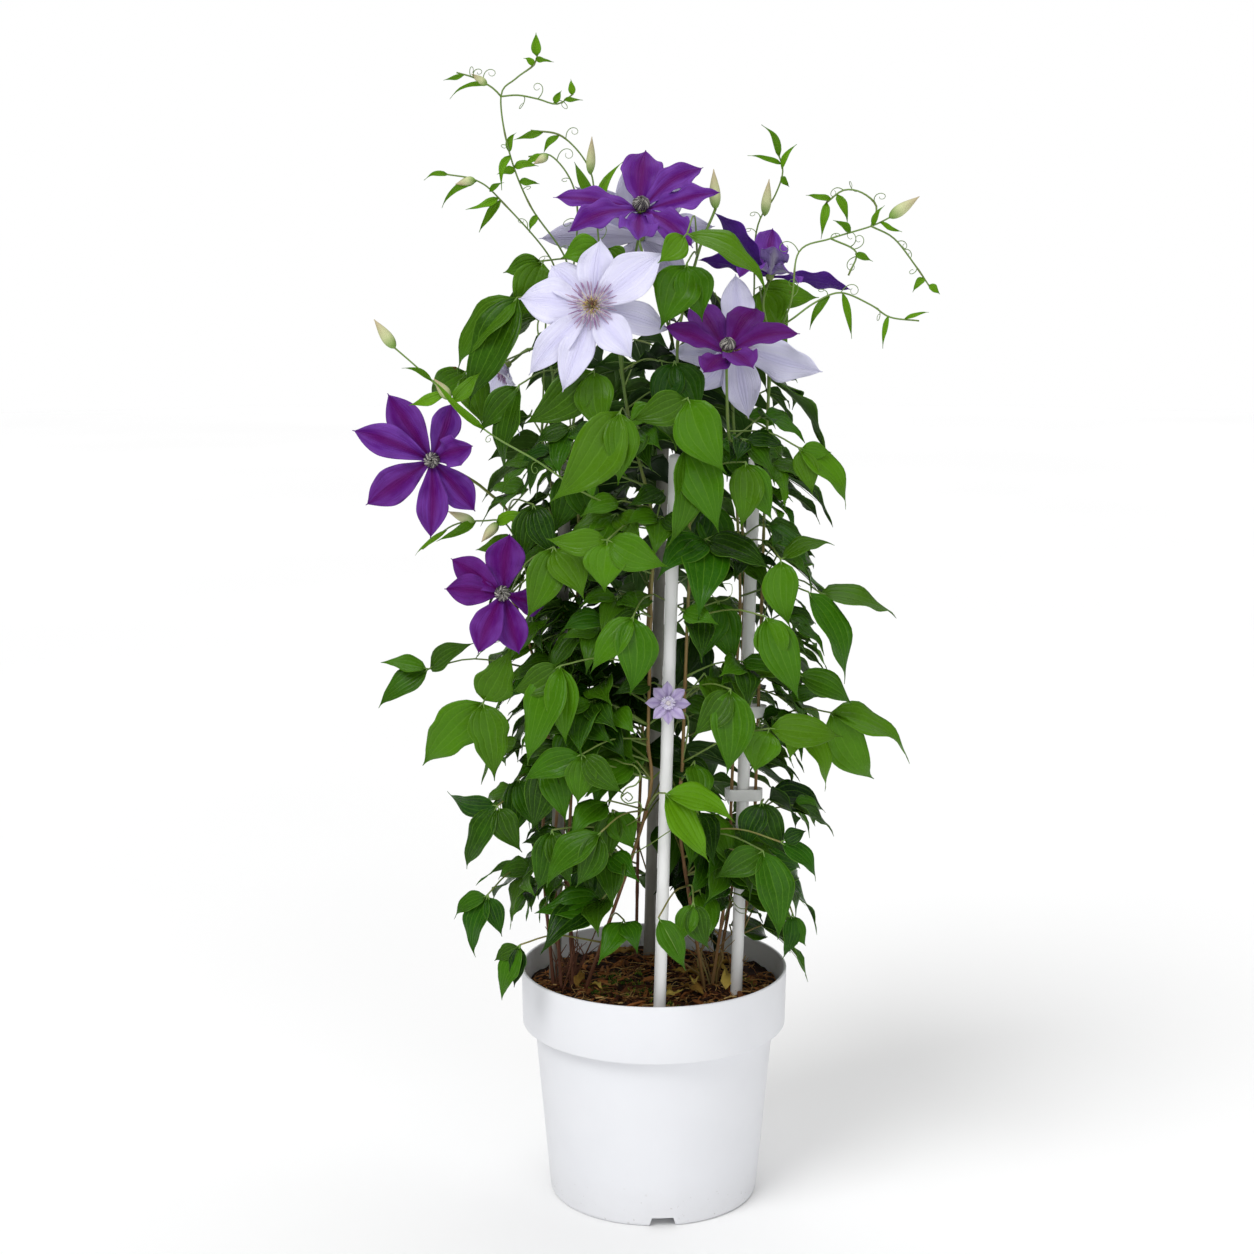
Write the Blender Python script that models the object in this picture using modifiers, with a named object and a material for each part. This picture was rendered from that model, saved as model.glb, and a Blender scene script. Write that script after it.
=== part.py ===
"""A large-flowered clematis in a white nursery pot, climbing four white stakes.

The plant, its pot, its soil and its stakes are separate solids, each at its real size.
Eleven vines rise from the soil, climb the stakes and end in the blooms.
Places that were read from the front are centimetres on the upright plane through the
pot's axis. The function seen() carries such a place along its sight line to its own depth.
"""

import math
import random
from collections import namedtuple

import bmesh
import bpy
from mathutils import Matrix, Vector
from mathutils.bvhtree import BVHTree

CM = 0.01
MM = 0.001
UP = Vector((0.0, 0.0, 1.0))
GAP = 0.0003

# The eye that the front places were read from: 1.9 m before the pot, 0.83 m up.
EYE = Vector((0.0, -1.885, 0.832))

# Pot: a 23 cm nursery pot with a tall rim band.
POT_HEIGHT = 0.203
RIM_RADIUS = 0.115
BAND_FOOT_RADIUS = 0.1141
BAND_FOOT = 0.155
TUCK_RADIUS = 0.1112
TUCK = 0.1445
NECK_RADIUS = 0.1020
NECK = 0.134
FOOT_RADIUS = 0.0905
FOOT_EDGE = 0.003
WALL = 0.0024
FLOOR = 0.0115
POT_SIDES = 32
CHANNEL_COUNT = 3
CHANNEL_HEIGHT = 0.008
CHANNEL_FOOT_WIDTH = 0.027
CHANNEL_TOP_WIDTH = 0.017
CHANNEL_START = 0.052
CHANNEL_TURN = math.radians(-85.0)
DRAIN_RADIUS = 0.005
DRAIN_PLACE = 0.066

# Soil: a bark and coir mix, 22 mm below the rim.
SOIL_LEVEL = 0.181
SOIL_SIDES = 24
SOIL_RINGS = (0.99, 0.72, 0.42)
SOIL_RELIEF = 0.0022
HOLE_CLEARANCE = 0.0004
HOLE_SIDES = 6

# Stakes: white plastic rods that lean a little to the right.
STAKE_RADIUS = 0.0052
STAKE_SIDES = 12
STAKE_FOOT = 0.115
STAKE_LEAN = 0.025
Stake = namedtuple("Stake", "x y top")
STAKES = {
    "front": Stake(0.45, -8.5, 65.5),
    "right": Stake(7.1, -1.8, 64.5),
    "back": Stake(-0.45, 8.0, 65.0),
    "left": Stake(-8.7, 1.5, 64.0),
}

# Clips: flat white loops that hold the stems to the right stake.
CLIP_WALL = 0.0012
CLIP_HEIGHT = 0.010
Clip = namedtuple("Clip", "name x y z length width")
CLIPS = (
    Clip("clip_low", 7.60, -1.80, 35.9, 3.2, 1.34),
    Clip("clip_high", 8.22, -1.80, 43.1, 2.5, 1.34),
)

# Stems, leaf stalks and blades.
VINE_RADIUS = 0.0019
VINE_TIP_RADIUS = 0.0014
SHOOT_RADIUS = 0.0011
SHOOT_TIP_RADIUS = 0.0009
VINE_DEPTH = 0.020
VINE_STEP = 0.060
CLIMB_STEP = 6.0
SHOOT_STEP = 0.028
STALK_WIDTH = 0.0018
BLADE_THICKNESS = 0.0009
CLEARANCE = 0.0009
SMALL_LEAF_ROWS = ((0.42, 1.0),)
SMALL_LEAF_ROOT = 0.0009
SMALL_LEAF_THICKNESS = 0.0007
LEAF_ROWS = ((0.27, 1.0), (0.66, 0.68))
BIG_LEAF_ROWS = ((0.08, 0.60), (0.31, 1.0), (0.68, 0.66))
BIG_LEAF = 0.095
WIDE_SHARE = 0.44
WIDEST_LEAF = 0.043
LEAF_FOLD = 0.20
LEAF_ARCH = 0.09
BUD_SIDES = 5
BUD_SINK = 0.0008

# Petals: rows from root to tip, and the arch of the lower and the upper layer.
PETAL_ROWS = ((0.32, 0.54), (0.66, 1.0))
SMALL_PETAL_ROWS = ((0.45, 1.0),)
PETAL_FOLD = 0.14
PETAL_ARCHES = (0.05, 0.12)
PETAL_ROOT = 0.0030
PETAL_PLACE = 0.0034
PETAL_DROP = 0.0024
SMALL_BLOOM = 0.5
SMALL_PETAL_ROOT = 0.0011
STAMEN_COUNT = 5
SEED = 7

Vine = namedtuple("Vine", "name foot stake angle turn radius start leave crown bloom")
VINES = (
    Vine("vine_left_outer", (-8.7, -0.5), "left", 190, 2.0, 1.25, 29, 46,
         ((-11.3, 0.4, 57.0), (-14.2, -1.2, 61.8)), "bloom_left"),
    Vine("vine_left_front", (-8.0, -1.5), "left", 262, 1.5, 1.35, 29, 42,
         ((-9.9, -1.2, 46.5), (-10.9, -2.8, 50.5)), "bloom_low_left"),
    Vine("vine_left_inner", (-7.0, -0.9), "left", 320, 1.2, 1.30, 28, 60,
         ((-6.9, -0.8, 66.0), (-5.8, -3.2, 71.5)), "bloom_white_front"),
    Vine("vine_left_back", (-6.7, 0.5), "left", 62, 1.5, 1.30, 28, 60,
         ((-9.6, 3.2, 66.0), (-8.6, 2.6, 71.0)), "bloom_white_left"),
    Vine("vine_front_left", (-6.0, -2.0), "front", 152, 0.3, 1.75, 36, 60,
         ((-2.0, -6.2, 67.5), (-3.0, -3.6, 74.0), (-3.4, -1.6, 79.5)), None),
    Vine("vine_front_right", (4.4, -1.0), "front", 38, -0.2, 1.65, 34, 60,
         ((2.4, -5.6, 68.0), (1.8, -4.9, 74.0), (3.4, -2.8, 81.0), (4.9, -0.8, 84.8)), None),
    Vine("vine_right_outer", (6.9, 0.5), "right", -8, 1.0, 1.05, 30, 60,
         ((9.3, -1.4, 68.0), (9.6, -0.2, 73.5)), "bloom_right"),
    Vine("vine_right_front", (5.0, -0.8), "right", 186, 1.2, 1.02, 29, 56,
         ((6.6, -4.4, 62.5), (5.9, -7.2, 67.2)), "bloom_mid_right"),
    Vine("vine_right_back", (5.5, 0.7), "right", 95, 0.8, 1.30, 32, 60,
         ((6.6, 1.0, 67.0), (6.4, 2.2, 72.0), (6.5, 1.8, 75.0)), "bloom_white_right"),
    Vine("vine_back_left", (-1.6, 6.4), "back", 185, 1.8, 1.25, 28, 60,
         ((-2.4, 5.6, 68.0), (-2.7, 2.4, 75.0)), "bloom_top"),
    Vine("vine_back_right", (0.9, 6.6), "back", 5, 0.9, 1.25, 28, 60,
         ((1.9, 7.4, 67.5), (1.4, 4.4, 74.0)), "bloom_white_back"),
)

# Blooms: centre and petal tips as seen from the front, each with its own depth in
# centimetres towards the eye, and each petal with its width.
Bloom = namedtuple("Bloom", "name colour place depth facing petals tuft")
BLOOMS = (
    Bloom("bloom_top", "purple", (-1.2, 84.9), 4.0, (0.05, -0.72, 0.69), (
        (-0.8, 89.5, -1.0, 3.5), (3.9, 88.1, 1.4, 2.6), (5.3, 86.1, 5.4, 2.7),
        (3.1, 81.6, 8.0, 2.9), (-1.4, 82.2, 9.4, 3.2), (-7.2, 82.9, 6.8, 2.7),
        (-8.4, 85.7, 3.2, 2.7)), 1.0),
    Bloom("bloom_right", "purple", (9.5, 79.6), 0.0, (0.22, 0.45, 0.87), (
        (4.8, 84.5, -0.5, 2.9), (9.6, 83.2, -4.4, 3.0), (16.1, 78.2, 0.4, 2.6),
        (11.8, 78.7, 4.2, 2.4), (9.8, 81.7, 4.4, 2.4), (6.9, 79.2, 4.4, 2.4),
        (3.5, 80.6, -1.2, 2.6)), 0.45),
    Bloom("bloom_mid_right", "purple", (6.0, 73.4), 9.0, (0.0, -0.55, 0.83), (
        (3.3, 77.3, 4.2, 3.0), (8.4, 76.7, 4.4, 3.0), (0.7, 75.2, 9.0, 2.7),
        (12.0, 74.6, 8.6, 2.7), (4.0, 71.4, 13.2, 2.6), (8.2, 71.7, 14.2, 2.7)), 0.9),
    Bloom("bloom_white_front", "white", (-5.2, 76.9), 10.0, (-0.05, -0.97, 0.22), (
        (-4.5, 82.4, 9.2, 3.2), (0.7, 81.3, 10.4, 3.7), (1.2, 74.9, 7.2, 2.7),
        (-1.9, 72.6, 11.4, 3.0), (-7.7, 69.8, 11.6, 2.8), (-10.5, 71.2, 9.6, 2.6),
        (-11.3, 77.5, 8.8, 3.8), (-8.6, 80.2, 7.2, 2.9)), 1.5),
    Bloom("bloom_white_right", "white", (6.7, 73.5), 2.8, (0.05, -0.90, -0.42), (
        (13.9, 71.5, 3.2, 3.5), (7.8, 67.6, 4.6, 3.2), (3.3, 69.8, 4.0, 2.6),
        (1.2, 73.2, 0.8, 2.3), (3.0, 77.4, 1.2, 2.6), (6.6, 79.5, 1.0, 2.8)), 1.0),
    Bloom("bloom_white_left", "white", (-12.6, 71.9), 0.0, (-0.80, -0.35, -0.48), (
        (-11.3, 66.2, 1.6, 2.6), (-12.2, 66.2, -2.8, 2.5), (-13.8, 69.6, -6.0, 2.6),
        (-15.4, 75.2, -3.6, 2.6), (-13.2, 77.6, 1.2, 2.7), (-11.6, 70.4, 5.6, 2.6)), 1.0),
    Bloom("bloom_white_back", "white", (-1.2, 82.6), -6.5, (0.0, 0.95, 0.30), (
        (-9.6, 82.4, -7.5, 3.0), (-6.6, 86.6, -5.4, 2.9), (-2.4, 88.4, -5.0, 3.0),
        (2.4, 87.4, -5.2, 2.9), (4.9, 83.4, -7.8, 3.0), (2.6, 78.6, -7.8, 2.9),
        (-3.6, 77.6, -8.0, 3.0)), 1.3),
    Bloom("bloom_left", "purple", (-18.7, 64.1), 8.0, (0.10, -0.98, 0.12), (
        (-22.3, 69.7, 8.0, 2.9), (-25.3, 66.6, 8.6, 2.7), (-24.3, 60.3, 9.0, 3.0),
        (-18.9, 57.5, 9.0, 2.6), (-15.1, 59.8, 7.6, 2.7), (-15.2, 65.3, 10.6, 2.6),
        (-16.9, 68.9, 5.0, 2.5)), 0.9),
    Bloom("bloom_low_left", "purple", (-12.8, 52.8), 9.4, (-0.10, -0.97, 0.20), (
        (-12.2, 57.9, 8.2, 3.3), (-17.2, 55.8, 8.8, 2.5), (-17.8, 53.2, 10.6, 2.6),
        (-15.0, 47.6, 11.0, 2.7), (-11.5, 47.6, 10.4, 2.7), (-9.4, 51.7, 7.0, 2.3)), 0.9),
    Bloom("bloom_lilac", "lilac", (1.15, 43.4), 11.6, (0.10, -0.98, 0.15), (
        (1.1, 45.3, 11.2, 0.9), (2.6, 44.6, 11.0, 0.9), (3.1, 43.3, 11.4, 0.9),
        (2.6, 42.0, 12.0, 0.9), (1.2, 41.5, 12.2, 0.9), (-0.1, 42.0, 12.0, 0.9),
        (-0.8, 43.4, 11.4, 0.9), (-0.1, 44.7, 11.0, 0.9)), 0.35),
)
RECEPTACLE_RADIUS = 0.0048
RECEPTACLE_LENGTH = 0.0070
RECEPTACLE_SIDES = 7
STALK_RUN = 0.0227

# Shoots and flower stalks: the vine that carries each, the height where it leaves the
# vine, its places seen from the front with their depth, its leaflets, its buds and the
# bloom that it ends in.
Shoot = namedtuple("Shoot", "vine height places leaflets buds bloom", defaults=(None,))
SHOOTS = (
    Shoot("vine_left_inner", 70.0, (
        (-6.9, 75.5, 0.5), (-7.3, 80.5, 0.0), (-10.3, 85.1, 0.5), (-12.0, 89.5, 1.0),
        (-12.6, 93.8, 1.5), (-11.4, 95.2, 1.0), (-9.9, 96.3, 0.5), (-9.6, 97.2, 0.5)), (
        ((-9.6, 97.0), (-9.7, 98.9), 1.1, 0.5), ((-9.9, 96.3), (-10.7, 96.9), 0.8, 0.5),
        ((-9.7, 96.8), (-8.3, 96.6), 0.7, 0.9), ((-11.5, 87.9), (-13.0, 87.7), 1.0, 1.0),
        ((-11.5, 88.2), (-9.6, 88.3), 1.1, 1.0), ((-11.8, 89.0), (-12.6, 86.6), 0.9, 2.4),
        ((-11.2, 87.0), (-9.5, 86.9), 0.9, 0.6), ((-11.9, 89.4), (-11.4, 91.0), 0.8, 0.6),
        ((-9.7, 84.3), (-10.4, 82.9), 0.8, 0.6)), ()),
    Shoot("vine_left_inner", 93.5, (
        (-13.3, 94.5, 1.6), (-14.8, 95.3, 1.8), (-16.2, 95.7, 2.0)), (
        ((-15.6, 95.5), (-17.3, 95.2), 0.6, 2.0), ((-13.8, 94.8), (-16.8, 93.9), 0.6, 2.2)),
        (((-13.8, 94.7), (-15.0, 95.6), 0.7, 1.9),)),
    Shoot("vine_left_inner", 93.4, (
        (-11.2, 93.9, 1.2), (-9.6, 93.6, 0.8), (-8.0, 93.2, 0.5), (-6.7, 94.0, 0.5)), (
        ((-8.2, 93.2), (-7.7, 94.3), 0.8, 0.5), ((-6.8, 93.9), (-6.9, 95.2), 0.8, 0.5),
        ((-7.4, 93.5), (-6.0, 93.6), 0.6, 1.1)), ()),
    Shoot("vine_left_back", 68.0, (
        (-9.0, 76.5, -3.0), (-8.4, 80.3, -2.5), (-12.7, 85.5, -2.0), (-14.7, 87.1, -1.6),
        (-17.2, 87.6, -1.2)), (
        ((-17.0, 87.6), (-19.0, 87.2), 0.7, -1.0), ((-14.7, 87.0), (-17.7, 85.0), 0.9, -1.8),
        ((-12.9, 85.6), (-15.6, 84.8), 1.0, -1.4), ((-12.8, 85.4), (-14.6, 82.9), 1.0, -2.6),
        ((-12.0, 84.7), (-16.9, 83.0), 0.8, -4.2), ((-13.6, 86.2), (-12.5, 87.0), 0.7, -1.8)),
        (((-14.8, 87.1), (-16.4, 86.8), 0.8, -1.4),)),
    Shoot("vine_back_left", 72.0, (
        (-4.2, 79.0, -1.4), (-4.9, 84.5, -1.6), (-5.4, 88.0, -1.4), (-7.6, 90.6, -1.0),
        (-10.2, 91.1, -0.6)), (
        ((-9.2, 91.0), (-11.6, 90.4), 0.9, -0.4), ((-7.9, 90.6), (-9.2, 89.2), 0.8, -0.8),
        ((-5.0, 85.5), (-6.6, 88.8), 1.2, -2.4), ((-4.9, 84.0), (-2.6, 88.9), 1.2, -2.6)),
        (((-5.3, 87.6), (-5.2, 90.6), 0.8, -0.6),)),
    Shoot("vine_left_inner", 78.0, (
        (-6.4, 84.0, -0.4), (-6.9, 87.0, -0.4), (-8.6, 89.1, 0.0), (-10.4, 89.0, 0.2)), (
        ((-9.0, 89.2), (-11.0, 88.2), 0.8, 0.2),), (((-8.8, 89.1), (-10.0, 88.4), 0.7, 0.6),)),
    Shoot("vine_right_back", 70.0, (
        (8.0, 76.0, -4.6), (8.3, 83.0, -4.4), (9.8, 85.9, -4.0), (10.4, 87.8, -4.0),
        (10.0, 89.3, -4.0)), (
        ((10.1, 89.0), (8.7, 91.6), 0.9, -4.0), ((10.3, 88.0), (11.5, 90.0), 0.7, -4.0),
        ((10.2, 88.4), (7.6, 89.2), 0.7, -3.6), ((10.2, 87.4), (11.0, 86.6), 0.8, -4.0)),
        (((8.9, 84.3), (9.3, 87.2), 0.9, -4.2),)),
    Shoot("vine_right_outer", 73.0, (
        (11.2, 77.2, 5.4), (11.8, 81.3, 4.6), (14.4, 82.4, 4.0), (17.7, 83.4, 3.4),
        (19.4, 84.2, 3.2)), (
        ((16.0, 83.0), (14.6, 83.9), 0.9, 3.8), ((17.8, 83.6), (18.7, 85.1), 0.7, 3.6),
        ((18.4, 83.7), (20.3, 83.0), 0.6, 3.2)), (((19.2, 84.1), (21.6, 85.8), 1.0, 3.2),)),
    Shoot("vine_right_outer", 83.3, (
        (18.1, 85.0, 3.0), (16.9, 86.1, 2.6), (15.4, 86.3, 2.2), (14.0, 85.3, 2.0)), (
        ((14.4, 85.6), (12.3, 86.0), 0.8, 1.6), ((14.0, 85.3), (13.6, 82.4), 1.0, 2.4),
        ((14.8, 86.0), (15.8, 83.6), 1.0, 2.6)), ()),
    Shoot("vine_right_outer", 83.0, (
        (19.6, 82.4, 3.0), (21.4, 80.2, 2.6), (22.6, 78.5, 2.4)), (
        ((22.2, 79.2), (21.2, 78.1), 0.9, 2.8), ((22.5, 78.6), (23.5, 77.9), 0.9, 2.4),
        ((22.5, 78.7), (21.6, 75.4), 0.8, 4.2)), ()),
    Shoot("vine_right_outer", 82.6, (
        (16.5, 81.3, 4.6), (15.9, 79.4, 4.8)), (((16.4, 81.2), (17.9, 80.6), 0.9, 4.8),), ()),
    Shoot("vine_right_outer", 75.5, (
        (11.4, 75.9, 5.2), (13.2, 77.2, 5.2), (15.3, 78.0, 4.8), (17.8, 77.0, 4.6),
        (19.4, 76.0, 4.6), (21.8, 75.7, 4.6)), (
        ((14.4, 77.6), (12.7, 75.0), 0.9, 5.0), ((15.4, 77.8), (16.3, 74.2), 0.8, 4.8),
        ((19.2, 76.0), (18.8, 73.4), 0.6, 4.6), ((20.6, 75.9), (22.6, 76.5), 0.5, 4.4)), ()),
    Shoot("vine_front_left", 58.5, (
        (-5.6, 61.2, 10.6), (-9.8, 64.0, 11.4), (-14.4, 66.8, 10.0), (-19.3, 71.4, 8.6),
        (-21.8, 73.6, 8.0)), (
        ((-17.4, 69.6), (-20.6, 68.8), 1.4, 8.8), ((-14.4, 66.9), (-18.6, 71.4), 0.9, 10.6),
        ((-16.6, 68.8), (-14.6, 71.6), 1.8, 8.2), ((-18.6, 70.8), (-21.0, 71.9), 0.7, 9.0)), (
        ((-21.6, 73.4), (-23.3, 75.8), 1.0, 7.8), ((-17.2, 69.4), (-18.4, 70.9), 0.9, 10.0))),
    Shoot("vine_left_front", 45.5, (
        (-10.8, 54.4, 5.2), (-12.4, 58.6, 5.6), (-14.4, 59.0, 6.0), (-17.0, 58.6, 6.0),
        (-19.6, 56.6, 6.0)), (
        ((-15.2, 58.8), (-18.4, 57.4), 1.2, 7.0), ((-13.2, 58.6), (-10.4, 59.6), 1.6, 6.6),
        ((-12.0, 57.6), (-15.2, 56.6), 1.8, 4.6), ((-17.6, 58.2), (-20.4, 56.2), 0.6, 6.2)), (
        ((-15.2, 58.9), (-17.4, 59.8), 0.9, 6.0), ((-13.0, 58.6), (-14.6, 57.2), 0.9, 7.6))),
    Shoot("vine_front_right", 40.5, ((2.9, 41.8, 8.0), (2.1, 42.8, 9.4)), (), (), "bloom_lilac"),
)
TOP_BUD = ((4.95, 84.9), (4.75, 88.0), 1.0, 0.8)

# Leaves that show from the front: the place where the leaf stalk forks, and for each
# leaflet its tip and the width that shows. Depths are added to the foliage's own front.
Leaf = namedtuple("Leaf", "fork depth leaflets")
FRONT_LEAVES = (
    Leaf((-2.9, 68.2), 2.4, ((-8.9, 60.5, 4.2), (-3.1, 62.0, 2.8))),
    Leaf((2.7, 69.3), 1.2, ((6.0, 63.0, 4.0), (-2.1, 67.4, 2.8))),
    Leaf((2.6, 65.2), 0.0, ((5.4, 58.0, 3.6), (1.3, 56.6, 2.6))),
    Leaf((-5.1, 71.6), 1.6, ((-11.2, 67.0, 3.5), (-4.2, 66.0, 3.2))),
    Leaf((-4.0, 57.4), 1.4, ((-9.2, 57.5, 2.2), (-4.2, 52.9, 3.4), (1.2, 55.1, 3.0))),
    Leaf((-8.5, 56.8), 0.4, ((-6.0, 52.3, 3.2), (-10.9, 50.5, 3.1))),
    Leaf((-1.8, 50.9), 0.6, ((-2.1, 44.0, 3.5), (-5.6, 46.0, 2.4))),
    Leaf((6.5, 44.6), 1.2, ((6.2, 37.0, 3.6), (3.2, 40.4, 2.6))),
    Leaf((-8.0, 46.6), 0.8, ((-12.3, 44.3, 2.5), (-11.0, 37.9, 3.2), (-7.6, 39.6, 2.8))),
    Leaf((-14.6, 43.4), 1.2, ((-12.1, 48.2, 3.4), (-19.9, 37.8, 4.0), (-13.7, 36.5, 3.5))),
    Leaf((-19.2, 46.3), 0.6, ((-23.3, 46.9, 1.4), (-23.7, 43.0, 2.1), (-15.4, 48.6, 1.9))),
    Leaf((-6.2, 38.9), 1.2, ((-11.3, 36.5, 2.5), (-2.6, 35.4, 2.3), (-6.6, 34.4, 2.6))),
    Leaf((-13.5, 34.3), 0.4, ((-17.9, 35.5, 1.8), (-16.5, 28.7, 2.1), (-11.4, 30.2, 2.4))),
    Leaf((-4.6, 32.0), 1.6, ((-9.5, 27.1, 2.5), (-6.8, 27.0, 2.5))),
    Leaf((-14.4, 26.4), 0.0, ((-17.4, 24.2, 1.4), (-15.7, 20.7, 1.9), (-13.2, 22.6, 1.8))),
    Leaf((-11.6, 21.9), -0.4, ((-13.9, 20.4, 1.5), (-13.4, 16.8, 1.9), (-12.2, 18.0, 1.6))),
    Leaf((10.6, 55.8), 0.0, ((11.5, 49.9, 3.0), (15.1, 57.3, 1.3))),
    Leaf((13.0, 53.0), 0.6, ((16.3, 45.1, 2.2),)),
    Leaf((14.0, 52.9), -0.4, ((20.6, 51.0, 1.6),)),
    Leaf((9.4, 50.9), 1.0, ((10.9, 46.0, 2.9), (12.4, 43.6, 3.2))),
    Leaf((9.8, 41.2), 1.2, ((8.6, 37.2, 3.3), (16.3, 40.6, 2.8))),
    Leaf((12.2, 45.9), 0.4, ((17.0, 43.3, 2.2),)),
    Leaf((15.0, 42.6), 0.2, ((22.3, 38.6, 2.0), (19.0, 36.5, 3.5))),
    Leaf((12.6, 41.6), 0.2, ((11.6, 38.4, 1.6), (14.8, 35.7, 1.8))),
    Leaf((0.9, 35.5), 2.4, ((7.0, 33.0, 2.1), (4.9, 29.3, 2.5))),
    Leaf((10.9, 31.2), 0.6, ((13.1, 32.2, 1.5), (14.2, 27.8, 1.6))),
    Leaf((9.4, 30.4), 0.8, ((5.2, 27.9, 2.6), (10.8, 22.4, 3.1))),
    Leaf((12.0, 24.8), 0.0, ((11.2, 20.6, 1.5), (13.2, 21.8, 1.4))),
    Leaf((3.4, 25.8), 2.0, ((2.0, 22.0, 1.9), (4.8, 21.5, 2.2))),
    Leaf((0.4, 24.4), 3.4, ((2.8, 19.5, 2.1),)),
    Leaf((7.6, 64.0), 0.0, ((7.2, 58.3, 2.8), (9.9, 59.0, 2.6))),
    Leaf((12.0, 65.2), -1.0, ((16.4, 60.2, 2.0), (13.2, 61.2, 2.0), (14.8, 64.8, 1.5))),
    Leaf((-11.3, 70.4), 0.0, ((-12.9, 63.0, 2.0), (-14.6, 66.4, 2.4))),
    Leaf((-11.4, 77.6), -1.6, ((-16.7, 71.2, 2.6), (-15.9, 68.6, 3.6))),
    Leaf((2.6, 82.8), -1.6, ((9.6, 78.1, 1.8), (0.2, 80.4, 2.2))),
    Leaf((2.6, 80.4), -4.0, ((0.4, 75.0, 3.8), (3.9, 75.6, 3.2))),
    Leaf((8.6, 78.4), -3.4, ((9.9, 74.6, 3.8), (13.6, 77.6, 2.4), (11.2, 73.2, 2.4))),
    Leaf((-4.2, 81.8), -3.0, ((-2.6, 79.6, 2.4), (-7.8, 80.8, 2.6))),
    Leaf((-9.2, 80.6), -4.0, ((-12.6, 79.6, 2.0), (-11.6, 75.6, 3.6))),
    Leaf((-15.6, 71.6), -2.0, ((-18.8, 69.4, 2.4), (-14.4, 67.0, 2.8))),
)
FRONT_DEPTH = 12.2
FRONT_HALF_WIDTH = 19.0
FORK_NECK = 0.004
TIP_FALL = 0.105
DEPTH_SHIFTS = (0.0, -0.8, 0.8, -1.6, -2.4, 1.6, -3.2, 2.4, -4.2, -5.2, 3.4, -6.4, -7.8, -9.2)
STALK_REACH = 0.20
STALK_TRIES = 34
SHORT_STALK = 0.045

# Leaves by rule: a ring of places at each height, filled where no leaf lies yet.
FILL_HEIGHTS = (71.0, 64.0, 57.0, 50.0, 43.0, 36.0, 29.0)
FILL_AROUND = 11
FILL_RADIUS = 0.088
FILL_SPACING = 0.056
FILL_TRIES = 16
FILL_LENGTH = 0.080
FILL_WIDTH = 0.54

# Sight lines that the filling leaves keep open: places, half sizes and depth.
Window = namedtuple("Window", "x z half_width half_height depth")
WINDOWS = (
    Window(0.75, 36.0, 1.1, 17.0, 8.0),
    Window(7.4, 21.5, 1.0, 4.0, 1.0),
    Window(7.6, 35.5, 1.2, 4.0, 1.0),
    Window(7.9, 50.5, 0.9, 2.5, 1.0),
    Window(-1.4, 33.5, 1.1, 3.0, -20.0),
)
FILL_SIDE_LIMIT = 16.0
BLOOM_WINDOW = 5.0

COLOURS = {
    "pot_plastic": ((0.80, 0.81, 0.83), 0.55),
    "soil": ((0.055, 0.022, 0.012), 0.95),
    "stake_plastic": ((0.82, 0.82, 0.82), 0.45),
    "leaf_green": ((0.045, 0.17, 0.02), 0.42),
    "purple": ((0.11, 0.015, 0.25), 0.55),
    "white": ((0.72, 0.70, 0.86), 0.55),
    "lilac": ((0.42, 0.36, 0.72), 0.55),
    "stamens": ((0.32, 0.22, 0.30), 0.60),
}


def seen(place, depth=0.0):
    """Point in space that shows at a place of the front plane, depth cm nearer the eye."""
    on_plane = Vector((place[0] * CM, 0.0, place[1] * CM))
    return on_plane + (EYE - on_plane).normalized() * depth * CM


def place_of(point):
    """Front place in cm of a point in space, and its depth towards the eye in cm."""
    share = EYE.y / (EYE.y - point.y)
    on_plane = EYE + (point - EYE) * share
    depth = (EYE - on_plane).length - (EYE - point).length
    return on_plane.x / CM, on_plane.z / CM, depth / CM


def foliage_front(place):
    """Depth of the foliage's front at a place: deepest at the middle, shallow at the sides."""
    share = min(1.0, abs(place[0]) / FRONT_HALF_WIDTH)
    return FRONT_DEPTH * math.sqrt(max(0.03, 1.0 - share * share))


def across(vector, axis):
    """The part of a vector that stands square to an axis, as a unit vector."""
    flat = vector - axis * vector.dot(axis) / axis.dot(axis)
    if flat.length < 1e-6:
        flat = axis.orthogonal()
    return flat.normalized()


def smooth(points, step):
    """Points about step apart on a smooth curve through the given points."""
    ends = [points[0] * 2 - points[1]] + list(points) + [points[-1] * 2 - points[-2]]
    line = []
    for before, start, end, after in zip(ends, ends[1:], ends[2:], ends[3:]):
        count = max(1, round((end - start).length / step))
        for index in range(count):
            t = index / count
            line.append(0.5 * (2 * start + (end - before) * t
                               + (2 * before - 5 * start + 4 * end - after) * t ** 2
                               + (3 * start - before - 3 * end + after) * t ** 3))
    line.append(points[-1].copy())
    return line


def material(name):
    """Principled material in the colour of one kind of piece."""
    if name in bpy.data.materials:
        return bpy.data.materials[name]
    colour, roughness = COLOURS[name]
    result = bpy.data.materials.new(name)
    result.use_nodes = True
    shader = result.node_tree.nodes["Principled BSDF"]
    shader.inputs["Base Color"].default_value = (*colour, 1.0)
    shader.inputs["Roughness"].default_value = roughness
    shader.inputs["Metallic"].default_value = 0.0
    return result


def add_object(name, data, collection, finish):
    """New object on its mesh or curve data, in a collection, with one material."""
    data.materials.clear()
    data.materials.append(material(finish))
    result = bpy.data.objects.new(name, data)
    collection.objects.link(result)
    return result


def object_from_bmesh(name, work, collection, finish):
    """Object on a finished bmesh, which is freed."""
    data = bpy.data.meshes.new(name)
    work.to_mesh(data)
    work.free()
    return add_object(name, data, collection, finish)


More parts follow.
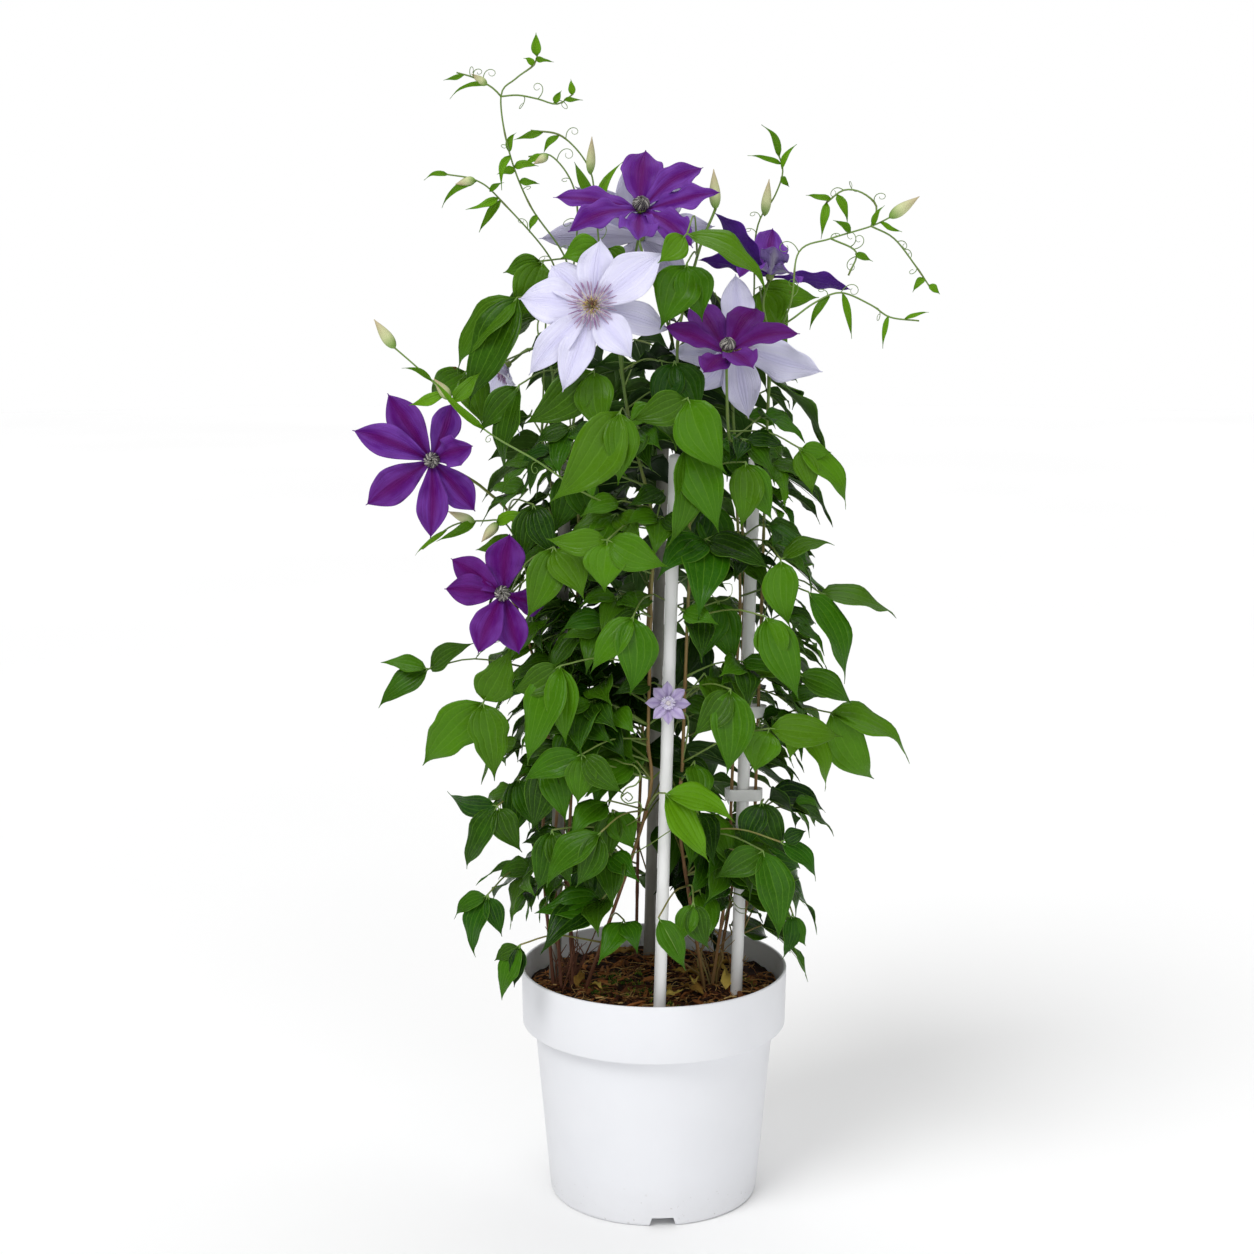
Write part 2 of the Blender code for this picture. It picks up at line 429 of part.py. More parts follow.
def evaluated(source, weld=0.0):
    """New mesh of an object as its modifiers leave it, in world space."""
    bpy.context.view_layer.update()
    graph = bpy.context.evaluated_depsgraph_get()
    data = bpy.data.meshes.new_from_object(source.evaluated_get(graph))
    data.transform(source.matrix_world)
    if weld:
        work = bmesh.new()
        work.from_mesh(data)
        bmesh.ops.remove_doubles(work, verts=work.verts, dist=weld)
        work.to_mesh(data)
        work.free()
    return data


def remove(source):
    """Remove an object and its data."""
    data = source.data
    bpy.data.objects.remove(source)
    if data.users == 0:
        if isinstance(data, bpy.types.Curve):
            bpy.data.curves.remove(data)
        else:
            bpy.data.meshes.remove(data)


def tube(name, points, radii, collection, finish):
    """Closed four-sided tube through the points, thick as the first radius to the last."""
    curve = bpy.data.curves.new(name, "CURVE")
    curve.dimensions = "3D"
    curve.bevel_depth = 1.0
    curve.bevel_resolution = 0
    curve.use_fill_caps = True
    line = curve.splines.new("POLY")
    line.points.add(len(points) - 1)
    for index, (spot, point) in enumerate(zip(line.points, points)):
        share = index / (len(points) - 1)
        spot.co = (*point, 1.0)
        spot.radius = radii[0] + (radii[1] - radii[0]) * share
    guide = add_object(name + "_line", curve, collection, finish)
    result = add_object(name, evaluated(guide, weld=1e-6), collection, finish)
    remove(guide)
    return result


def tube_shell(points, radius, sides=4):
    """Corners and faces of a tube, for the space that a stem takes up."""
    corners = []
    reach = radius * (1.3 if sides == 4 else 1.1)
    faces = []
    for index, point in enumerate(points):
        before = points[max(0, index - 1)]
        after = points[min(len(points) - 1, index + 1)]
        along = (after - before).normalized()
        side = across(Vector((1.0, 0.37, 0.11)), along) * reach
        corners += [point + Matrix.Rotation(math.tau * corner / sides, 3, along) @ side
                    for corner in range(sides)]
        if index:
            start = sides * (index - 1)
            for corner in range(sides):
                following = (corner + 1) % sides
                faces.append((start + corner, start + following,
                              start + sides + following, start + sides + corner))
    return corners, faces


def round_shell(profile, sides, centre=(0.0, 0.0)):
    """Corners and faces of a closed ring of (radius, height) places round an upright axis."""
    corners = []
    for step in range(sides):
        turn = math.tau * step / sides
        for radius, height in profile:
            corners.append(Vector((centre[0] + radius * math.cos(turn),
                                   centre[1] + radius * math.sin(turn), height)))
    count = len(profile)
    faces = []
    for step in range(sides):
        for index in range(count):
            following = (index + 1) % count
            start = step * count
            end = (step + 1) % sides * count
            faces.append((start + index, end + index, end + following, start + following))
    return corners, faces


class Space:
    """What is already taken up by pieces, so that no leaf crosses another node."""

    def __init__(self):
        self.taken = []

    def add(self, shell, owner, kind):
        """Take up the space of a shell of corners and faces."""
        corners, faces = shell
        middle = sum(corners, Vector()) / len(corners)
        reach = max((corner - middle).length for corner in corners)
        tree = BVHTree.FromPolygons(corners, faces)
        self.taken.append((tree, middle, reach, owner, kind))

    def add_long(self, points, radius, owner, kind):
        """Take up a stem's space in short stretches, which are quicker to test."""
        for start in range(0, len(points) - 1, 3):
            self.add(tube_shell(points[start:start + 4], radius), owner, kind)

    def is_free(self, shell, owner=None, kinds=()):
        """True where a shell touches nothing but the owner's pieces of the given kinds."""
        corners, faces = shell
        middle = sum(corners, Vector()) / len(corners)
        reach = max((corner - middle).length for corner in corners)
        tree = None
        for other, centre, size, other_owner, kind in self.taken:
            if (centre - middle).length > size + reach:
                continue
            if other_owner == owner and kind in kinds:
                continue
            if tree is None:
                tree = BVHTree.FromPolygons(corners, faces)
            if tree.overlap(other):
                return False
        return True

    def nearest(self, point, kind):
        """Distance from a point to the middle of the nearest piece of a kind."""
        return min((centre - point).length for _, centre, _, _, other in self.taken
                   if other == kind)


class Blade:
    """A leaflet or petal: a thin folded blade from its base to its tip."""

    def __init__(self, base, tip, width, normal, rows, fold=LEAF_FOLD, arch=LEAF_ARCH):
        self.base = base
        self.tip = tip
        self.along = tip - base
        self.normal = across(normal, self.along)
        self.side = self.along.cross(self.normal).normalized()
        self.half = width / 2
        self.rows = rows
        self.fold = fold
        self.arch = arch

    def spine(self, share):
        """Point on the midrib, which arches up between base and tip."""
        rise = self.arch * self.along.length * 4 * share * (1 - share)
        return self.base + self.along * share + self.normal * rise

    def row(self, share, width):
        """Left edge, midrib and right edge at a share of the length."""
        middle = self.spine(share)
        lift = self.normal * self.fold * self.half * width
        return (middle - self.side * self.half * width + lift, middle,
                middle + self.side * self.half * width + lift)

    def sheet(self, left, right):
        """Corners and triangles of the blade from its root edge to its tip.

        Of two or more rows the last has no midrib corner, so the blade's point lies flat.
        """
        corners = [left, right]
        rows = [self.row(share, width) for share, width in self.rows]
        if len(rows) == 1:
            corners += [*rows[0], self.tip]
            return corners, [(0, 3, 2), (0, 1, 3), (1, 4, 3), (2, 3, 5), (3, 4, 5)]
        faces = []
        for index, (start, middle, end) in enumerate(rows[:-1]):
            first = len(corners)
            corners += [start, middle, end]
            if index == 0:
                faces += [(0, first + 1, first), (0, 1, first + 1), (1, first + 2, first + 1)]
            else:
                faces += [(first - 3, first - 2, first), (first, first - 2, first + 1),
                          (first - 2, first + 2, first + 1), (first - 2, first - 1, first + 2)]
        last = len(corners)
        corners += [rows[-1][0], rows[-1][2], self.tip]
        faces += [(last - 3, last - 2, last), (last, last - 2, last + 1),
                  (last - 2, last - 1, last + 1), (last, last + 1, last + 2)]
        return corners, faces

    def root(self, width):
        """Left and right end of the blade's root edge."""
        return self.base - self.side * width / 2, self.base + self.side * width / 2

    def shell(self, root_width=STALK_WIDTH):
        """Blade made thicker and wider, for the space that it takes up."""
        grown = Blade(self.base, self.tip, 2 * self.half + 2 * CLEARANCE, self.normal,
                      self.rows, self.fold, self.arch)
        corners, faces = grown.sheet(*self.root(root_width))
        lift = self.normal * (BLADE_THICKNESS / 2 + CLEARANCE)
        return thick(corners, faces, lift)


def thick(corners, faces, lift):
    """Shell of a sheet moved both ways along a lift, with a rim round its border."""
    count = len(corners)
    above = [corner + lift for corner in corners]
    below = [corner - lift for corner in corners]
    sides = []
    edges = {(a, b) for face in faces for a, b in zip(face, face[1:] + face[:1])}
    for start, end in sorted(edges):
        if (end, start) not in edges:
            sides.append((start, end, end + count, start + count))
    under = [tuple(corner + count for corner in reversed(face)) for face in faces]
    return above + below, list(faces) + under + sides


def add_sheet(work, corners, faces, shared):
    """Add a sheet to a bmesh, with its first corners taken from those already there."""
    points = list(shared) + [work.verts.new(corner) for corner in corners[len(shared):]]
    for face in faces:
        work.faces.new([points[index] for index in face])


def stalk_points(start, fork, lift):
    """Points of a leaf stalk from the vine to its fork, arched where it is long."""
    if (fork - start).length < SHORT_STALK:
        return [start, fork]
    return [start, (start + fork) / 2 + lift, fork]


def stalk_shell(points, width, grow):
    """Space of a flat leaf stalk."""
    return tube_shell(points, width / 2 + grow)


def leaf_sheet(points, blades, width=STALK_WIDTH):
    """Open sheet of a whole leaf: the flat stalk, the fork and its one to three leaflets."""
    work = bmesh.new()
    fork = points[-1]
    along = (fork - points[-2]).normalized()
    normal = sum((blade.normal for blade in blades), Vector())
    normal = across(normal, along)
    side = along.cross(normal)
    half = width / 2
    rows = []
    for point in points[:-1]:
        rows.append((work.verts.new(point - side * half), work.verts.new(point + side * half)))
    near = fork - along * half
    far = fork + along * half
    rows.append((work.verts.new(near - side * half), work.verts.new(near + side * half)))
    rows.append((work.verts.new(far - side * half), work.verts.new(far + side * half)))
    for (left, right), (next_left, next_right) in zip(rows, rows[1:]):
        work.faces.new((left, right, next_right))
        work.faces.new((left, next_right, next_left))
    (near_left, near_right), (far_left, far_right) = rows[-2:]
    turns = sorted(blades, key=lambda blade: math.atan2(
        (blade.tip - fork).dot(side), (blade.tip - fork).dot(along)))
    edges = {1: ((far_left, far_right),),
             2: ((near_left, far_left), (far_right, near_right)),
             3: ((near_left, far_left), (far_left, far_right), (far_right, near_right))}
    for blade, (left, right) in zip(turns, edges[len(turns)]):
        corners, faces = blade.sheet(left.co.copy(), right.co.copy())
        add_sheet(work, corners, faces, (left, right))
    return work


def solid_sheet(name, work, collection, finish, thickness=BLADE_THICKNESS):
    """Closed thin solid of an open sheet, by a Solidify modifier that is kept live."""
    result = object_from_bmesh(name, work, collection, finish)
    solid = result.modifiers.new("thickness", "SOLIDIFY")
    solid.thickness = thickness
    solid.offset = 0.0
    return result


def fuse(name, body, pieces, solver, finish):
    """One closed solid of a body and the pieces of a collection, which are removed."""
    union = body.modifiers.new("union", "BOOLEAN")
    union.operation = "UNION"
    union.operand_type = "COLLECTION"
    union.collection = pieces
    union.solver = solver
    data = evaluated(body)
    plant = body.users_collection[0]
    remove(body)
    for piece in list(pieces.objects):
        remove(piece)
    bpy.data.collections.remove(pieces)
    work = bmesh.new()
    work.from_mesh(data)
    bmesh.ops.remove_doubles(work, verts=work.verts, dist=2e-6)
    bmesh.ops.dissolve_degenerate(work, edges=work.edges, dist=1e-6)
    spare = [vert for vert in work.verts if len(vert.link_edges) == 2]
    bmesh.ops.dissolve_verts(work, verts=spare)
    bmesh.ops.triangulate(work, faces=work.faces)
    work.to_mesh(data)
    work.free()
    data.name = name
    return add_object(name, data, plant, finish)


def cut(target, cutter):
    """Cut a guide's shape out of a solid."""
    cutter.hide_render = True
    cutter.display_type = "WIRE"
    difference = target.modifiers.new(cutter.name, "BOOLEAN")
    difference.operation = "DIFFERENCE"
    difference.object = cutter
    difference.solver = "EXACT"


def turned(name, profile, sides, collection, finish):
    """Turned solid of a profile from the axis up the inside and down the outside."""
    work = bmesh.new()
    points = [work.verts.new((radius, 0.0, height)) for radius, height in profile]
    for start, end in zip(points, points[1:]):
        work.edges.new((start, end))
    result = object_from_bmesh(name, work, collection, finish)
    screw = result.modifiers.new("turn", "SCREW")
    screw.angle = math.tau
    screw.steps = sides
    screw.render_steps = sides
    screw.use_merge_vertices = True
    screw.merge_threshold = 0.00001
    screw.use_smooth_shade = True
    return result


def make_pot(collection, cutters):
    """White pot: foot, tapered wall, tucked rim band, and three channels under the floor."""
    inner_rim = RIM_RADIUS - WALL
    profile = (
        (0.0, FLOOR),
        (FOOT_RADIUS - WALL - 0.001, FLOOR),
        (NECK_RADIUS - WALL, NECK + 0.001),
        (TUCK_RADIUS - WALL, TUCK + 0.001),
        (BAND_FOOT_RADIUS - WALL, BAND_FOOT + 0.001),
        (inner_rim, POT_HEIGHT - 0.0012),
        (inner_rim + 0.0008, POT_HEIGHT),
        (RIM_RADIUS - 0.0008, POT_HEIGHT),
        (RIM_RADIUS, POT_HEIGHT - 0.0012),
        (BAND_FOOT_RADIUS, BAND_FOOT),
        (TUCK_RADIUS, TUCK),
        (NECK_RADIUS, NECK),
        (FOOT_RADIUS, FOOT_EDGE),
        (FOOT_RADIUS - 0.0022, 0.0),
        (0.0, 0.0),
    )
    pot = turned("pot", profile, POT_SIDES, collection, "pot_plastic")
    for index in range(CHANNEL_COUNT):
        turn = CHANNEL_TURN + index * math.tau / CHANNEL_COUNT
        work = bmesh.new()
        bmesh.ops.create_cube(work, size=1.0)
        for vert in work.verts:
            top = vert.co.z > 0
            width = CHANNEL_TOP_WIDTH if top else CHANNEL_FOOT_WIDTH
            length = RIM_RADIUS - CHANNEL_START
            vert.co.x = CHANNEL_START + length * (vert.co.x + 0.5)
            vert.co.y *= width
            vert.co.z = CHANNEL_HEIGHT if top else -0.01
        channel = object_from_bmesh(f"channel_{index}", work, cutters, "pot_plastic")
        channel.rotation_euler.z = turn
        cut(pot, channel)
        work = bmesh.new()
        bmesh.ops.create_cone(work, cap_ends=True, segments=10, radius1=DRAIN_RADIUS,
                              radius2=DRAIN_RADIUS, depth=0.03)
        drain = object_from_bmesh(f"drain_{index}", work, cutters, "pot_plastic")
        drain.location = (DRAIN_PLACE * math.cos(turn), DRAIN_PLACE * math.sin(turn), FLOOR)
        cut(pot, drain)
    return pot


def soil_height(x, y):
    """Height of the soil's lumpy top at a place."""
    wave = math.sin(x * 170 + 1.3) * math.cos(y * 150 - 0.4) + 0.6 * math.sin(x * 310 + y * 270)
    return SOIL_LEVEL + SOIL_RELIEF * wave


def inner_radius(height):
    """Largest radius for what lies in the pot at a height, clear of the faceted wall."""
    heights = (FLOOR, NECK + 0.001, TUCK + 0.001, BAND_FOOT + 0.001, POT_HEIGHT)
    radii = (FOOT_RADIUS - 0.001, NECK_RADIUS, TUCK_RADIUS, BAND_FOOT_RADIUS, RIM_RADIUS)
    for low, high, start, end in zip(heights, heights[1:], radii, radii[1:]):
        if height <= high:
            share = max(0.0, (height - low) / (high - low))
            radius = start + (end - start) * share - WALL
            return radius * math.cos(math.pi / POT_SIDES) - GAP
    return RIM_RADIUS - WALL


def make_soil(collection, cutters, holes):
    """Bark and coir soil with a lumpy top and a plain hole for each stem and stake."""
    steps = (FLOOR + GAP, NECK + 0.001, TUCK + 0.001, BAND_FOOT + 0.001, SOIL_LEVEL - 0.004)
    wall = [(inner_radius(height), height) for height in steps]
    top = [(share * inner_radius(SOIL_LEVEL), SOIL_LEVEL) for share in SOIL_RINGS]
    profile = [(0.0, SOIL_LEVEL)] + top[::-1] + wall[::-1] + [(0.0, FLOOR + GAP)]
    guide = turned("soil_guide", profile, SOIL_SIDES, collection, "soil")
    soil = add_object("soil", evaluated(guide), collection, "soil")
    remove(guide)
    for vert in soil.data.vertices:
        if vert.co.z > SOIL_LEVEL - 0.001:
            vert.co.z = soil_height(vert.co.x, vert.co.y)
    for index, (foot, head, radius) in enumerate(holes):
        work = bmesh.new()
        bmesh.ops.create_cone(work, cap_ends=True, segments=HOLE_SIDES, radius1=radius,
                              radius2=radius, depth=(head - foot).length)
        hole = object_from_bmesh(f"hole_{index:02d}", work, cutters, "soil")
        turn = UP.rotation_difference(head - foot).to_matrix().to_4x4()
        hole.matrix_world = Matrix.Translation((foot + head) / 2) @ turn
        cut(soil, hole)
    return soil


def stake_at(name, height):
    """Point on a stake's axis at a height in cm."""
    stake = STAKES[name]
    lean = STAKE_LEAN * (height - SOIL_LEVEL / CM)
    return Vector((stake.x + lean, stake.y, height)) * CM


def make_stake(name, collection):
    """White rod from deep in the soil to its top, with a softened upper end."""
    foot = stake_at(name, STAKE_FOOT / CM)
    head = stake_at(name, STAKES[name].top)
    work = bmesh.new()
    bmesh.ops.create_cone(work, cap_ends=True, segments=STAKE_SIDES, radius1=STAKE_RADIUS,
                          radius2=STAKE_RADIUS, depth=(head - foot).length)
    rim = [edge for edge in work.edges if all(vert.co.z > 0 for vert in edge.verts)]
    bmesh.ops.bevel(work, geom=rim, offset=0.0012, segments=1, affect="EDGES")
    stake = object_from_bmesh(f"stake_{name}", work, collection, "stake_plastic")
    stake.data.shade_smooth()
    turn = UP.rotation_difference(head - foot).to_matrix().to_4x4()
    stake.matrix_world = Matrix.Translation((foot + head) / 2) @ turn
    return stake


def loop_outline(length, width, sides=5):
    """Points of a flat loop with round ends."""
    radius = width / 2
    reach = length / 2 - radius
    points = []
    for end, turn in ((reach, -90), (-reach, 90)):
        for index in range(sides + 1):
            angle = math.radians(turn + 180 * index / sides)
            points.append((end + radius * math.cos(angle), radius * math.sin(angle)))
    return points


def make_clip(clip, collection):
    """Flat loop round the stake and its stems: two nested outlines, extruded."""
    curve = bpy.data.curves.new(clip.name, "CURVE")
    curve.dimensions = "2D"
    curve.fill_mode = "BOTH"
    curve.extrude = CLIP_HEIGHT / 2
    for shrink in (0.0, 2 * CLIP_WALL):
        outline = loop_outline(clip.length * CM - shrink, clip.width * CM - shrink)
        line = curve.splines.new("POLY")
        line.use_cyclic_u = True
        line.points.add(len(outline) - 1)
        for spot, (x, y) in zip(line.points, outline):
            spot.co = (x, y, 0.0, 1.0)
    guide = add_object(clip.name + "_line", curve, collection, "stake_plastic")
    guide.location = (clip.x * CM, clip.y * CM, clip.z * CM)
    result = add_object(clip.name, evaluated(guide, weld=1e-6), collection, "stake_plastic")
    remove(guide)
    return result


def clip_shells(clip):
    """Space of a clip's wall, in short straight stretches."""
    outline = loop_outline(clip.length * CM - CLIP_WALL, clip.width * CM - CLIP_WALL)
    shells = []
    for (x, y), (next_x, next_y) in zip(outline, outline[1:] + outline[:1]):
        low = Vector((clip.x * CM + x, clip.y * CM + y, clip.z * CM - CLIP_HEIGHT / 2))
        high = Vector((clip.x * CM + next_x, clip.y * CM + next_y, low.z))
        rise = UP * CLIP_HEIGHT
        lift = across(high - low, UP).cross(UP) * (CLIP_WALL / 2 + CLEARANCE)
        shells.append(thick([low, high, high + rise, low + rise], [(0, 1, 2, 3)], lift))
    return shells


def rim_shell():
    """Space of the pot's wall above the soil."""
    low = BAND_FOOT - 0.02
    high = POT_HEIGHT + CLEARANCE
    inner = RIM_RADIUS - WALL - 0.003
    outer = RIM_RADIUS + CLEARANCE
    return round_shell(((inner, low), (inner, high), (outer, high), (outer, low)), 24)


def soil_shell():
    """Space of the soil's top."""
    high = SOIL_LEVEL + 0.004
    low = SOIL_LEVEL - 0.01
    wide = RIM_RADIUS - WALL
    return round_shell(((0.001, low), (0.001, high), (wide, high), (wide, low)), 16)


def bloom_centre(bloom):
    """Middle of a bloom in space."""
    return seen(bloom.place, bloom.depth)


def bloom_scale(bloom):
    """Share of full size that a bloom's middle has."""
    return SMALL_BLOOM if bloom.colour == "lilac" else 1.0


def stalk_end(bloom):
    """Last two points of a bloom's stalk, which comes square to the back of its cup."""
    facing = Vector(bloom.facing).normalized()
    seat = bloom_centre(bloom) - facing * (RECEPTACLE_LENGTH + GAP)
    return [seat - facing * STALK_RUN * bloom_scale(bloom), seat]


def vine_points(vine, bloom):
    """Route of a vine: foot in the soil, climb along its stake, crown and bloom."""
    foot = Vector((vine.foot[0], vine.foot[1], SOIL_LEVEL / CM)) * CM
    first = stake_at(vine.stake, vine.start)
    points = [foot - UP * VINE_DEPTH, foot]
    height = vine.start
    while height <= vine.leave:
        turn = math.radians(vine.angle + vine.turn * (height - vine.start))
        offset = Vector((math.cos(turn), math.sin(turn), 0.0)) * vine.radius * CM
        points.append(stake_at(vine.stake, height) + offset)
        height += CLIMB_STEP
    points += [Vector(place) * CM for place in vine.crown]
    if bloom:
        points += stalk_end(bloom)
    return smooth(points, VINE_STEP)


def nearest_point(points, height):
    """Point of a route nearest to a height."""
    return min(points, key=lambda point: abs(point.z - height))


def receptacle(centre, facing, radius, collection, finish):
    """Small cup that the petals grow from."""
    work = bmesh.new()
    bmesh.ops.create_cone(work, cap_ends=True, segments=RECEPTACLE_SIDES,
                          radius1=radius * 0.6, radius2=radius, depth=RECEPTACLE_LENGTH)
    turn = UP.rotation_difference(facing).to_matrix().to_4x4()
    middle = Matrix.Translation(centre - facing * RECEPTACLE_LENGTH / 2)
    bmesh.ops.transform(work, matrix=middle @ turn, verts=work.verts)
    return object_from_bmesh("receptacle", work, collection, finish)


def petal_blades(bloom):
    """Blades of a bloom's petals, from its middle to their tips."""
    centre = bloom_centre(bloom)
    facing = Vector(bloom.facing).normalized()
    scale = bloom_scale(bloom)
    rows = PETAL_ROWS if scale == 1.0 else SMALL_PETAL_ROWS
    blades = []
    for index, (x, z, depth, width) in enumerate(bloom.petals):
        tip = seen((x, z), depth)
        outward = across(tip - centre, facing)
        layer = 0.0006 if index % 2 else -0.0008
        base = centre + outward * PETAL_PLACE * scale + facing * (layer - PETAL_DROP)
        steep = max(0.0, (tip - base).normalized().dot(facing))
        arch = PETAL_ARCHES[index % 2] * (1 - steep)
        blades.append(Blade(base, tip, width * CM, facing, rows, PETAL_FOLD, arch))
    return blades


def make_bloom(bloom, collection, space):
    """Petals fused to their receptacle, and the tuft of stamens that stands on it."""
    centre = bloom_centre(bloom)
    facing = Vector(bloom.facing).normalized()
    scale = bloom_scale(bloom)
    body = receptacle(centre, facing, RECEPTACLE_RADIUS * scale, collection, bloom.colour)
    pieces = bpy.data.collections.new(bloom.name + "_petals")
    bpy.context.scene.collection.children.link(pieces)
    for index, blade in enumerate(petal_blades(bloom)):
        root = PETAL_ROOT if scale == 1.0 else SMALL_PETAL_ROOT
        work = bmesh.new()
        corners, faces = blade.sheet(*blade.root(root))
        add_sheet(work, corners, faces, ())
        solid_sheet(f"petal_{index}", work, pieces, bloom.colour)
        space.add(blade.shell(root), bloom.name, "petal")
    fuse(bloom.name, body, pieces, "EXACT", bloom.colour)
    space.add_long([centre - facing * RECEPTACLE_LENGTH, centre], RECEPTACLE_RADIUS,
                   bloom.name, "petal")
    make_tuft(bloom, centre, facing, collection, space)


def make_tuft(bloom, centre, facing, collection, space):
    """Tuft of stamens: spikes that stand out of a small button."""
    size = bloom.tuft * CM
    base = centre + facing * GAP
    work = bmesh.new()
    radius = min(0.0036, size * 0.42)
    bmesh.ops.create_cone(work, cap_ends=True, segments=STAMEN_COUNT, radius1=radius,
                          radius2=radius * 0.5, depth=size * 0.5)
    turn = UP.rotation_difference(facing).to_matrix().to_4x4()
    place = Matrix.Translation(base + facing * size * 0.25) @ turn
    bmesh.ops.transform(work, matrix=place, verts=work.verts)
    body = object_from_bmesh("button", work, collection, "stamens")
    pieces = bpy.data.collections.new(bloom.name + "_stamens")
    bpy.context.scene.collection.children.link(pieces)
    scale = bloom_scale(bloom)
    spread = 0.9 if bloom.tuft > 1.2 else 0.55
    side = facing.orthogonal().normalized()
    for index in range(STAMEN_COUNT):
        out = Matrix.Rotation(index * math.tau / STAMEN_COUNT, 3, facing) @ side
        lean = (facing + out * spread * (1.0 if index % 2 else 0.6)).normalized()
        start = base + facing * (size * 0.14) + out * radius * 0.35
        end = start + lean * size
        work = bmesh.new()
        bmesh.ops.create_cone(work, cap_ends=True, segments=3, radius1=0.0011 * scale,
                              radius2=0.0006 * scale, depth=size)
        turn = UP.rotation_difference(lean).to_matrix().to_4x4()
        spot = Matrix.Translation((start + end) / 2) @ turn
        bmesh.ops.transform(work, matrix=spot, verts=work.verts)
        object_from_bmesh(f"stamen_{index}", work, pieces, "stamens")
    fuse(bloom.name + "_stamens", body, pieces, "EXACT", "stamens")
    reach = base + facing * size
    space.add_long([base, reach], radius + size * spread * 0.7, bloom.name, "petal")


class Plant:
    """The vines with what grows from them, gathered before each is fused."""

    def __init__(self, collection):
        self.collection = collection
        self.space = Space()
        self.routes = {}
        self.branches = {}
        self.pieces = {}
        self.bodies = {}
        self.blooms = {bloom.name: bloom for bloom in BLOOMS}

    def add_vine(self, vine):
        """Main stem of a vine."""
        points = vine_points(vine, self.blooms.get(vine.bloom))
        self.routes[vine.name] = points
        self.branches[vine.name] = [points]
        self.bodies[vine.name] = tube(vine.name + "_stem", points,
                                      (VINE_RADIUS, VINE_TIP_RADIUS),
                                      self.collection, "leaf_green")
        pieces = bpy.data.collections.new(vine.name + "_pieces")
        bpy.context.scene.collection.children.link(pieces)
        self.pieces[vine.name] = pieces
        self.space.add_long(points, VINE_RADIUS + CLEARANCE, vine.name, "stem")

    def add_bud(self, vine, points, bud):
        """Spindle-shaped bud that starts inside its stalk."""
        start, end, width, depth = bud
        tip = seen(end, depth)
        base = self.on_line(points, seen(start, depth))
        base -= (tip - base).normalized() * BUD_SINK
        work = bmesh.new()
        bmesh.ops.create_uvsphere(work, u_segments=BUD_SIDES, v_segments=3, radius=1.0)
        length = (tip - base).length / 2
        for vert in work.verts:
            share = (vert.co.z + 1) / 2
            slim = width * CM / 2 * (1.15 - 0.55 * share)
            vert.co = (vert.co.x * slim, vert.co.y * slim, vert.co.z * length)
        turn = UP.rotation_difference(tip - base).to_matrix().to_4x4()
        place = Matrix.Translation((base + tip) / 2) @ turn
        bmesh.ops.transform(work, matrix=place, verts=work.verts)
        object_from_bmesh("bud", work, self.pieces[vine], "leaf_green")
        self.space.add_long([base, tip], width * CM / 2, vine, "shoot")

    def add_shoot(self, shoot):
        """Thin side shoot with its small leaflets and buds."""
        owner = shoot.vine
        start = min((nearest_point(line, shoot.height * CM) for line in self.branches[owner]),
                    key=lambda point: abs(point.z - shoot.height * CM))
        points = [start] + [seen((x, z), depth) for x, z, depth in shoot.places]
        if shoot.bloom:
            points += stalk_end(self.blooms[shoot.bloom])
        points = smooth(points, SHOOT_STEP)
        self.branches[owner].append(points)
        tube("shoot", points, (SHOOT_RADIUS, SHOOT_TIP_RADIUS), self.pieces[owner], "leaf_green")
        self.space.add_long(points, SHOOT_RADIUS + CLEARANCE, owner, "shoot")
        for (base, end, width, depth) in shoot.leaflets:
            start = self.on_line(points, seen(base, depth))
            tip = seen(end, depth)
            normal = (EYE - start).normalized() + UP * 0.5
            blade = Blade(start, tip, width * CM, normal, SMALL_LEAF_ROWS)
            if not self.space.is_free(blade.shell(SMALL_LEAF_ROOT), owner, ("stem", "shoot")):
                print("small leaf touches another piece:", owner, end)
                continue
            work = bmesh.new()
            corners, faces = blade.sheet(*blade.root(SMALL_LEAF_ROOT))
            add_sheet(work, corners, faces, ())
            solid_sheet("small_leaf", work, self.pieces[owner], "leaf_green",
                        SMALL_LEAF_THICKNESS)
            self.space.add(blade.shell(SMALL_LEAF_ROOT), owner, "leaf")
        for bud in shoot.buds:
            self.add_bud(owner, points, bud)

    @staticmethod
    def on_line(points, place):
        """Point of a line of points that lies nearest to a place."""
        best = None
        for start, end in zip(points, points[1:]):
            span = end - start
            share = max(0.0, min(1.0, (place - start).dot(span) / span.length_squared))
            spot = start + span * share
            if best is None or (spot - place).length < (best - place).length:
                best = spot
        return best

    def stalk_to(self, fork, away):
        """Free leaf stalk from the nearest vine to a fork, and the vine that carries it."""
        starts = []
        for owner, points in self.routes.items():
            for point in points[2:]:
                reach = (fork - point).length
                if 0.02 < reach < STALK_REACH:
                    rise = abs(point.z + 0.02 - fork.z)
                    starts.append((reach + 0.6 * rise, owner, point))
        starts.sort(key=lambda start: start[0])
        for reach, owner, start in starts[:STALK_TRIES]:
            for lift in (0.10, 0.26, -0.06):
                distance = (fork - start).length
                points = stalk_points(start, fork, UP * lift * distance + away * 0.08 * distance)
                shell = stalk_shell(points, STALK_WIDTH, CLEARANCE)
                if self.space.is_free(shell, owner, ("stem", "shoot", "stalk")):
                    return owner, points
        return None, None

    def add_leaf(self, name, owner, points, blades):
        """Grow a leaf on its vine and take up its space."""
        work = leaf_sheet(points, blades)
        solid_sheet(name, work, self.pieces[owner], "leaf_green")
        self.space.add(stalk_shell(points, STALK_WIDTH, CLEARANCE), owner, "stalk")
        for blade in blades:
            self.space.add(blade.shell(), owner, "leaf")

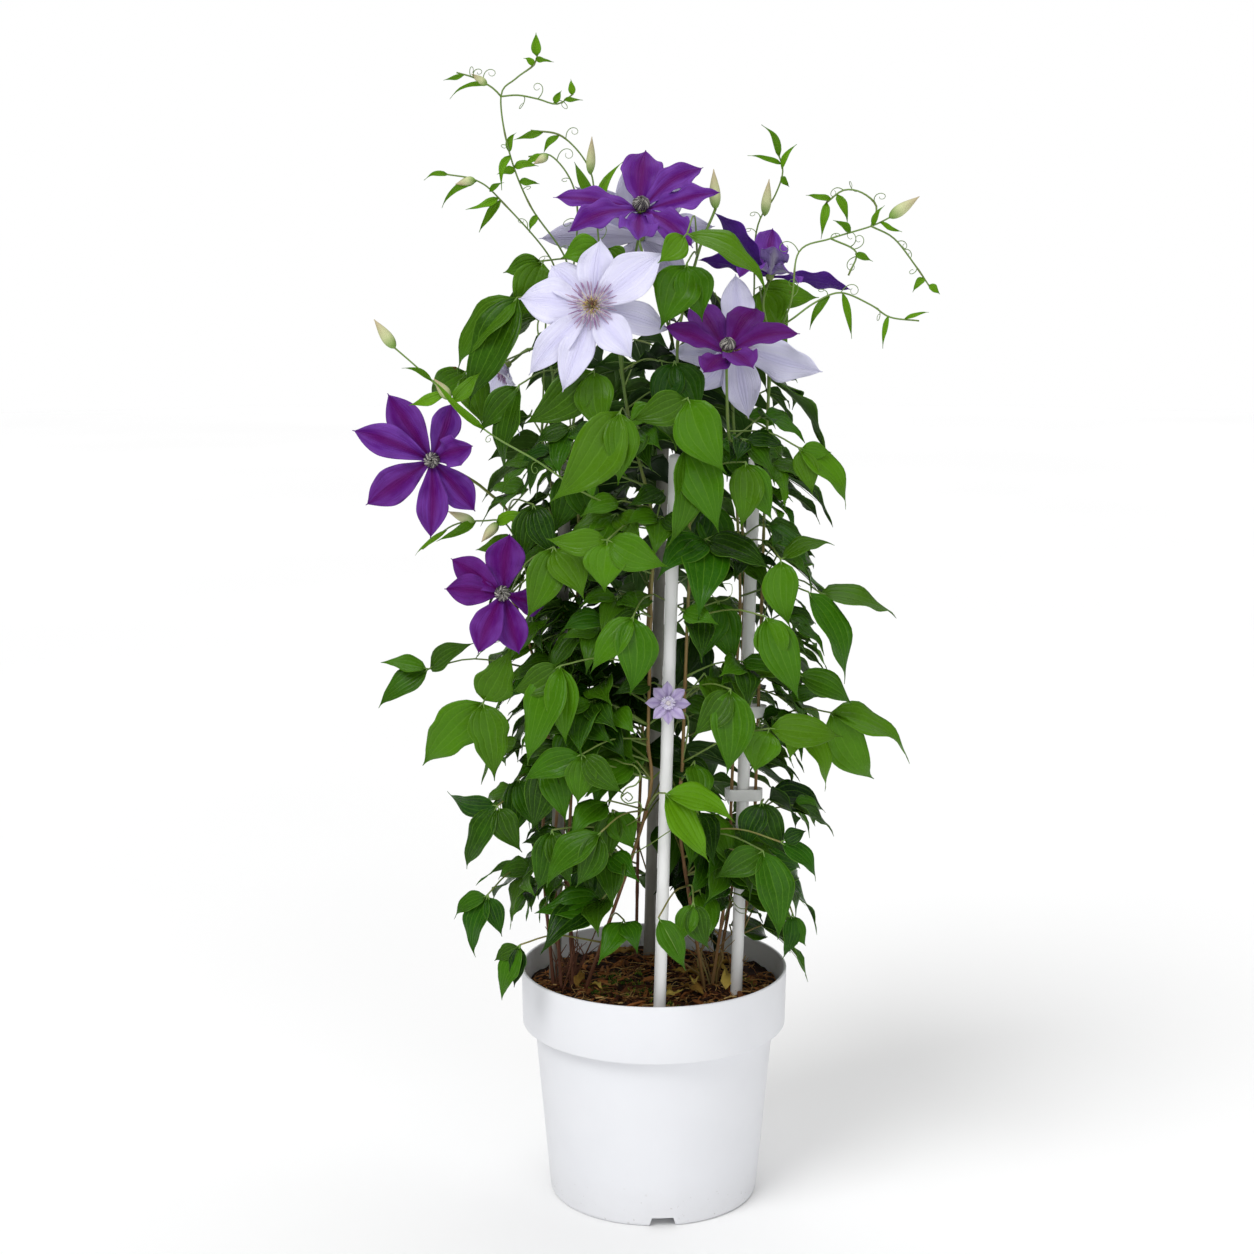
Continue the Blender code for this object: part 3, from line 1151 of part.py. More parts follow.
    @staticmethod
    def leaf_blade(fork, tip, width, normal):
        """Blade of one leaflet, from just off the fork to its tip."""
        along = tip - fork
        rows = BIG_LEAF_ROWS if along.length > BIG_LEAF else LEAF_ROWS
        return Blade(fork + along.normalized() * FORK_NECK, tip, width, normal, rows)

    def seen_blade(self, fork, tip, width):
        """Leaflet turned about its midrib until the given width shows from the eye.

        Where it shows narrow it turns its face away from the pot's axis.
        """
        along = (tip - fork).normalized()
        real = max(width, min(WIDEST_LEAF, WIDE_SHARE * (tip - fork).length))
        towards = across(EYE - fork, along)
        turn = math.acos(width / real)
        outward = Vector((fork.x, fork.y, 0.05))
        choices = [Matrix.Rotation(way * turn, 3, along) @ towards for way in (-1.0, 1.0)]
        return self.leaf_blade(fork, tip, real, max(choices, key=outward.dot))

    def front_leaf(self, index, leaf):
        """Leaf that shows from the front, moved in depth until it is clear of the rest."""
        best = ([], None, None)
        for shift in DEPTH_SHIFTS:
            depth = foliage_front(leaf.fork) + leaf.depth + shift
            fork = seen(leaf.fork, depth)
            blades = []
            for x, z, width in leaf.leaflets:
                fall = TIP_FALL * (leaf.fork[1] - z)
                bend = 0.5 * (foliage_front((x, z)) - foliage_front(leaf.fork))
                blades.append(self.seen_blade(fork, seen((x, z), depth + fall + bend),
                                              width * CM))
            free = [blade for blade in blades if self.space.is_free(blade.shell())]
            if len(free) <= len(best[0]):
                continue
            away = Vector((fork.x, fork.y, 0.0)).normalized()
            owner, points = self.stalk_to(fork, away)
            if owner is None:
                continue
            best = (free, owner, points)
            if len(free) == len(blades):
                break
        blades, owner, points = best
        if len(blades) < len(leaf.leaflets):
            print("front leaf", index, "has", len(blades), "of", len(leaf.leaflets))
        if owner is not None:
            self.add_leaf(f"front_leaf_{index:02d}", owner, points, blades)

    @staticmethod
    def opens_windows(blade):
        """True where a blade hides no bloom and no stake that shows from the front."""
        margin = blade.half / CM * 0.7
        for share in (0.0, 0.3, 0.6, 1.0):
            x, z, depth = place_of(blade.spine(share))
            if abs(x) > FILL_SIDE_LIMIT:
                return False
            for window in WINDOWS:
                if (abs(x - window.x) < window.half_width + margin
                        and abs(z - window.z) < window.half_height + 0.5
                        and depth > window.depth):
                    return False
            for bloom in BLOOMS:
                wide = BLOOM_WINDOW * (1.0 if bloom_scale(bloom) == 1.0 else 0.5)
                if (math.hypot(x - bloom.place[0], z - bloom.place[1]) < wide + margin
                        and depth > bloom.depth - 3.0):
                    return False
        return True

    def fill_leaf(self, index, angle, height):
        """Leaf by rule at a direction round the pot's axis and a height."""
        draw = random.Random(SEED + index)
        for attempt in range(FILL_TRIES):
            turn = angle + draw.uniform(-0.16, 0.16)
            radius = FILL_RADIUS + draw.uniform(-0.012, 0.016)
            level = height + draw.uniform(-0.018, 0.018)
            away = Vector((math.cos(turn), math.sin(turn), 0.0))
            round_way = Vector((-away.y, away.x, 0.0))
            fork = away * radius + UP * level
            droop = draw.uniform(0.5, 1.3)
            swing = draw.uniform(-0.5, 0.5)
            lead = (away * 0.8 + round_way * swing - UP * droop).normalized()
            spread = draw.uniform(0.8, 1.15)
            size = FILL_LENGTH * draw.uniform(0.88, 1.12)
            normal = away + UP * draw.uniform(0.5, 1.1)
            blades = []
            for way, share in ((0.0, 1.0), (-1.0, 0.82), (1.0, 0.82)):
                out = (lead + round_way * way * spread
                       + UP * abs(way) * draw.uniform(0.1, 0.5)).normalized()
                length = size * share
                blade = self.leaf_blade(fork, fork + out * length, length * FILL_WIDTH, normal)
                if self.space.is_free(blade.shell()) and self.opens_windows(blade):
                    blades.append(blade)
            if len(blades) < (3 if attempt < FILL_TRIES // 2 else 2):
                continue
            owner, points = self.stalk_to(fork, away)
            if owner is None:
                continue
            self.add_leaf(f"leaf_{index:02d}", owner, points, blades)
            return

    def fill(self):
        """Fill the places round the column that hold no leaf yet."""
        for level, height in enumerate(FILL_HEIGHTS):
            for step in range(FILL_AROUND):
                angle = math.tau * (step + 0.5 * (level % 2)) / FILL_AROUND
                spot = Vector((math.cos(angle), math.sin(angle), 0.0)) * (FILL_RADIUS + 0.02)
                spot.z = height * CM - 0.01
                if self.space.nearest(spot, "leaf") < FILL_SPACING:
                    continue
                self.fill_leaf(level * FILL_AROUND + step, angle, height * CM)

    def finish(self):
        """Fuse each vine with its shoots, leaves and buds."""
        for name, body in self.bodies.items():
            fuse(name, body, self.pieces[name], "MANIFOLD", "leaf_green")


def main():
    """Build every piece."""
    for item in list(bpy.data.objects):
        bpy.data.objects.remove(item)
    scene = bpy.context.scene
    parts = bpy.data.collections.new("potted_clematis")
    cutters = bpy.data.collections.new("cutters")
    scene.collection.children.link(parts)
    scene.collection.children.link(cutters)
    plant = Plant(parts)
    space = plant.space

    make_pot(parts, cutters)
    space.add(rim_shell(), "pot", "pot")
    space.add(soil_shell(), "soil", "soil")
    holes = []
    for name, stake in STAKES.items():
        make_stake(name, parts)
        ends = [stake_at(name, SOIL_LEVEL / CM), stake_at(name, stake.top)]
        space.add(tube_shell(ends, STAKE_RADIUS + GAP, 10), f"stake_{name}", "stake")
        top = stake_at(name, SOIL_LEVEL / CM + 3)
        foot = stake_at(name, STAKE_FOOT / CM) - UP * GAP
        reach = (STAKE_RADIUS + HOLE_CLEARANCE) / math.cos(math.pi / HOLE_SIDES)
        holes.append((foot, top, reach))
    for clip in CLIPS:
        make_clip(clip, parts)
        for shell in clip_shells(clip):
            space.add(shell, clip.name, "clip")

    for bloom in BLOOMS:
        make_bloom(bloom, parts, space)
    for vine in VINES:
        plant.add_vine(vine)
        foot = plant.routes[vine.name][0]
        reach = (VINE_RADIUS + HOLE_CLEARANCE) / math.cos(math.pi / HOLE_SIDES)
        holes.append((foot - UP * GAP, foot + UP * (VINE_DEPTH + 0.02), reach))
    for shoot in SHOOTS:
        plant.add_shoot(shoot)
    plant.add_bud("vine_front_right", plant.routes["vine_front_right"], TOP_BUD)
    make_soil(parts, cutters, holes)
    for index, leaf in enumerate(FRONT_LEAVES):
        plant.front_leaf(index, leaf)
    plant.fill()
    plant.finish()


main()
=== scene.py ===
"""Looks of a potted large-flowered clematis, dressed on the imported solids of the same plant.

The routes of the vines and the places of the leaves and blooms are those of the solids. Each
solid is stood for by a finer mesh of its own form, and small leaves, stamens, bark, fibres
and tendrils are added. Lengths are metres, but for the layout, which is in centimetres: a
front place is read on the upright plane through the pot's axis.
"""

import logging
from collections.abc import Callable, Iterable, Sequence
from dataclasses import dataclass, field
from enum import Enum
from math import acos, atan, cos, exp, hypot, pi, radians, sin, sqrt, tau
from random import Random

import bmesh
import bpy
import numpy as np
from mathutils import Matrix, Vector, noise
from mathutils.bvhtree import BVHTree


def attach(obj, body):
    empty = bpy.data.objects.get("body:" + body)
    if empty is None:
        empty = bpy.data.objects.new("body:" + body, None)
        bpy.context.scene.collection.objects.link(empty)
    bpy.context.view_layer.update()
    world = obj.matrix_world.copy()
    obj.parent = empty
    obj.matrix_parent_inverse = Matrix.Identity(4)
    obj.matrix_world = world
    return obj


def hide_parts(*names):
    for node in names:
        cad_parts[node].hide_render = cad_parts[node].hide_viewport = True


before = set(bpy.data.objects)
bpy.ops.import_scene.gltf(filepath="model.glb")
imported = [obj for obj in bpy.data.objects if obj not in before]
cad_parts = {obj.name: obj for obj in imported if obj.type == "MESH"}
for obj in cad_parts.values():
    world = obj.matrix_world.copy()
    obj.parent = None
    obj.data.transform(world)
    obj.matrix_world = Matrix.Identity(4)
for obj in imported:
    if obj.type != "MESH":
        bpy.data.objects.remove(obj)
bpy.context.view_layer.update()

log = logging.getLogger("clematis")

Place = tuple[float, float]
Spot = tuple[float, float, float]
Line = Sequence[Vector]
Shell = tuple[Line, list[tuple[int, ...]]]
Array = np.ndarray
Material = bpy.types.Material
Socket = bpy.types.NodeSocket

CM = 0.01
UP = Vector((0.0, 0.0, 1.0))
GAP = 0.0003
CLEARANCE = 0.0009
EYE = Vector((0.0, -1.885, 0.832))
SEED = 7
PLAIN = (0.0, 0.0, 0.0)
STEMS = ("stalk", "stem", "shoot")


class Hue(Enum):
    """Colour of a bloom, by its name in the record."""

    PURPLE = "purple"
    WHITE = "white"
    LILAC = "lilac"


@dataclass(frozen=True)
class Vine:
    """Main stem: its foot in the soil, how it winds up a stake, its crown and its bloom."""

    name: str
    foot: Place
    stake: str
    angle: float
    turn: float
    radius: float
    start: float
    leave: float
    crown: tuple[Spot, ...]
    bloom: str | None


@dataclass(frozen=True)
class Bloom:
    """Bloom: its middle as seen from the front, its depth and facing, petal tips and tuft."""

    name: str
    hue: Hue
    place: Place
    depth: float
    facing: Spot
    petals: tuple[tuple[float, float, float, float], ...]
    tuft: float
    warmth: float = 0.4
    ruffle: float = 0.10
    unturned: tuple[int, ...] = ()


@dataclass(frozen=True)
class Shoot:
    """Side shoot: its vine, the height where it leaves it, its route, leaflets and buds."""

    vine: str
    height: float
    places: tuple[Spot, ...]
    leaflets: tuple = ()
    buds: tuple = ()
    bloom: str | None = None


@dataclass(frozen=True)
class Leaf:
    """Leaf that shows from the front: fork, depth, leaflets, youth and how far it steps back."""

    fork: Place
    depth: float
    leaflets: tuple[Spot, ...]
    youth: float = 0.22
    lobed: bool = False
    step_back: float = 0.0


STAKES = {"front": (0.45, -8.5, 65.5), "right": (7.1, -1.8, 64.5),
          "back": (-0.45, 8.0, 65.0), "left": (-8.7, 1.5, 64.0)}

VINES = (
    Vine("vine_left_outer", (-8.7, -0.5), "left", 190, 2.0, 1.25, 29, 46,
         ((-11.3, 0.4, 57.0), (-14.2, -1.2, 61.8)), "bloom_left"),
    Vine("vine_left_front", (-8.0, -1.5), "left", 262, 1.5, 1.35, 29, 42,
         ((-9.9, -1.2, 46.5), (-10.9, -2.8, 50.5)), "bloom_low_left"),
    Vine("vine_left_inner", (-7.0, -0.9), "left", 320, 1.2, 1.30, 28, 60,
         ((-6.9, -0.8, 66.0), (-5.8, -3.2, 71.5)), "bloom_white_front"),
    Vine("vine_left_back", (-6.7, 0.5), "left", 62, 1.5, 1.30, 28, 60,
         ((-9.6, 3.2, 66.0), (-8.6, 2.6, 71.0)), "bloom_white_left"),
    Vine("vine_front_left", (-6.0, -2.0), "front", 152, 0.3, 1.75, 36, 60,
         ((-2.0, -6.2, 67.5), (-3.0, -3.6, 74.0), (-3.4, -1.6, 79.5)), None),
    Vine("vine_front_right", (4.4, -1.0), "front", 38, -0.2, 1.65, 34, 60,
         ((2.4, -5.6, 68.0), (1.8, -4.9, 74.0), (3.4, -2.8, 81.0), (4.9, -0.8, 84.8)), None),
    Vine("vine_right_outer", (6.9, 0.5), "right", -8, 1.0, 1.05, 30, 60,
         ((9.3, -1.4, 68.0), (9.6, -0.2, 73.5)), "bloom_right"),
    Vine("vine_right_front", (5.0, -0.8), "right", 186, 1.2, 1.02, 29, 56,
         ((6.6, -4.4, 62.5), (5.9, -7.2, 67.2)), "bloom_mid_right"),
    Vine("vine_right_back", (5.5, 0.7), "right", 95, 0.8, 1.30, 32, 60,
         ((6.6, 1.0, 67.0), (6.4, 2.2, 72.0), (6.5, 1.8, 75.0)), "bloom_white_right"),
    Vine("vine_back_left", (-1.6, 6.4), "back", 185, 1.8, 1.25, 28, 60,
         ((-2.4, 5.6, 68.0), (-2.7, 2.4, 75.0)), "bloom_top"),
    Vine("vine_back_right", (0.9, 6.6), "back", 5, 0.9, 1.25, 28, 60,
         ((1.9, 7.4, 67.5), (1.4, 4.4, 74.0)), "bloom_white_back"),
)

BLOOMS = {bloom.name: bloom for bloom in (
    Bloom("bloom_top", Hue.PURPLE, (-1.2, 84.9), 4.0, (0.05, -0.72, 0.69), (
        (-0.8, 89.5, -1.0, 3.5), (3.9, 88.1, 1.4, 2.6), (5.3, 86.1, 5.4, 2.7),
        (3.1, 81.6, 8.0, 2.9), (-1.4, 82.2, 9.4, 3.2), (-7.2, 82.9, 6.8, 2.7),
        (-8.4, 85.7, 3.2, 2.7)), 1.0, 0.35, 0.12),
    Bloom("bloom_right", Hue.PURPLE, (9.5, 79.6), 0.0, (0.22, 0.45, 0.87), (
        (4.8, 84.5, -0.5, 2.9), (9.6, 83.2, -4.4, 3.0), (16.1, 78.2, 0.4, 2.6),
        (11.8, 78.7, 4.2, 2.4), (9.8, 81.7, 4.4, 2.4), (6.9, 79.2, 4.4, 2.4),
        (3.5, 80.6, -1.2, 2.6)), 0.45, 0.15, 0.08, (0, 1, 2, 6)),
    Bloom("bloom_mid_right", Hue.PURPLE, (6.0, 73.4), 9.0, (0.0, -0.55, 0.83), (
        (3.3, 77.3, 4.2, 3.0), (8.4, 76.7, 4.4, 3.0), (0.7, 75.2, 9.0, 2.7),
        (12.0, 74.6, 8.6, 2.7), (4.0, 71.4, 13.2, 2.6), (8.2, 71.7, 14.2, 2.7)), 0.9, 0.95, 0.06),
    Bloom("bloom_white_front", Hue.WHITE, (-5.2, 76.9), 10.0, (-0.05, -0.97, 0.22), (
        (-4.5, 82.4, 9.2, 3.2), (0.7, 81.3, 10.4, 3.7), (1.2, 74.9, 7.2, 2.7),
        (-1.9, 72.6, 11.4, 3.0), (-7.7, 69.8, 11.6, 2.8), (-10.5, 71.2, 9.6, 2.6),
        (-11.3, 77.5, 8.8, 3.8), (-8.6, 80.2, 7.2, 2.9)), 1.5, 0.5, 0.09),
    Bloom("bloom_white_right", Hue.WHITE, (6.7, 73.5), 2.8, (0.05, -0.90, -0.42), (
        (13.9, 71.5, 3.2, 3.5), (7.8, 67.6, 4.6, 3.2), (3.3, 69.8, 4.0, 2.6),
        (1.2, 73.2, 0.8, 2.3), (3.0, 77.4, 1.2, 2.6), (6.6, 79.5, 1.0, 2.8)), 1.0, 0.3, 0.09),
    Bloom("bloom_white_left", Hue.WHITE, (-12.6, 71.9), 0.0, (-0.80, -0.35, -0.48), (
        (-11.3, 66.2, 1.6, 2.6), (-12.2, 66.2, -2.8, 2.5), (-13.8, 69.6, -6.0, 2.6),
        (-15.4, 75.2, -3.6, 2.6), (-13.2, 77.6, 1.2, 2.7), (-11.6, 70.4, 5.6, 2.6)),
        1.0, 0.3, 0.10),
    Bloom("bloom_white_back", Hue.WHITE, (-1.2, 82.6), -6.5, (0.0, 0.95, 0.30), (
        (-9.6, 82.4, -7.5, 3.0), (-6.6, 86.6, -5.4, 2.9), (-2.4, 88.4, -5.0, 3.0),
        (2.4, 87.4, -5.2, 2.9), (4.9, 83.4, -7.8, 3.0), (2.6, 78.6, -7.8, 2.9),
        (-3.6, 77.6, -8.0, 3.0)), 1.3, 0.3, 0.09),
    Bloom("bloom_left", Hue.PURPLE, (-18.7, 64.1), 8.0, (0.10, -0.98, 0.12), (
        (-22.3, 69.7, 8.0, 2.9), (-25.3, 66.6, 8.6, 2.7), (-24.3, 60.3, 9.0, 3.0),
        (-18.9, 57.5, 9.0, 2.6), (-15.1, 59.8, 7.6, 2.7), (-15.2, 65.3, 10.6, 2.6),
        (-16.9, 68.9, 5.0, 2.5)), 0.9, 0.45, 0.11),
    Bloom("bloom_low_left", Hue.PURPLE, (-12.8, 52.8), 9.4, (-0.10, -0.97, 0.20), (
        (-12.2, 57.9, 8.2, 3.3), (-17.2, 55.8, 8.8, 2.5), (-17.8, 53.2, 10.6, 2.6),
        (-15.0, 47.6, 11.0, 2.7), (-11.5, 47.6, 10.4, 2.7), (-9.4, 51.7, 7.0, 2.3)),
        0.9, 0.8, 0.07),
    Bloom("bloom_lilac", Hue.LILAC, (1.15, 43.4), 11.6, (0.10, -0.98, 0.15), (
        (1.1, 45.3, 11.2, 0.9), (2.6, 44.6, 11.0, 0.9), (3.1, 43.3, 11.4, 0.9),
        (2.6, 42.0, 12.0, 0.9), (1.2, 41.5, 12.2, 0.9), (-0.1, 42.0, 12.0, 0.9),
        (-0.8, 43.4, 11.4, 0.9), (-0.1, 44.7, 11.0, 0.9)), 0.35, 0.3, 0.10),
)}

SHOOTS = (
    Shoot("vine_left_inner", 70.0, (
        (-6.9, 75.5, 0.5), (-7.3, 80.5, 0.0), (-10.3, 85.1, 0.5), (-12.0, 89.5, 1.0),
        (-12.6, 93.8, 1.5), (-11.4, 95.2, 1.0), (-9.9, 96.3, 0.5), (-9.6, 97.2, 0.5)), (
        ((-9.6, 97.0), (-9.7, 98.9), 1.1, 0.5), ((-9.9, 96.3), (-10.7, 96.9), 0.8, 0.5),
        ((-9.7, 96.8), (-8.3, 96.6), 0.7, 0.9), ((-11.5, 87.9), (-13.0, 87.7), 1.0, 1.0),
        ((-11.5, 88.2), (-9.6, 88.3), 1.1, 1.0), ((-11.8, 89.0), (-12.6, 86.6), 0.9, 2.4),
        ((-11.2, 87.0), (-9.5, 86.9), 0.9, 0.6), ((-11.9, 89.4), (-11.4, 91.0), 0.8, 0.6),
        ((-9.7, 84.3), (-10.4, 82.9), 0.8, 0.6))),
    Shoot("vine_left_inner", 93.5, (
        (-13.3, 94.5, 1.6), (-14.8, 95.3, 1.8), (-16.2, 95.7, 2.0)), (
        ((-15.6, 95.5), (-17.3, 95.2), 0.6, 2.0), ((-13.8, 94.8), (-16.8, 93.9), 0.6, 2.2)),
        (((-13.8, 94.7), (-15.0, 95.6), 0.7, 1.9),)),
    Shoot("vine_left_inner", 93.4, (
        (-11.2, 93.9, 1.2), (-9.6, 93.6, 0.8), (-8.0, 93.2, 0.5), (-6.7, 94.0, 0.5)), (
        ((-8.2, 93.2), (-7.7, 94.3), 0.8, 0.5), ((-6.8, 93.9), (-6.9, 95.2), 0.8, 0.5),
        ((-7.4, 93.5), (-6.0, 93.6), 0.6, 1.1))),
    Shoot("vine_left_back", 68.0, (
        (-9.0, 76.5, -3.0), (-8.4, 80.3, -2.5), (-12.7, 85.5, -2.0), (-14.7, 87.1, -1.6),
        (-17.2, 87.6, -1.2)), (
        ((-17.0, 87.6), (-19.0, 87.2), 0.7, -1.0), ((-14.7, 87.0), (-17.7, 85.0), 0.9, -1.8),
        ((-12.9, 85.6), (-15.6, 84.8), 1.0, -1.4), ((-12.8, 85.4), (-14.6, 82.9), 1.0, -2.6),
        ((-12.0, 84.7), (-16.9, 83.0), 0.8, -4.2), ((-13.6, 86.2), (-12.5, 87.0), 0.7, -1.8)),
        (((-14.8, 87.1), (-16.4, 86.8), 0.8, -1.4),)),
    Shoot("vine_back_left", 72.0, (
        (-4.2, 79.0, -1.4), (-4.9, 84.5, -1.6), (-5.4, 88.0, -1.4), (-7.6, 90.6, -1.0),
        (-10.2, 91.1, -0.6)), (
        ((-9.2, 91.0), (-11.6, 90.4), 0.9, -0.4), ((-7.9, 90.6), (-9.2, 89.2), 0.8, -0.8),
        ((-5.0, 85.5), (-6.6, 88.8), 1.2, -2.4), ((-4.9, 84.0), (-2.6, 88.9), 1.2, -2.6)),
        (((-5.3, 87.6), (-5.2, 90.6), 0.8, -0.6),)),
    Shoot("vine_left_inner", 78.0, (
        (-6.4, 84.0, -0.4), (-6.9, 87.0, -0.4), (-8.6, 89.1, 0.0), (-10.4, 89.0, 0.2)), (
        ((-9.0, 89.2), (-11.0, 88.2), 0.8, 0.2),), (((-8.8, 89.1), (-10.0, 88.4), 0.7, 0.6),)),
    Shoot("vine_right_back", 70.0, (
        (8.0, 76.0, -4.6), (8.3, 83.0, -4.4), (9.8, 85.9, -4.0), (10.4, 87.8, -4.0),
        (10.0, 89.3, -4.0)), (
        ((10.1, 89.0), (8.7, 91.6), 0.9, -4.0), ((10.3, 88.0), (11.5, 90.0), 0.7, -4.0),
        ((10.2, 88.4), (7.6, 89.2), 0.7, -3.6), ((10.2, 87.4), (11.0, 86.6), 0.8, -4.0)),
        (((8.9, 84.3), (9.3, 87.2), 0.9, -4.2),)),
    Shoot("vine_right_outer", 73.0, (
        (11.2, 77.2, 5.4), (11.8, 81.3, 4.6), (14.4, 82.4, 4.0), (17.7, 83.4, 3.4),
        (19.4, 84.2, 3.2)), (
        ((16.0, 83.0), (14.6, 83.9), 0.9, 3.8), ((17.8, 83.6), (18.7, 85.1), 0.7, 3.6),
        ((18.4, 83.7), (20.3, 83.0), 0.6, 3.2)), (((19.2, 84.1), (21.6, 85.8), 1.0, 3.2),)),
    Shoot("vine_right_outer", 83.3, (
        (18.1, 85.0, 3.0), (16.9, 86.1, 2.6), (15.4, 86.3, 2.2), (14.0, 85.3, 2.0)), (
        ((14.4, 85.6), (12.3, 86.0), 0.8, 1.6), ((14.0, 85.3), (13.6, 82.4), 1.0, 2.4),
        ((14.8, 86.0), (15.8, 83.6), 1.0, 2.6))),
    Shoot("vine_right_outer", 83.0, (
        (19.6, 82.4, 3.0), (21.4, 80.2, 2.6), (22.6, 78.5, 2.4)), (
        ((22.2, 79.2), (21.2, 78.1), 0.9, 2.8), ((22.5, 78.6), (23.5, 77.9), 0.9, 2.4),
        ((22.5, 78.7), (21.6, 75.4), 0.8, 4.2))),
    Shoot("vine_right_outer", 82.6, (
        (16.5, 81.3, 4.6), (15.9, 79.4, 4.8)), (((16.4, 81.2), (17.9, 80.6), 0.9, 4.8),)),
    Shoot("vine_right_outer", 75.5, (
        (11.4, 75.9, 5.2), (13.2, 77.2, 5.2), (15.3, 78.0, 4.8), (17.8, 77.0, 4.6),
        (19.4, 76.0, 4.6), (21.8, 75.7, 4.6)), (
        ((14.4, 77.6), (12.7, 75.0), 0.9, 5.0), ((15.4, 77.8), (16.3, 74.2), 0.8, 4.8),
        ((19.2, 76.0), (18.8, 73.4), 0.6, 4.6), ((20.6, 75.9), (22.6, 76.5), 0.5, 4.4))),
    Shoot("vine_front_left", 58.5, (
        (-5.6, 61.2, 10.6), (-9.8, 64.0, 11.4), (-14.4, 66.8, 10.0), (-19.3, 71.4, 8.6),
        (-21.8, 73.6, 8.0)), (
        ((-17.4, 69.6), (-20.6, 68.8), 1.4, 8.8), ((-14.4, 66.9), (-18.6, 71.4), 0.9, 10.6),
        ((-16.6, 68.8), (-14.6, 71.6), 1.8, 8.2), ((-18.6, 70.8), (-21.0, 71.9), 0.7, 9.0)), (
        ((-21.6, 73.4), (-23.3, 75.8), 1.0, 7.8), ((-17.2, 69.4), (-18.4, 70.9), 0.9, 10.0))),
    Shoot("vine_left_front", 45.5, (
        (-10.8, 54.4, 5.2), (-12.4, 58.6, 5.6), (-14.4, 59.0, 6.0), (-17.0, 58.6, 6.0),
        (-19.6, 56.6, 6.0)), (
        ((-15.2, 58.8), (-18.4, 57.4), 1.2, 7.0), ((-13.2, 58.6), (-10.4, 59.6), 1.6, 6.6),
        ((-12.0, 57.6), (-15.2, 56.6), 1.8, 4.6), ((-17.6, 58.2), (-20.4, 56.2), 0.6, 6.2)), (
        ((-15.2, 58.9), (-17.4, 59.8), 0.9, 6.0), ((-13.0, 58.6), (-14.6, 57.2), 0.9, 7.6))),
    Shoot("vine_front_right", 40.5, ((2.9, 41.8, 8.0), (2.1, 42.8, 9.4)), (), (), "bloom_lilac"),
)
TOP_BUD = ((4.95, 84.9), (4.75, 88.0), 1.0, 0.8)

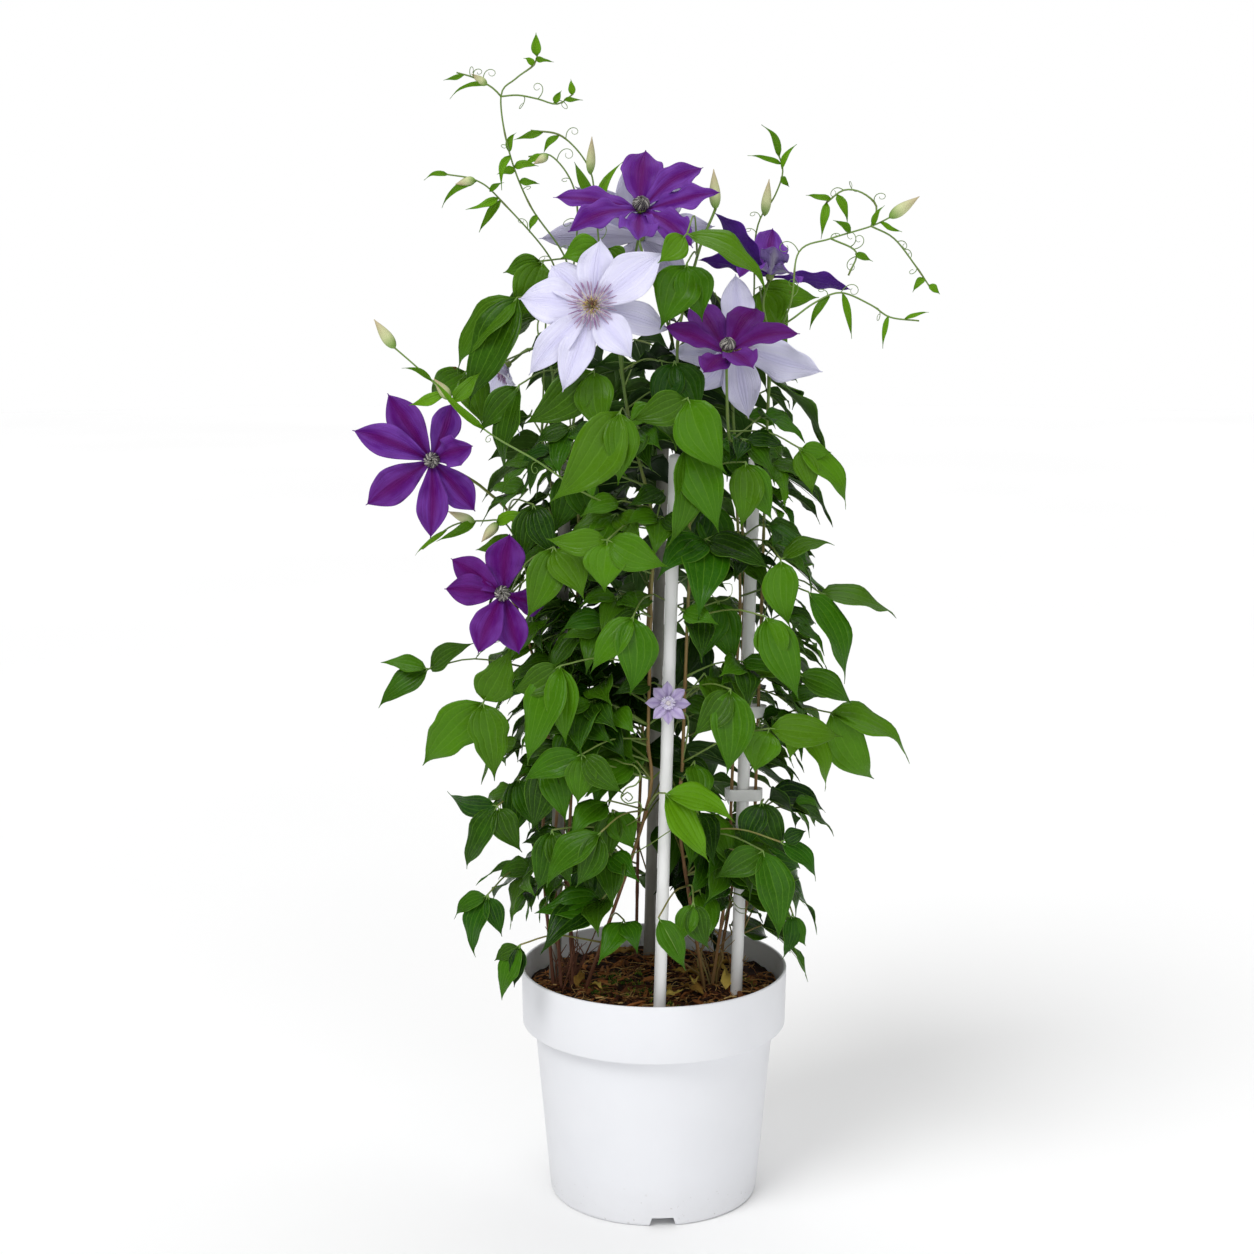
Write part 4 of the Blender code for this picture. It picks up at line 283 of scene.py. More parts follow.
FRONT_LEAVES = (
    Leaf((-2.9, 68.2), 2.4, ((-8.9, 60.5, 4.2), (-3.1, 62.0, 2.8)), 0.42),
    Leaf((2.7, 69.3), 1.2, ((6.0, 63.0, 4.0), (-2.1, 67.4, 2.8)), 0.30),
    Leaf((2.6, 65.2), 0.0, ((5.4, 58.0, 3.6), (1.3, 56.6, 2.6)), 0.36),
    Leaf((-5.1, 71.6), 1.6, ((-11.2, 67.0, 3.5), (-4.2, 66.0, 3.2)), 0.34, step_back=2.9),
    Leaf((-4.0, 57.4), 1.4, ((-9.2, 57.5, 2.2), (-4.2, 52.9, 3.4), (1.2, 55.1, 3.0)), 0.44),
    Leaf((-8.5, 56.8), 0.4, ((-6.0, 52.3, 3.2), (-10.9, 50.5, 3.1)), 0.42),
    Leaf((-1.8, 50.9), 0.6, ((-2.1, 44.0, 3.5), (-5.6, 46.0, 2.4)), 0.30),
    Leaf((6.5, 44.6), 1.2, ((6.2, 37.0, 3.6), (3.2, 40.4, 2.6)), 0.14),
    Leaf((-8.0, 46.6), 0.8, ((-12.3, 44.3, 2.5), (-11.0, 37.9, 3.2), (-7.6, 39.6, 2.8)), 0.34),
    Leaf((-14.6, 43.4), 1.2, ((-12.1, 48.2, 3.4), (-19.9, 37.8, 4.0), (-13.7, 36.5, 3.5)),
         0.34, True),
    Leaf((-19.2, 46.3), 0.6, ((-23.3, 46.9, 1.4), (-23.7, 43.0, 2.1), (-15.4, 48.6, 1.9))),
    Leaf((-6.2, 38.9), 1.2, ((-11.3, 36.5, 2.5), (-2.6, 35.4, 2.3), (-6.6, 34.4, 2.6)), 0.34),
    Leaf((-13.5, 34.3), 0.4, ((-17.9, 35.5, 1.8), (-16.5, 28.7, 2.1), (-11.4, 30.2, 2.4)), 0.06),
    Leaf((-4.6, 32.0), 1.6, ((-9.5, 27.1, 2.5), (-6.8, 27.0, 2.5)), 0.12),
    Leaf((-14.4, 26.4), 0.0, ((-17.4, 24.2, 1.4), (-15.7, 20.7, 1.9), (-13.2, 22.6, 1.8)), 0.05),
    Leaf((-11.6, 21.9), -0.4, ((-13.9, 20.4, 1.5), (-13.4, 16.8, 1.9), (-12.2, 18.0, 1.6)),
         0.05, True),
    Leaf((10.6, 55.8), 0.0, ((11.5, 49.9, 3.0), (15.1, 57.3, 1.3)), 0.30),
    Leaf((13.0, 53.0), 0.6, ((16.3, 45.1, 2.2),), 0.18),
    Leaf((14.0, 52.9), -0.4, ((20.6, 51.0, 1.6),), 0.40),
    Leaf((9.4, 50.9), 1.0, ((10.9, 46.0, 2.9), (12.4, 43.6, 3.2)), 0.40),
    Leaf((9.8, 41.2), 1.2, ((8.6, 37.2, 3.3), (16.3, 40.6, 2.8)), 0.62),
    Leaf((12.2, 45.9), 0.4, ((17.0, 43.3, 2.2),), 0.25),
    Leaf((15.0, 42.6), 0.2, ((22.3, 38.6, 2.0), (19.0, 36.5, 3.5)), 0.38),
    Leaf((12.6, 41.6), 0.2, ((11.6, 38.4, 1.6), (14.8, 35.7, 1.8)), 0.70),
    Leaf((0.9, 35.5), 2.4, ((7.0, 33.0, 2.1), (4.9, 29.3, 2.5)), 0.85),
    Leaf((10.9, 31.2), 0.6, ((13.1, 32.2, 1.5), (14.2, 27.8, 1.6)), 0.05),
    Leaf((9.4, 30.4), 0.8, ((5.2, 27.9, 2.6), (10.8, 22.4, 3.1)), 0.05),
    Leaf((12.0, 24.8), 0.0, ((11.2, 20.6, 1.5), (13.2, 21.8, 1.4)), 0.05),
    Leaf((3.4, 25.8), 2.0, ((2.0, 22.0, 1.9), (4.8, 21.5, 2.2)), 0.20),
    Leaf((0.4, 24.4), 3.4, ((2.8, 19.5, 2.1),), 0.22),
    Leaf((7.6, 64.0), 0.0, ((7.2, 58.3, 2.8), (9.9, 59.0, 2.6)), 0.40),
    Leaf((12.0, 65.2), -1.0, ((16.4, 60.2, 2.0), (13.2, 61.2, 2.0), (14.8, 64.8, 1.5)), 0.44),
    Leaf((-11.3, 70.4), 0.0, ((-12.9, 63.0, 2.0), (-14.6, 66.4, 2.4)), 0.22),
    Leaf((-11.4, 77.6), -1.6, ((-16.7, 71.2, 2.6), (-15.9, 68.6, 3.6)), 0.24),
    Leaf((2.6, 82.8), -1.6, ((9.6, 78.1, 1.8), (0.2, 80.4, 2.2)), 0.60),
    Leaf((2.6, 80.4), -4.0, ((0.4, 75.0, 3.8), (3.9, 75.6, 3.2)), 0.20),
    Leaf((8.6, 78.4), -3.4, ((9.9, 74.6, 3.8), (13.6, 77.6, 2.4), (11.2, 73.2, 2.4)), 0.55),
    Leaf((-4.2, 81.8), -3.0, ((-2.6, 79.6, 2.4), (-7.8, 80.8, 2.6)), 0.50),
    Leaf((-9.2, 80.6), -4.0, ((-12.6, 79.6, 2.0), (-11.6, 75.6, 3.6)), 0.34),
    Leaf((-15.6, 71.6), -2.0, ((-18.8, 69.4, 2.4), (-14.4, 67.0, 2.8)), 0.26),
)

# Darker leaves that stand behind those in front and close the gaps between them.
BACKING_LEAVES = (
    Leaf((5.4, 52.2), -5.0, ((3.9, 46.9, 3.2), (6.9, 46.6, 3.0)), 0.03),
    Leaf((3.0, 49.4), -6.5, ((1.9, 44.6, 2.8), (4.4, 44.4, 2.8)), 0.03),
    Leaf((-3.6, 34.0), -3.0, ((-1.7, 30.4, 2.6), (-4.0, 29.2, 2.4)), 0.16),
    Leaf((-9.2, 38.2), -1.8, ((-10.6, 32.0, 3.0), (-7.6, 32.8, 2.6)), 0.06),
    Leaf((-11.7, 36.8), -2.6, ((-12.6, 31.2, 2.6), (-9.9, 32.0, 2.2)), 0.04),
    Leaf((-8.8, 32.2), -1.2, ((-10.2, 26.6, 2.8), (-7.2, 27.2, 2.4)), 0.05),
    Leaf((-5.6, 29.4), -4.0, ((-7.2, 24.6, 2.4), (-3.9, 25.2, 2.2)), 0.10),
    Leaf((4.2, 60.6), -5.0, ((2.6, 55.0, 3.0), (6.2, 54.8, 3.0)), 0.03),
    Leaf((-6.8, 63.2), -3.0, ((-8.6, 57.8, 3.0), (-4.8, 58.2, 2.8)), 0.05),
    Leaf((-10.2, 60.4), -3.4, ((-11.2, 55.4, 2.6), (-8.0, 55.8, 2.4)), 0.04),
    Leaf((9.2, 34.8), -3.0, ((7.9, 30.4, 2.4), (11.4, 30.0, 2.6)), 0.05),
    Leaf((1.6, 72.4), -3.0, ((0.2, 67.4, 2.8), (3.6, 67.8, 2.8)), 0.06),
)

# Tendrils and thin stalks that show from the front: radius in mm, then x, z and depth.
TENDRILS = (
    (0.80, ((-4.6, 38.2, 8.0), (-3.6, 38.5, 9.2), (-2.6, 38.1, 10.0), (-1.7, 37.9, 10.2),
            (-1.15, 37.0, 10.4), (-1.6, 36.2, 10.6), (-2.4, 35.9, 10.6), (-2.85, 35.1, 10.4),
            (-2.25, 34.55, 10.2), (-1.3, 34.7, 10.2), (-1.1, 33.9, 10.2), (-1.6, 33.1, 10.0),
            (-2.4, 32.6, 9.6))),
    (0.70, ((-2.85, 35.1, 10.3), (-2.3, 35.55, 10.2), (-1.85, 35.1, 10.1), (-2.2, 34.75, 10.0),
            (-2.5, 35.0, 9.9))),
    (0.55, ((-2.6, 29.6, 7.6), (-0.3, 31.0, 9.8), (1.3, 32.1, 9.9), (2.8, 32.9, 8.6),
            (4.0, 33.0, 7.0))),
    (0.45, ((6.2, 27.4, 2.0), (7.0, 25.6, 3.2), (7.8, 25.2, 3.3), (8.3, 25.8, 2.6),
            (7.6, 26.2, 0.8), (6.9, 25.5, 1.6), (7.6, 24.8, 3.4), (8.6, 25.3, 2.8),
            (9.0, 26.6, 1.8))),
    (0.42, ((4.6, 53.0, 10.4), (5.4, 52.2, 11.4), (6.4, 52.6, 11.6), (6.5, 53.6, 11.2),
            (5.8, 53.7, 10.8))),
)

# Sight lines that the leaves by rule keep open: x, z, half width, half height and depth.
WINDOWS = (
    (0.75, 36.0, 1.1, 17.0, 8.0),
    (7.4, 21.5, 1.0, 4.0, 1.0),
    (7.6, 35.5, 1.2, 4.0, 1.0),
    (7.9, 50.5, 0.9, 2.5, 1.0),
    (-1.4, 33.5, 1.1, 3.0, -20.0),
)


def seen(x: float, z: float, depth: float) -> Vector:
    """Point in metres that shows at a front place.

    Args:
        x: the place to the right.
        z: its height.
        depth: how far the point lies from the front plane towards the eye.

    Returns:
        The point.
    """
    on_plane = Vector((x * CM, 0.0, z * CM))
    return on_plane + (EYE - on_plane).normalized() * depth * CM


def place_of(point: Vector) -> Spot:
    """Front place and depth of a point.

    Args:
        point: a point in metres.

    Returns:
        Its x, z and depth in cm.
    """
    on_plane = EYE + (point - EYE) * (EYE.y / (EYE.y - point.y))
    depth = (EYE - on_plane).length - (EYE - point).length
    return on_plane.x / CM, on_plane.z / CM, depth / CM


def foliage_front(x: float, deepest: float = 12.2, half: float = 19.0) -> float:
    """Depth of the foliage's front at a place to the right, in cm."""
    share = min(1.0, abs(x) / half)
    return deepest * sqrt(max(0.03, 1.0 - share * share))


def across(vector: Vector, axis: Vector) -> Vector:
    """Unit vector along the part of a vector that stands square to an axis.

    Args:
        vector: the vector.
        axis: the axis, of any length.

    Returns:
        The unit vector.
    """
    flat = vector - axis * vector.dot(axis) / axis.dot(axis)
    if flat.length < 1e-6:
        flat = axis.orthogonal()
    return flat.normalized()


def smooth(points: Line, step: float) -> list[Vector]:
    """Points on a smooth curve through given points.

    Args:
        points: the points that the curve goes through.
        step: about how far apart the new points are.

    Returns:
        The points of the curve.
    """
    ends = [points[0] * 2 - points[1], *points, points[-1] * 2 - points[-2]]
    line = []
    for before, start, end, after in zip(ends, ends[1:], ends[2:], ends[3:]):
        count = max(1, round((end - start).length / step))
        for index in range(count):
            t = index / count
            line.append(0.5 * (2 * start + (end - before) * t
                               + (2 * before - 5 * start + 4 * end - after) * t ** 2
                               + (3 * start - before - 3 * end + after) * t ** 3))
    return [*line, points[-1].copy()]


def stake_at(name: str, height: float) -> Vector:
    """Point on a stake's axis at a height in cm."""
    x, y, _ = STAKES[name]
    return Vector((x + 0.025 * (height - 18.1), y, height)) * CM


def tube_shell(points: Line, radius: float, sides: int = 4) -> Shell:
    """Space that a stem takes up.

    Args:
        points: points of the stem's line.
        radius: radius of the space.
        sides: sides of the tube.

    Returns:
        Corners and faces.
    """
    corners: list[Vector] = []
    reach = radius * (1.3 if sides == 4 else 1.1)
    faces = []
    for index, point in enumerate(points):
        before = points[max(0, index - 1)]
        along = (points[min(len(points) - 1, index + 1)] - before).normalized()
        side = across(Vector((1.0, 0.37, 0.11)), along) * reach
        corners += [point + Matrix.Rotation(tau * corner / sides, 3, along) @ side
                    for corner in range(sides)]
        if index:
            start = sides * (index - 1)
            for one, two in ((corner, (corner + 1) % sides) for corner in range(sides)):
                faces.append((start + one, start + two,
                              start + sides + two, start + sides + one))
    return corners, faces


def ring_shell(profile: Sequence[Place], sides: int) -> Shell:
    """Space of a ring round the pot's axis.

    Args:
        profile: radius and height of the ring's corners.
        sides: how many steps the ring has.

    Returns:
        Corners and faces.
    """
    turns = [tau * step / sides for step in range(sides)]
    corners = [Vector((radius * cos(turn), radius * sin(turn), height))
               for turn in turns for radius, height in profile]
    count = len(profile)
    faces = []
    for step in range(sides):
        start, end = step * count, (step + 1) % sides * count
        for one, two in ((index, (index + 1) % count) for index in range(count)):
            faces.append((start + one, end + one, end + two, start + two))
    return corners, faces


def thick(corners: Line, faces: Iterable[tuple[int, ...]], lift: Vector) -> Shell:
    """Space of a sheet that is moved both ways.

    Args:
        corners: the sheet's corners.
        faces: its faces.
        lift: how far it is moved each way.

    Returns:
        Corners and faces of the closed shell.
    """
    count = len(corners)
    edges = {(a, b) for face in faces for a, b in zip(face, face[1:] + face[:1])}
    sides = [(start, end, end + count, start + count) for start, end in sorted(edges)
             if (end, start) not in edges]
    under = [tuple(corner + count for corner in reversed(face)) for face in faces]
    return ([corner + lift for corner in corners] + [corner - lift for corner in corners],
            [*faces, *under, *sides])


class Space:
    """What is already taken up by pieces, so that no leaf crosses another piece."""

    def __init__(self) -> None:
        self.taken: list[tuple[BVHTree, Vector, str, str]] = []
        self.middles = np.zeros((8000, 4))

    @staticmethod
    def ball(corners: Line) -> tuple[Vector, float]:
        """Middle of some corners and how far they reach from it."""
        middle = sum(corners, Vector()) / len(corners)
        return middle, max((corner - middle).length for corner in corners)

    def add(self, shell: Shell, owner: str, kind: str) -> None:
        """Take up the space of a shell.

        Args:
            shell: corners and faces.
            owner: the piece that it belongs to.
            kind: the kind of the piece.
        """
        middle, reach = self.ball(shell[0])
        self.middles[len(self.taken)] = (*middle, reach)
        self.taken.append((BVHTree.FromPolygons(*shell), middle, owner, kind))

    def add_long(self, points: Line, radius: float, owner: str, kind: str) -> None:
        """Take up a stem's space in short stretches.

        Args:
            points: the stem's line.
            radius: radius of the space.
            owner: the piece that it belongs to.
            kind: the kind of the piece.
        """
        for start in range(0, len(points) - 1, 3):
            self.add(tube_shell(points[start:start + 4], radius), owner, kind)

    def is_free(self, shell: Shell, owner: str | None = None,
                kinds: tuple[str, ...] = (), soft: tuple[str, ...] = ()) -> bool:
        """Whether a shell touches nothing but the owner's pieces of some kinds.

        Args:
            shell: corners and faces.
            owner: whose pieces may be touched.
            kinds: which of them may be touched.
            soft: kinds of any owner that may be touched.

        Returns:
            True where the space is free.
        """
        middle, reach = self.ball(shell[0])
        near = self.middles[:len(self.taken)]
        far = np.linalg.norm(near[:, :3] - np.array(middle), axis=1) > near[:, 3] + reach
        tree = None
        for index in np.nonzero(~far)[0]:
            other, _, other_owner, kind = self.taken[index]
            if kind in soft or (other_owner == owner and kind in kinds):
                continue
            tree = tree or BVHTree.FromPolygons(*shell)
            if tree.overlap(other):
                return False
        return True

    def nearest(self, point: Vector, kind: str) -> float:
        """Distance from a point to the middle of the nearest piece of a kind."""
        return min((middle - point).length for _, middle, _, other in self.taken
                   if other == kind)


# Where the plain blades have their rows: share of the length and of the width.
SMALL_ROWS = ((0.42, 1.0),)
LEAF_ROWS = ((0.27, 1.0), (0.66, 0.68))
BIG_LEAF_ROWS = ((0.08, 0.60), (0.31, 1.0), (0.68, 0.66))
PETAL_ROWS = ((0.32, 0.54), (0.66, 1.0))
SMALL_PETAL_ROWS = ((0.45, 1.0),)
BLADE_THICKNESS = 0.0009
STALK_WIDTH = 0.0018
SMALL_ROOT = 0.0009


class Blade:
    """A leaflet or petal: where it starts and ends, its width and which way it faces."""

    def __init__(self, base: Vector, tip: Vector, width: float, normal: Vector,
                 rows: tuple[Place, ...], fold: float = 0.20, arch: float = 0.09) -> None:
        self.base, self.tip, self.along = base, tip, tip - base
        self.normal = across(normal, self.along)
        self.side = self.along.cross(self.normal).normalized()
        self.half = width / 2
        self.rows, self.fold, self.arch = rows, fold, arch

    def spine(self, share: float) -> Vector:
        """Point of the midrib at a share of the length."""
        rise = self.arch * self.along.length * 4 * share * (1 - share)
        return self.base + self.along * share + self.normal * rise

    def row(self, share: float, width: float) -> tuple[Vector, Vector, Vector]:
        """Left edge, midrib and right edge of the plain blade at shares of length and width."""
        middle = self.spine(share)
        lift = self.normal * self.fold * self.half * width
        return (middle - self.side * self.half * width + lift, middle,
                middle + self.side * self.half * width + lift)

    def sheet(self, root: float) -> Shell:
        """Corners and triangles of the plain blade.

        Args:
            root: width of the blade's root.

        Returns:
            Corners and faces.
        """
        corners = [self.base - self.side * root / 2, self.base + self.side * root / 2]
        rows = [self.row(share, width) for share, width in self.rows]
        if len(rows) == 1:
            corners += [*rows[0], self.tip]
            return corners, [(0, 3, 2), (0, 1, 3), (1, 4, 3), (2, 3, 5), (3, 4, 5)]
        faces: list[tuple[int, ...]] = []
        for index, row in enumerate(rows[:-1]):
            first = len(corners)
            corners += row
            if index == 0:
                faces += [(0, first + 1, first), (0, 1, first + 1), (1, first + 2, first + 1)]
            else:
                faces += [(first - 3, first - 2, first), (first, first - 2, first + 1),
                          (first - 2, first + 2, first + 1), (first - 2, first - 1, first + 2)]
        last = len(corners)
        corners += [rows[-1][0], rows[-1][2], self.tip]
        return corners, faces + [(last - 3, last - 2, last), (last, last - 2, last + 1),
                                 (last - 2, last - 1, last + 1), (last, last + 1, last + 2)]

    def shell(self, root: float = STALK_WIDTH) -> Shell:
        """Space that the blade takes up.

        Args:
            root: width of the blade's root.

        Returns:
            Corners and faces.
        """
        grown = Blade(self.base, self.tip, 2 * self.half + 2 * CLEARANCE, self.normal,
                      self.rows, self.fold, self.arch)
        return thick(*grown.sheet(root), self.normal * (BLADE_THICKNESS / 2 + CLEARANCE))


@dataclass(frozen=True)
class BladeForm:
    """Outline and relief of a kind of blade, as shares of its half width and length."""

    rows: int
    columns: Sequence[float]
    outline: Callable[[Array], Array]
    crease: float = 1.3
    bulge: float = 0.0
    ruffle: float = 0.0
    waves: float = 3.0
    bend: float = 0.0
    droop: float = 0.0
    twist: float = 0.0
    heart: float = 0.0
    lobes: float = 0.0
    root: float = 0.0008
    point: float = 0.00018

    def shape(self, blade: Blade, draw: Random, ruffle: float | None = None
              ) -> tuple[Array, Array]:
        """Grid of a blade with its real outline, folds and waves.

        Args:
            blade: where the blade lies.
            draw: source of its own small differences.
            ruffle: height of its waves, where it isn't the kind's own.

        Returns:
            Points as rows by columns by three, and their places across and along the blade.
        """
        ruffle = self.ruffle if ruffle is None else ruffle
        rows = np.linspace(0.0, 1.0, self.rows) ** 0.92
        length, half = blade.along.length, blade.half
        width = np.maximum(self.outline(rows),
                           np.linspace(self.root / 2, self.point, self.rows) / half)
        if self.lobes:
            notch = np.exp(-((rows - draw.uniform(0.42, 0.52)) / 0.09) ** 2)
            width = width * (1 - self.lobes * notch)
        u, v = np.meshgrid(np.array(self.columns), rows)
        wide, out = width[:, None], np.abs(u)
        phase = draw.uniform(0, tau)
        lag = draw.uniform(0.6, 2.4)
        window = np.sin(pi * np.clip(v, 0, 1)) ** 0.6
        sway = np.where(u < 0, np.sin(v * self.waves * tau + phase),
                        np.sin(v * self.waves * tau + phase + lag))
        lift = blade.fold * half * wide * out ** self.crease
        lift = lift + ruffle * half * sway * out ** 2.4 * window
        lift = lift + self.bulge * half * np.abs(np.sin(pi * u / 0.36)) * window * wide * 0.5
        rise = blade.arch * length * 4 * v * (1 - v)
        droop = self.droop * draw.uniform(0.3, 1.4) * length * np.clip(v - 0.62, 0, 1) ** 2 * 5
        bend = self.bend * draw.uniform(-1, 1) * length * np.sin(pi * v)
        turn = self.twist * draw.uniform(-1, 1) * (v - 0.3)
        reach = u * wide * half
        heart = self.heart * length * out ** 1.6 * np.clip(1 - v / 0.24, 0, 1) ** 1.5
        base, along, side, normal = (np.array(vector) for vector in (
            blade.base, blade.along, blade.side, blade.normal))
        sideways = reach * np.cos(turn) - lift * np.sin(turn) + bend
        upward = lift * np.cos(turn) + reach * np.sin(turn) + rise - droop
        points = (base + v[..., None] * along + sideways[..., None] * side
                  + upward[..., None] * normal - heart[..., None] * (along / length))
        return points, np.stack((u, v), axis=-1)


def leaf_outline(v: Array) -> Array:
    """Half width of a leaflet: round at the base and drawn out to its tip.

    Args:
        v: shares of the length.

    Returns:
        Shares of the half width.
    """
    rise = np.clip(v / 0.33, 0, 1)
    fall = np.clip((v - 0.33) / 0.67, 0, 1)
    body = 0.27 * (1 + np.cos(pi * fall)) + 0.46 * (1 - fall ** 1.3)
    drip = 1 - 0.45 * np.clip((fall - 0.66) / 0.24, 0, 1)
    return np.where(v < 0.33, (1 - (1 - rise) ** 2.2) ** 0.62, body * drip)


def petal_outline(v: Array, peak: float = 0.60, claw: float = 0.18) -> Array:
    """Half width of a petal: a slim claw, a broad middle and a small point on a blunt end.

    Args:
        v: shares of the length.
        peak: where it is widest.
        claw: share of the width that its claw has.

    Returns:
        Shares of the half width.
    """
    rise = np.clip(v / peak, 0, 1)
    fall = np.clip((v - peak) / (1 - peak), 0, 1)
    blunt = np.clip(fall / 0.93, 0, 1)
    end = np.maximum((1 - blunt ** 2.3) * (1 - 0.24 * blunt),
                     0.13 * np.maximum(1 - fall, 0) ** 0.55)
    return (claw + (1 - claw) * np.sin(rise * pi / 2) ** 1.3) * end


def white_petal_outline(v: Array) -> Array:
    """Half width of a pale petal, which is fuller towards its claw."""
    return petal_outline(v, 0.53, 0.24)


LEAF_COLUMNS = (-1.0, -0.80, -0.58, -0.36, -0.18, 0.0, 0.18, 0.36, 0.58, 0.80, 1.0)
SMALL_COLUMNS = (-1.0, -0.6, -0.3, 0.0, 0.3, 0.6, 1.0)
PETAL_COLUMNS = tuple(np.linspace(-1.0, 1.0, 17))

LEAF_FORM = BladeForm(16, LEAF_COLUMNS, leaf_outline, 1.25, 0.030, 0.13, 1.9,
                      0.08, 0.09, 0.36, 0.045)
LOBED_FORM = BladeForm(22, LEAF_COLUMNS, leaf_outline, 1.25, 0.035, 0.10, 2.2,
                       0.05, 0.05, 0.20, 0.045, 0.15)
INNER_FORM = BladeForm(10, SMALL_COLUMNS, leaf_outline, 1.3, 0.0, 0.15, 1.8,
                       0.09, 0.10, 0.45, 0.04)
SMALL_FORM = BladeForm(10, SMALL_COLUMNS, leaf_outline, 1.2, 0.0, 0.20, 1.6,
                       0.14, 0.22, 1.1, 0.02, root=0.0005, point=0.00012)
LITTER_FORM = BladeForm(9, SMALL_COLUMNS, leaf_outline, 1.2, 0.0, 0.5, 2.0, 0.1, -0.3, 1.2)
LILAC_FORM = BladeForm(12, SMALL_COLUMNS, petal_outline, 1.4, 0.0, 0.12, 2.0,
                       0.05, 0.0, 0.25, root=0.0011, point=0.00015)
PETAL_FORMS = {
    Hue.PURPLE: BladeForm(30, PETAL_COLUMNS, petal_outline, 1.35, 0.055, 0.10, 2.9,
                          0.035, -0.01, 0.30, root=0.0030, point=0.00020),
    Hue.WHITE: BladeForm(28, PETAL_COLUMNS, white_petal_outline, 1.6, 0.015, 0.08, 2.3,
                         0.02, 0.0, 0.12, root=0.0034, point=0.00025),
    Hue.LILAC: LILAC_FORM}


def ring_quads(rings: int, sides: int, outward: bool = True) -> Array:
    """Quads between rings of points.

    Args:
        rings: how many gaps there are between rings.
        sides: points of a ring.
        outward: whether the faces look out from an upright line of rings.

    Returns:
        Four point numbers for each quad.
    """
    first = np.arange(rings)[:, None] * sides
    start = (first + np.arange(sides)[None, :]).ravel()
    after = (first + (np.arange(sides)[None, :] + 1) % sides).ravel()
    if outward:
        return np.stack((start, after, after + sides, start + sides), axis=1)
    return np.stack((start, start + sides, after + sides, after), axis=1)


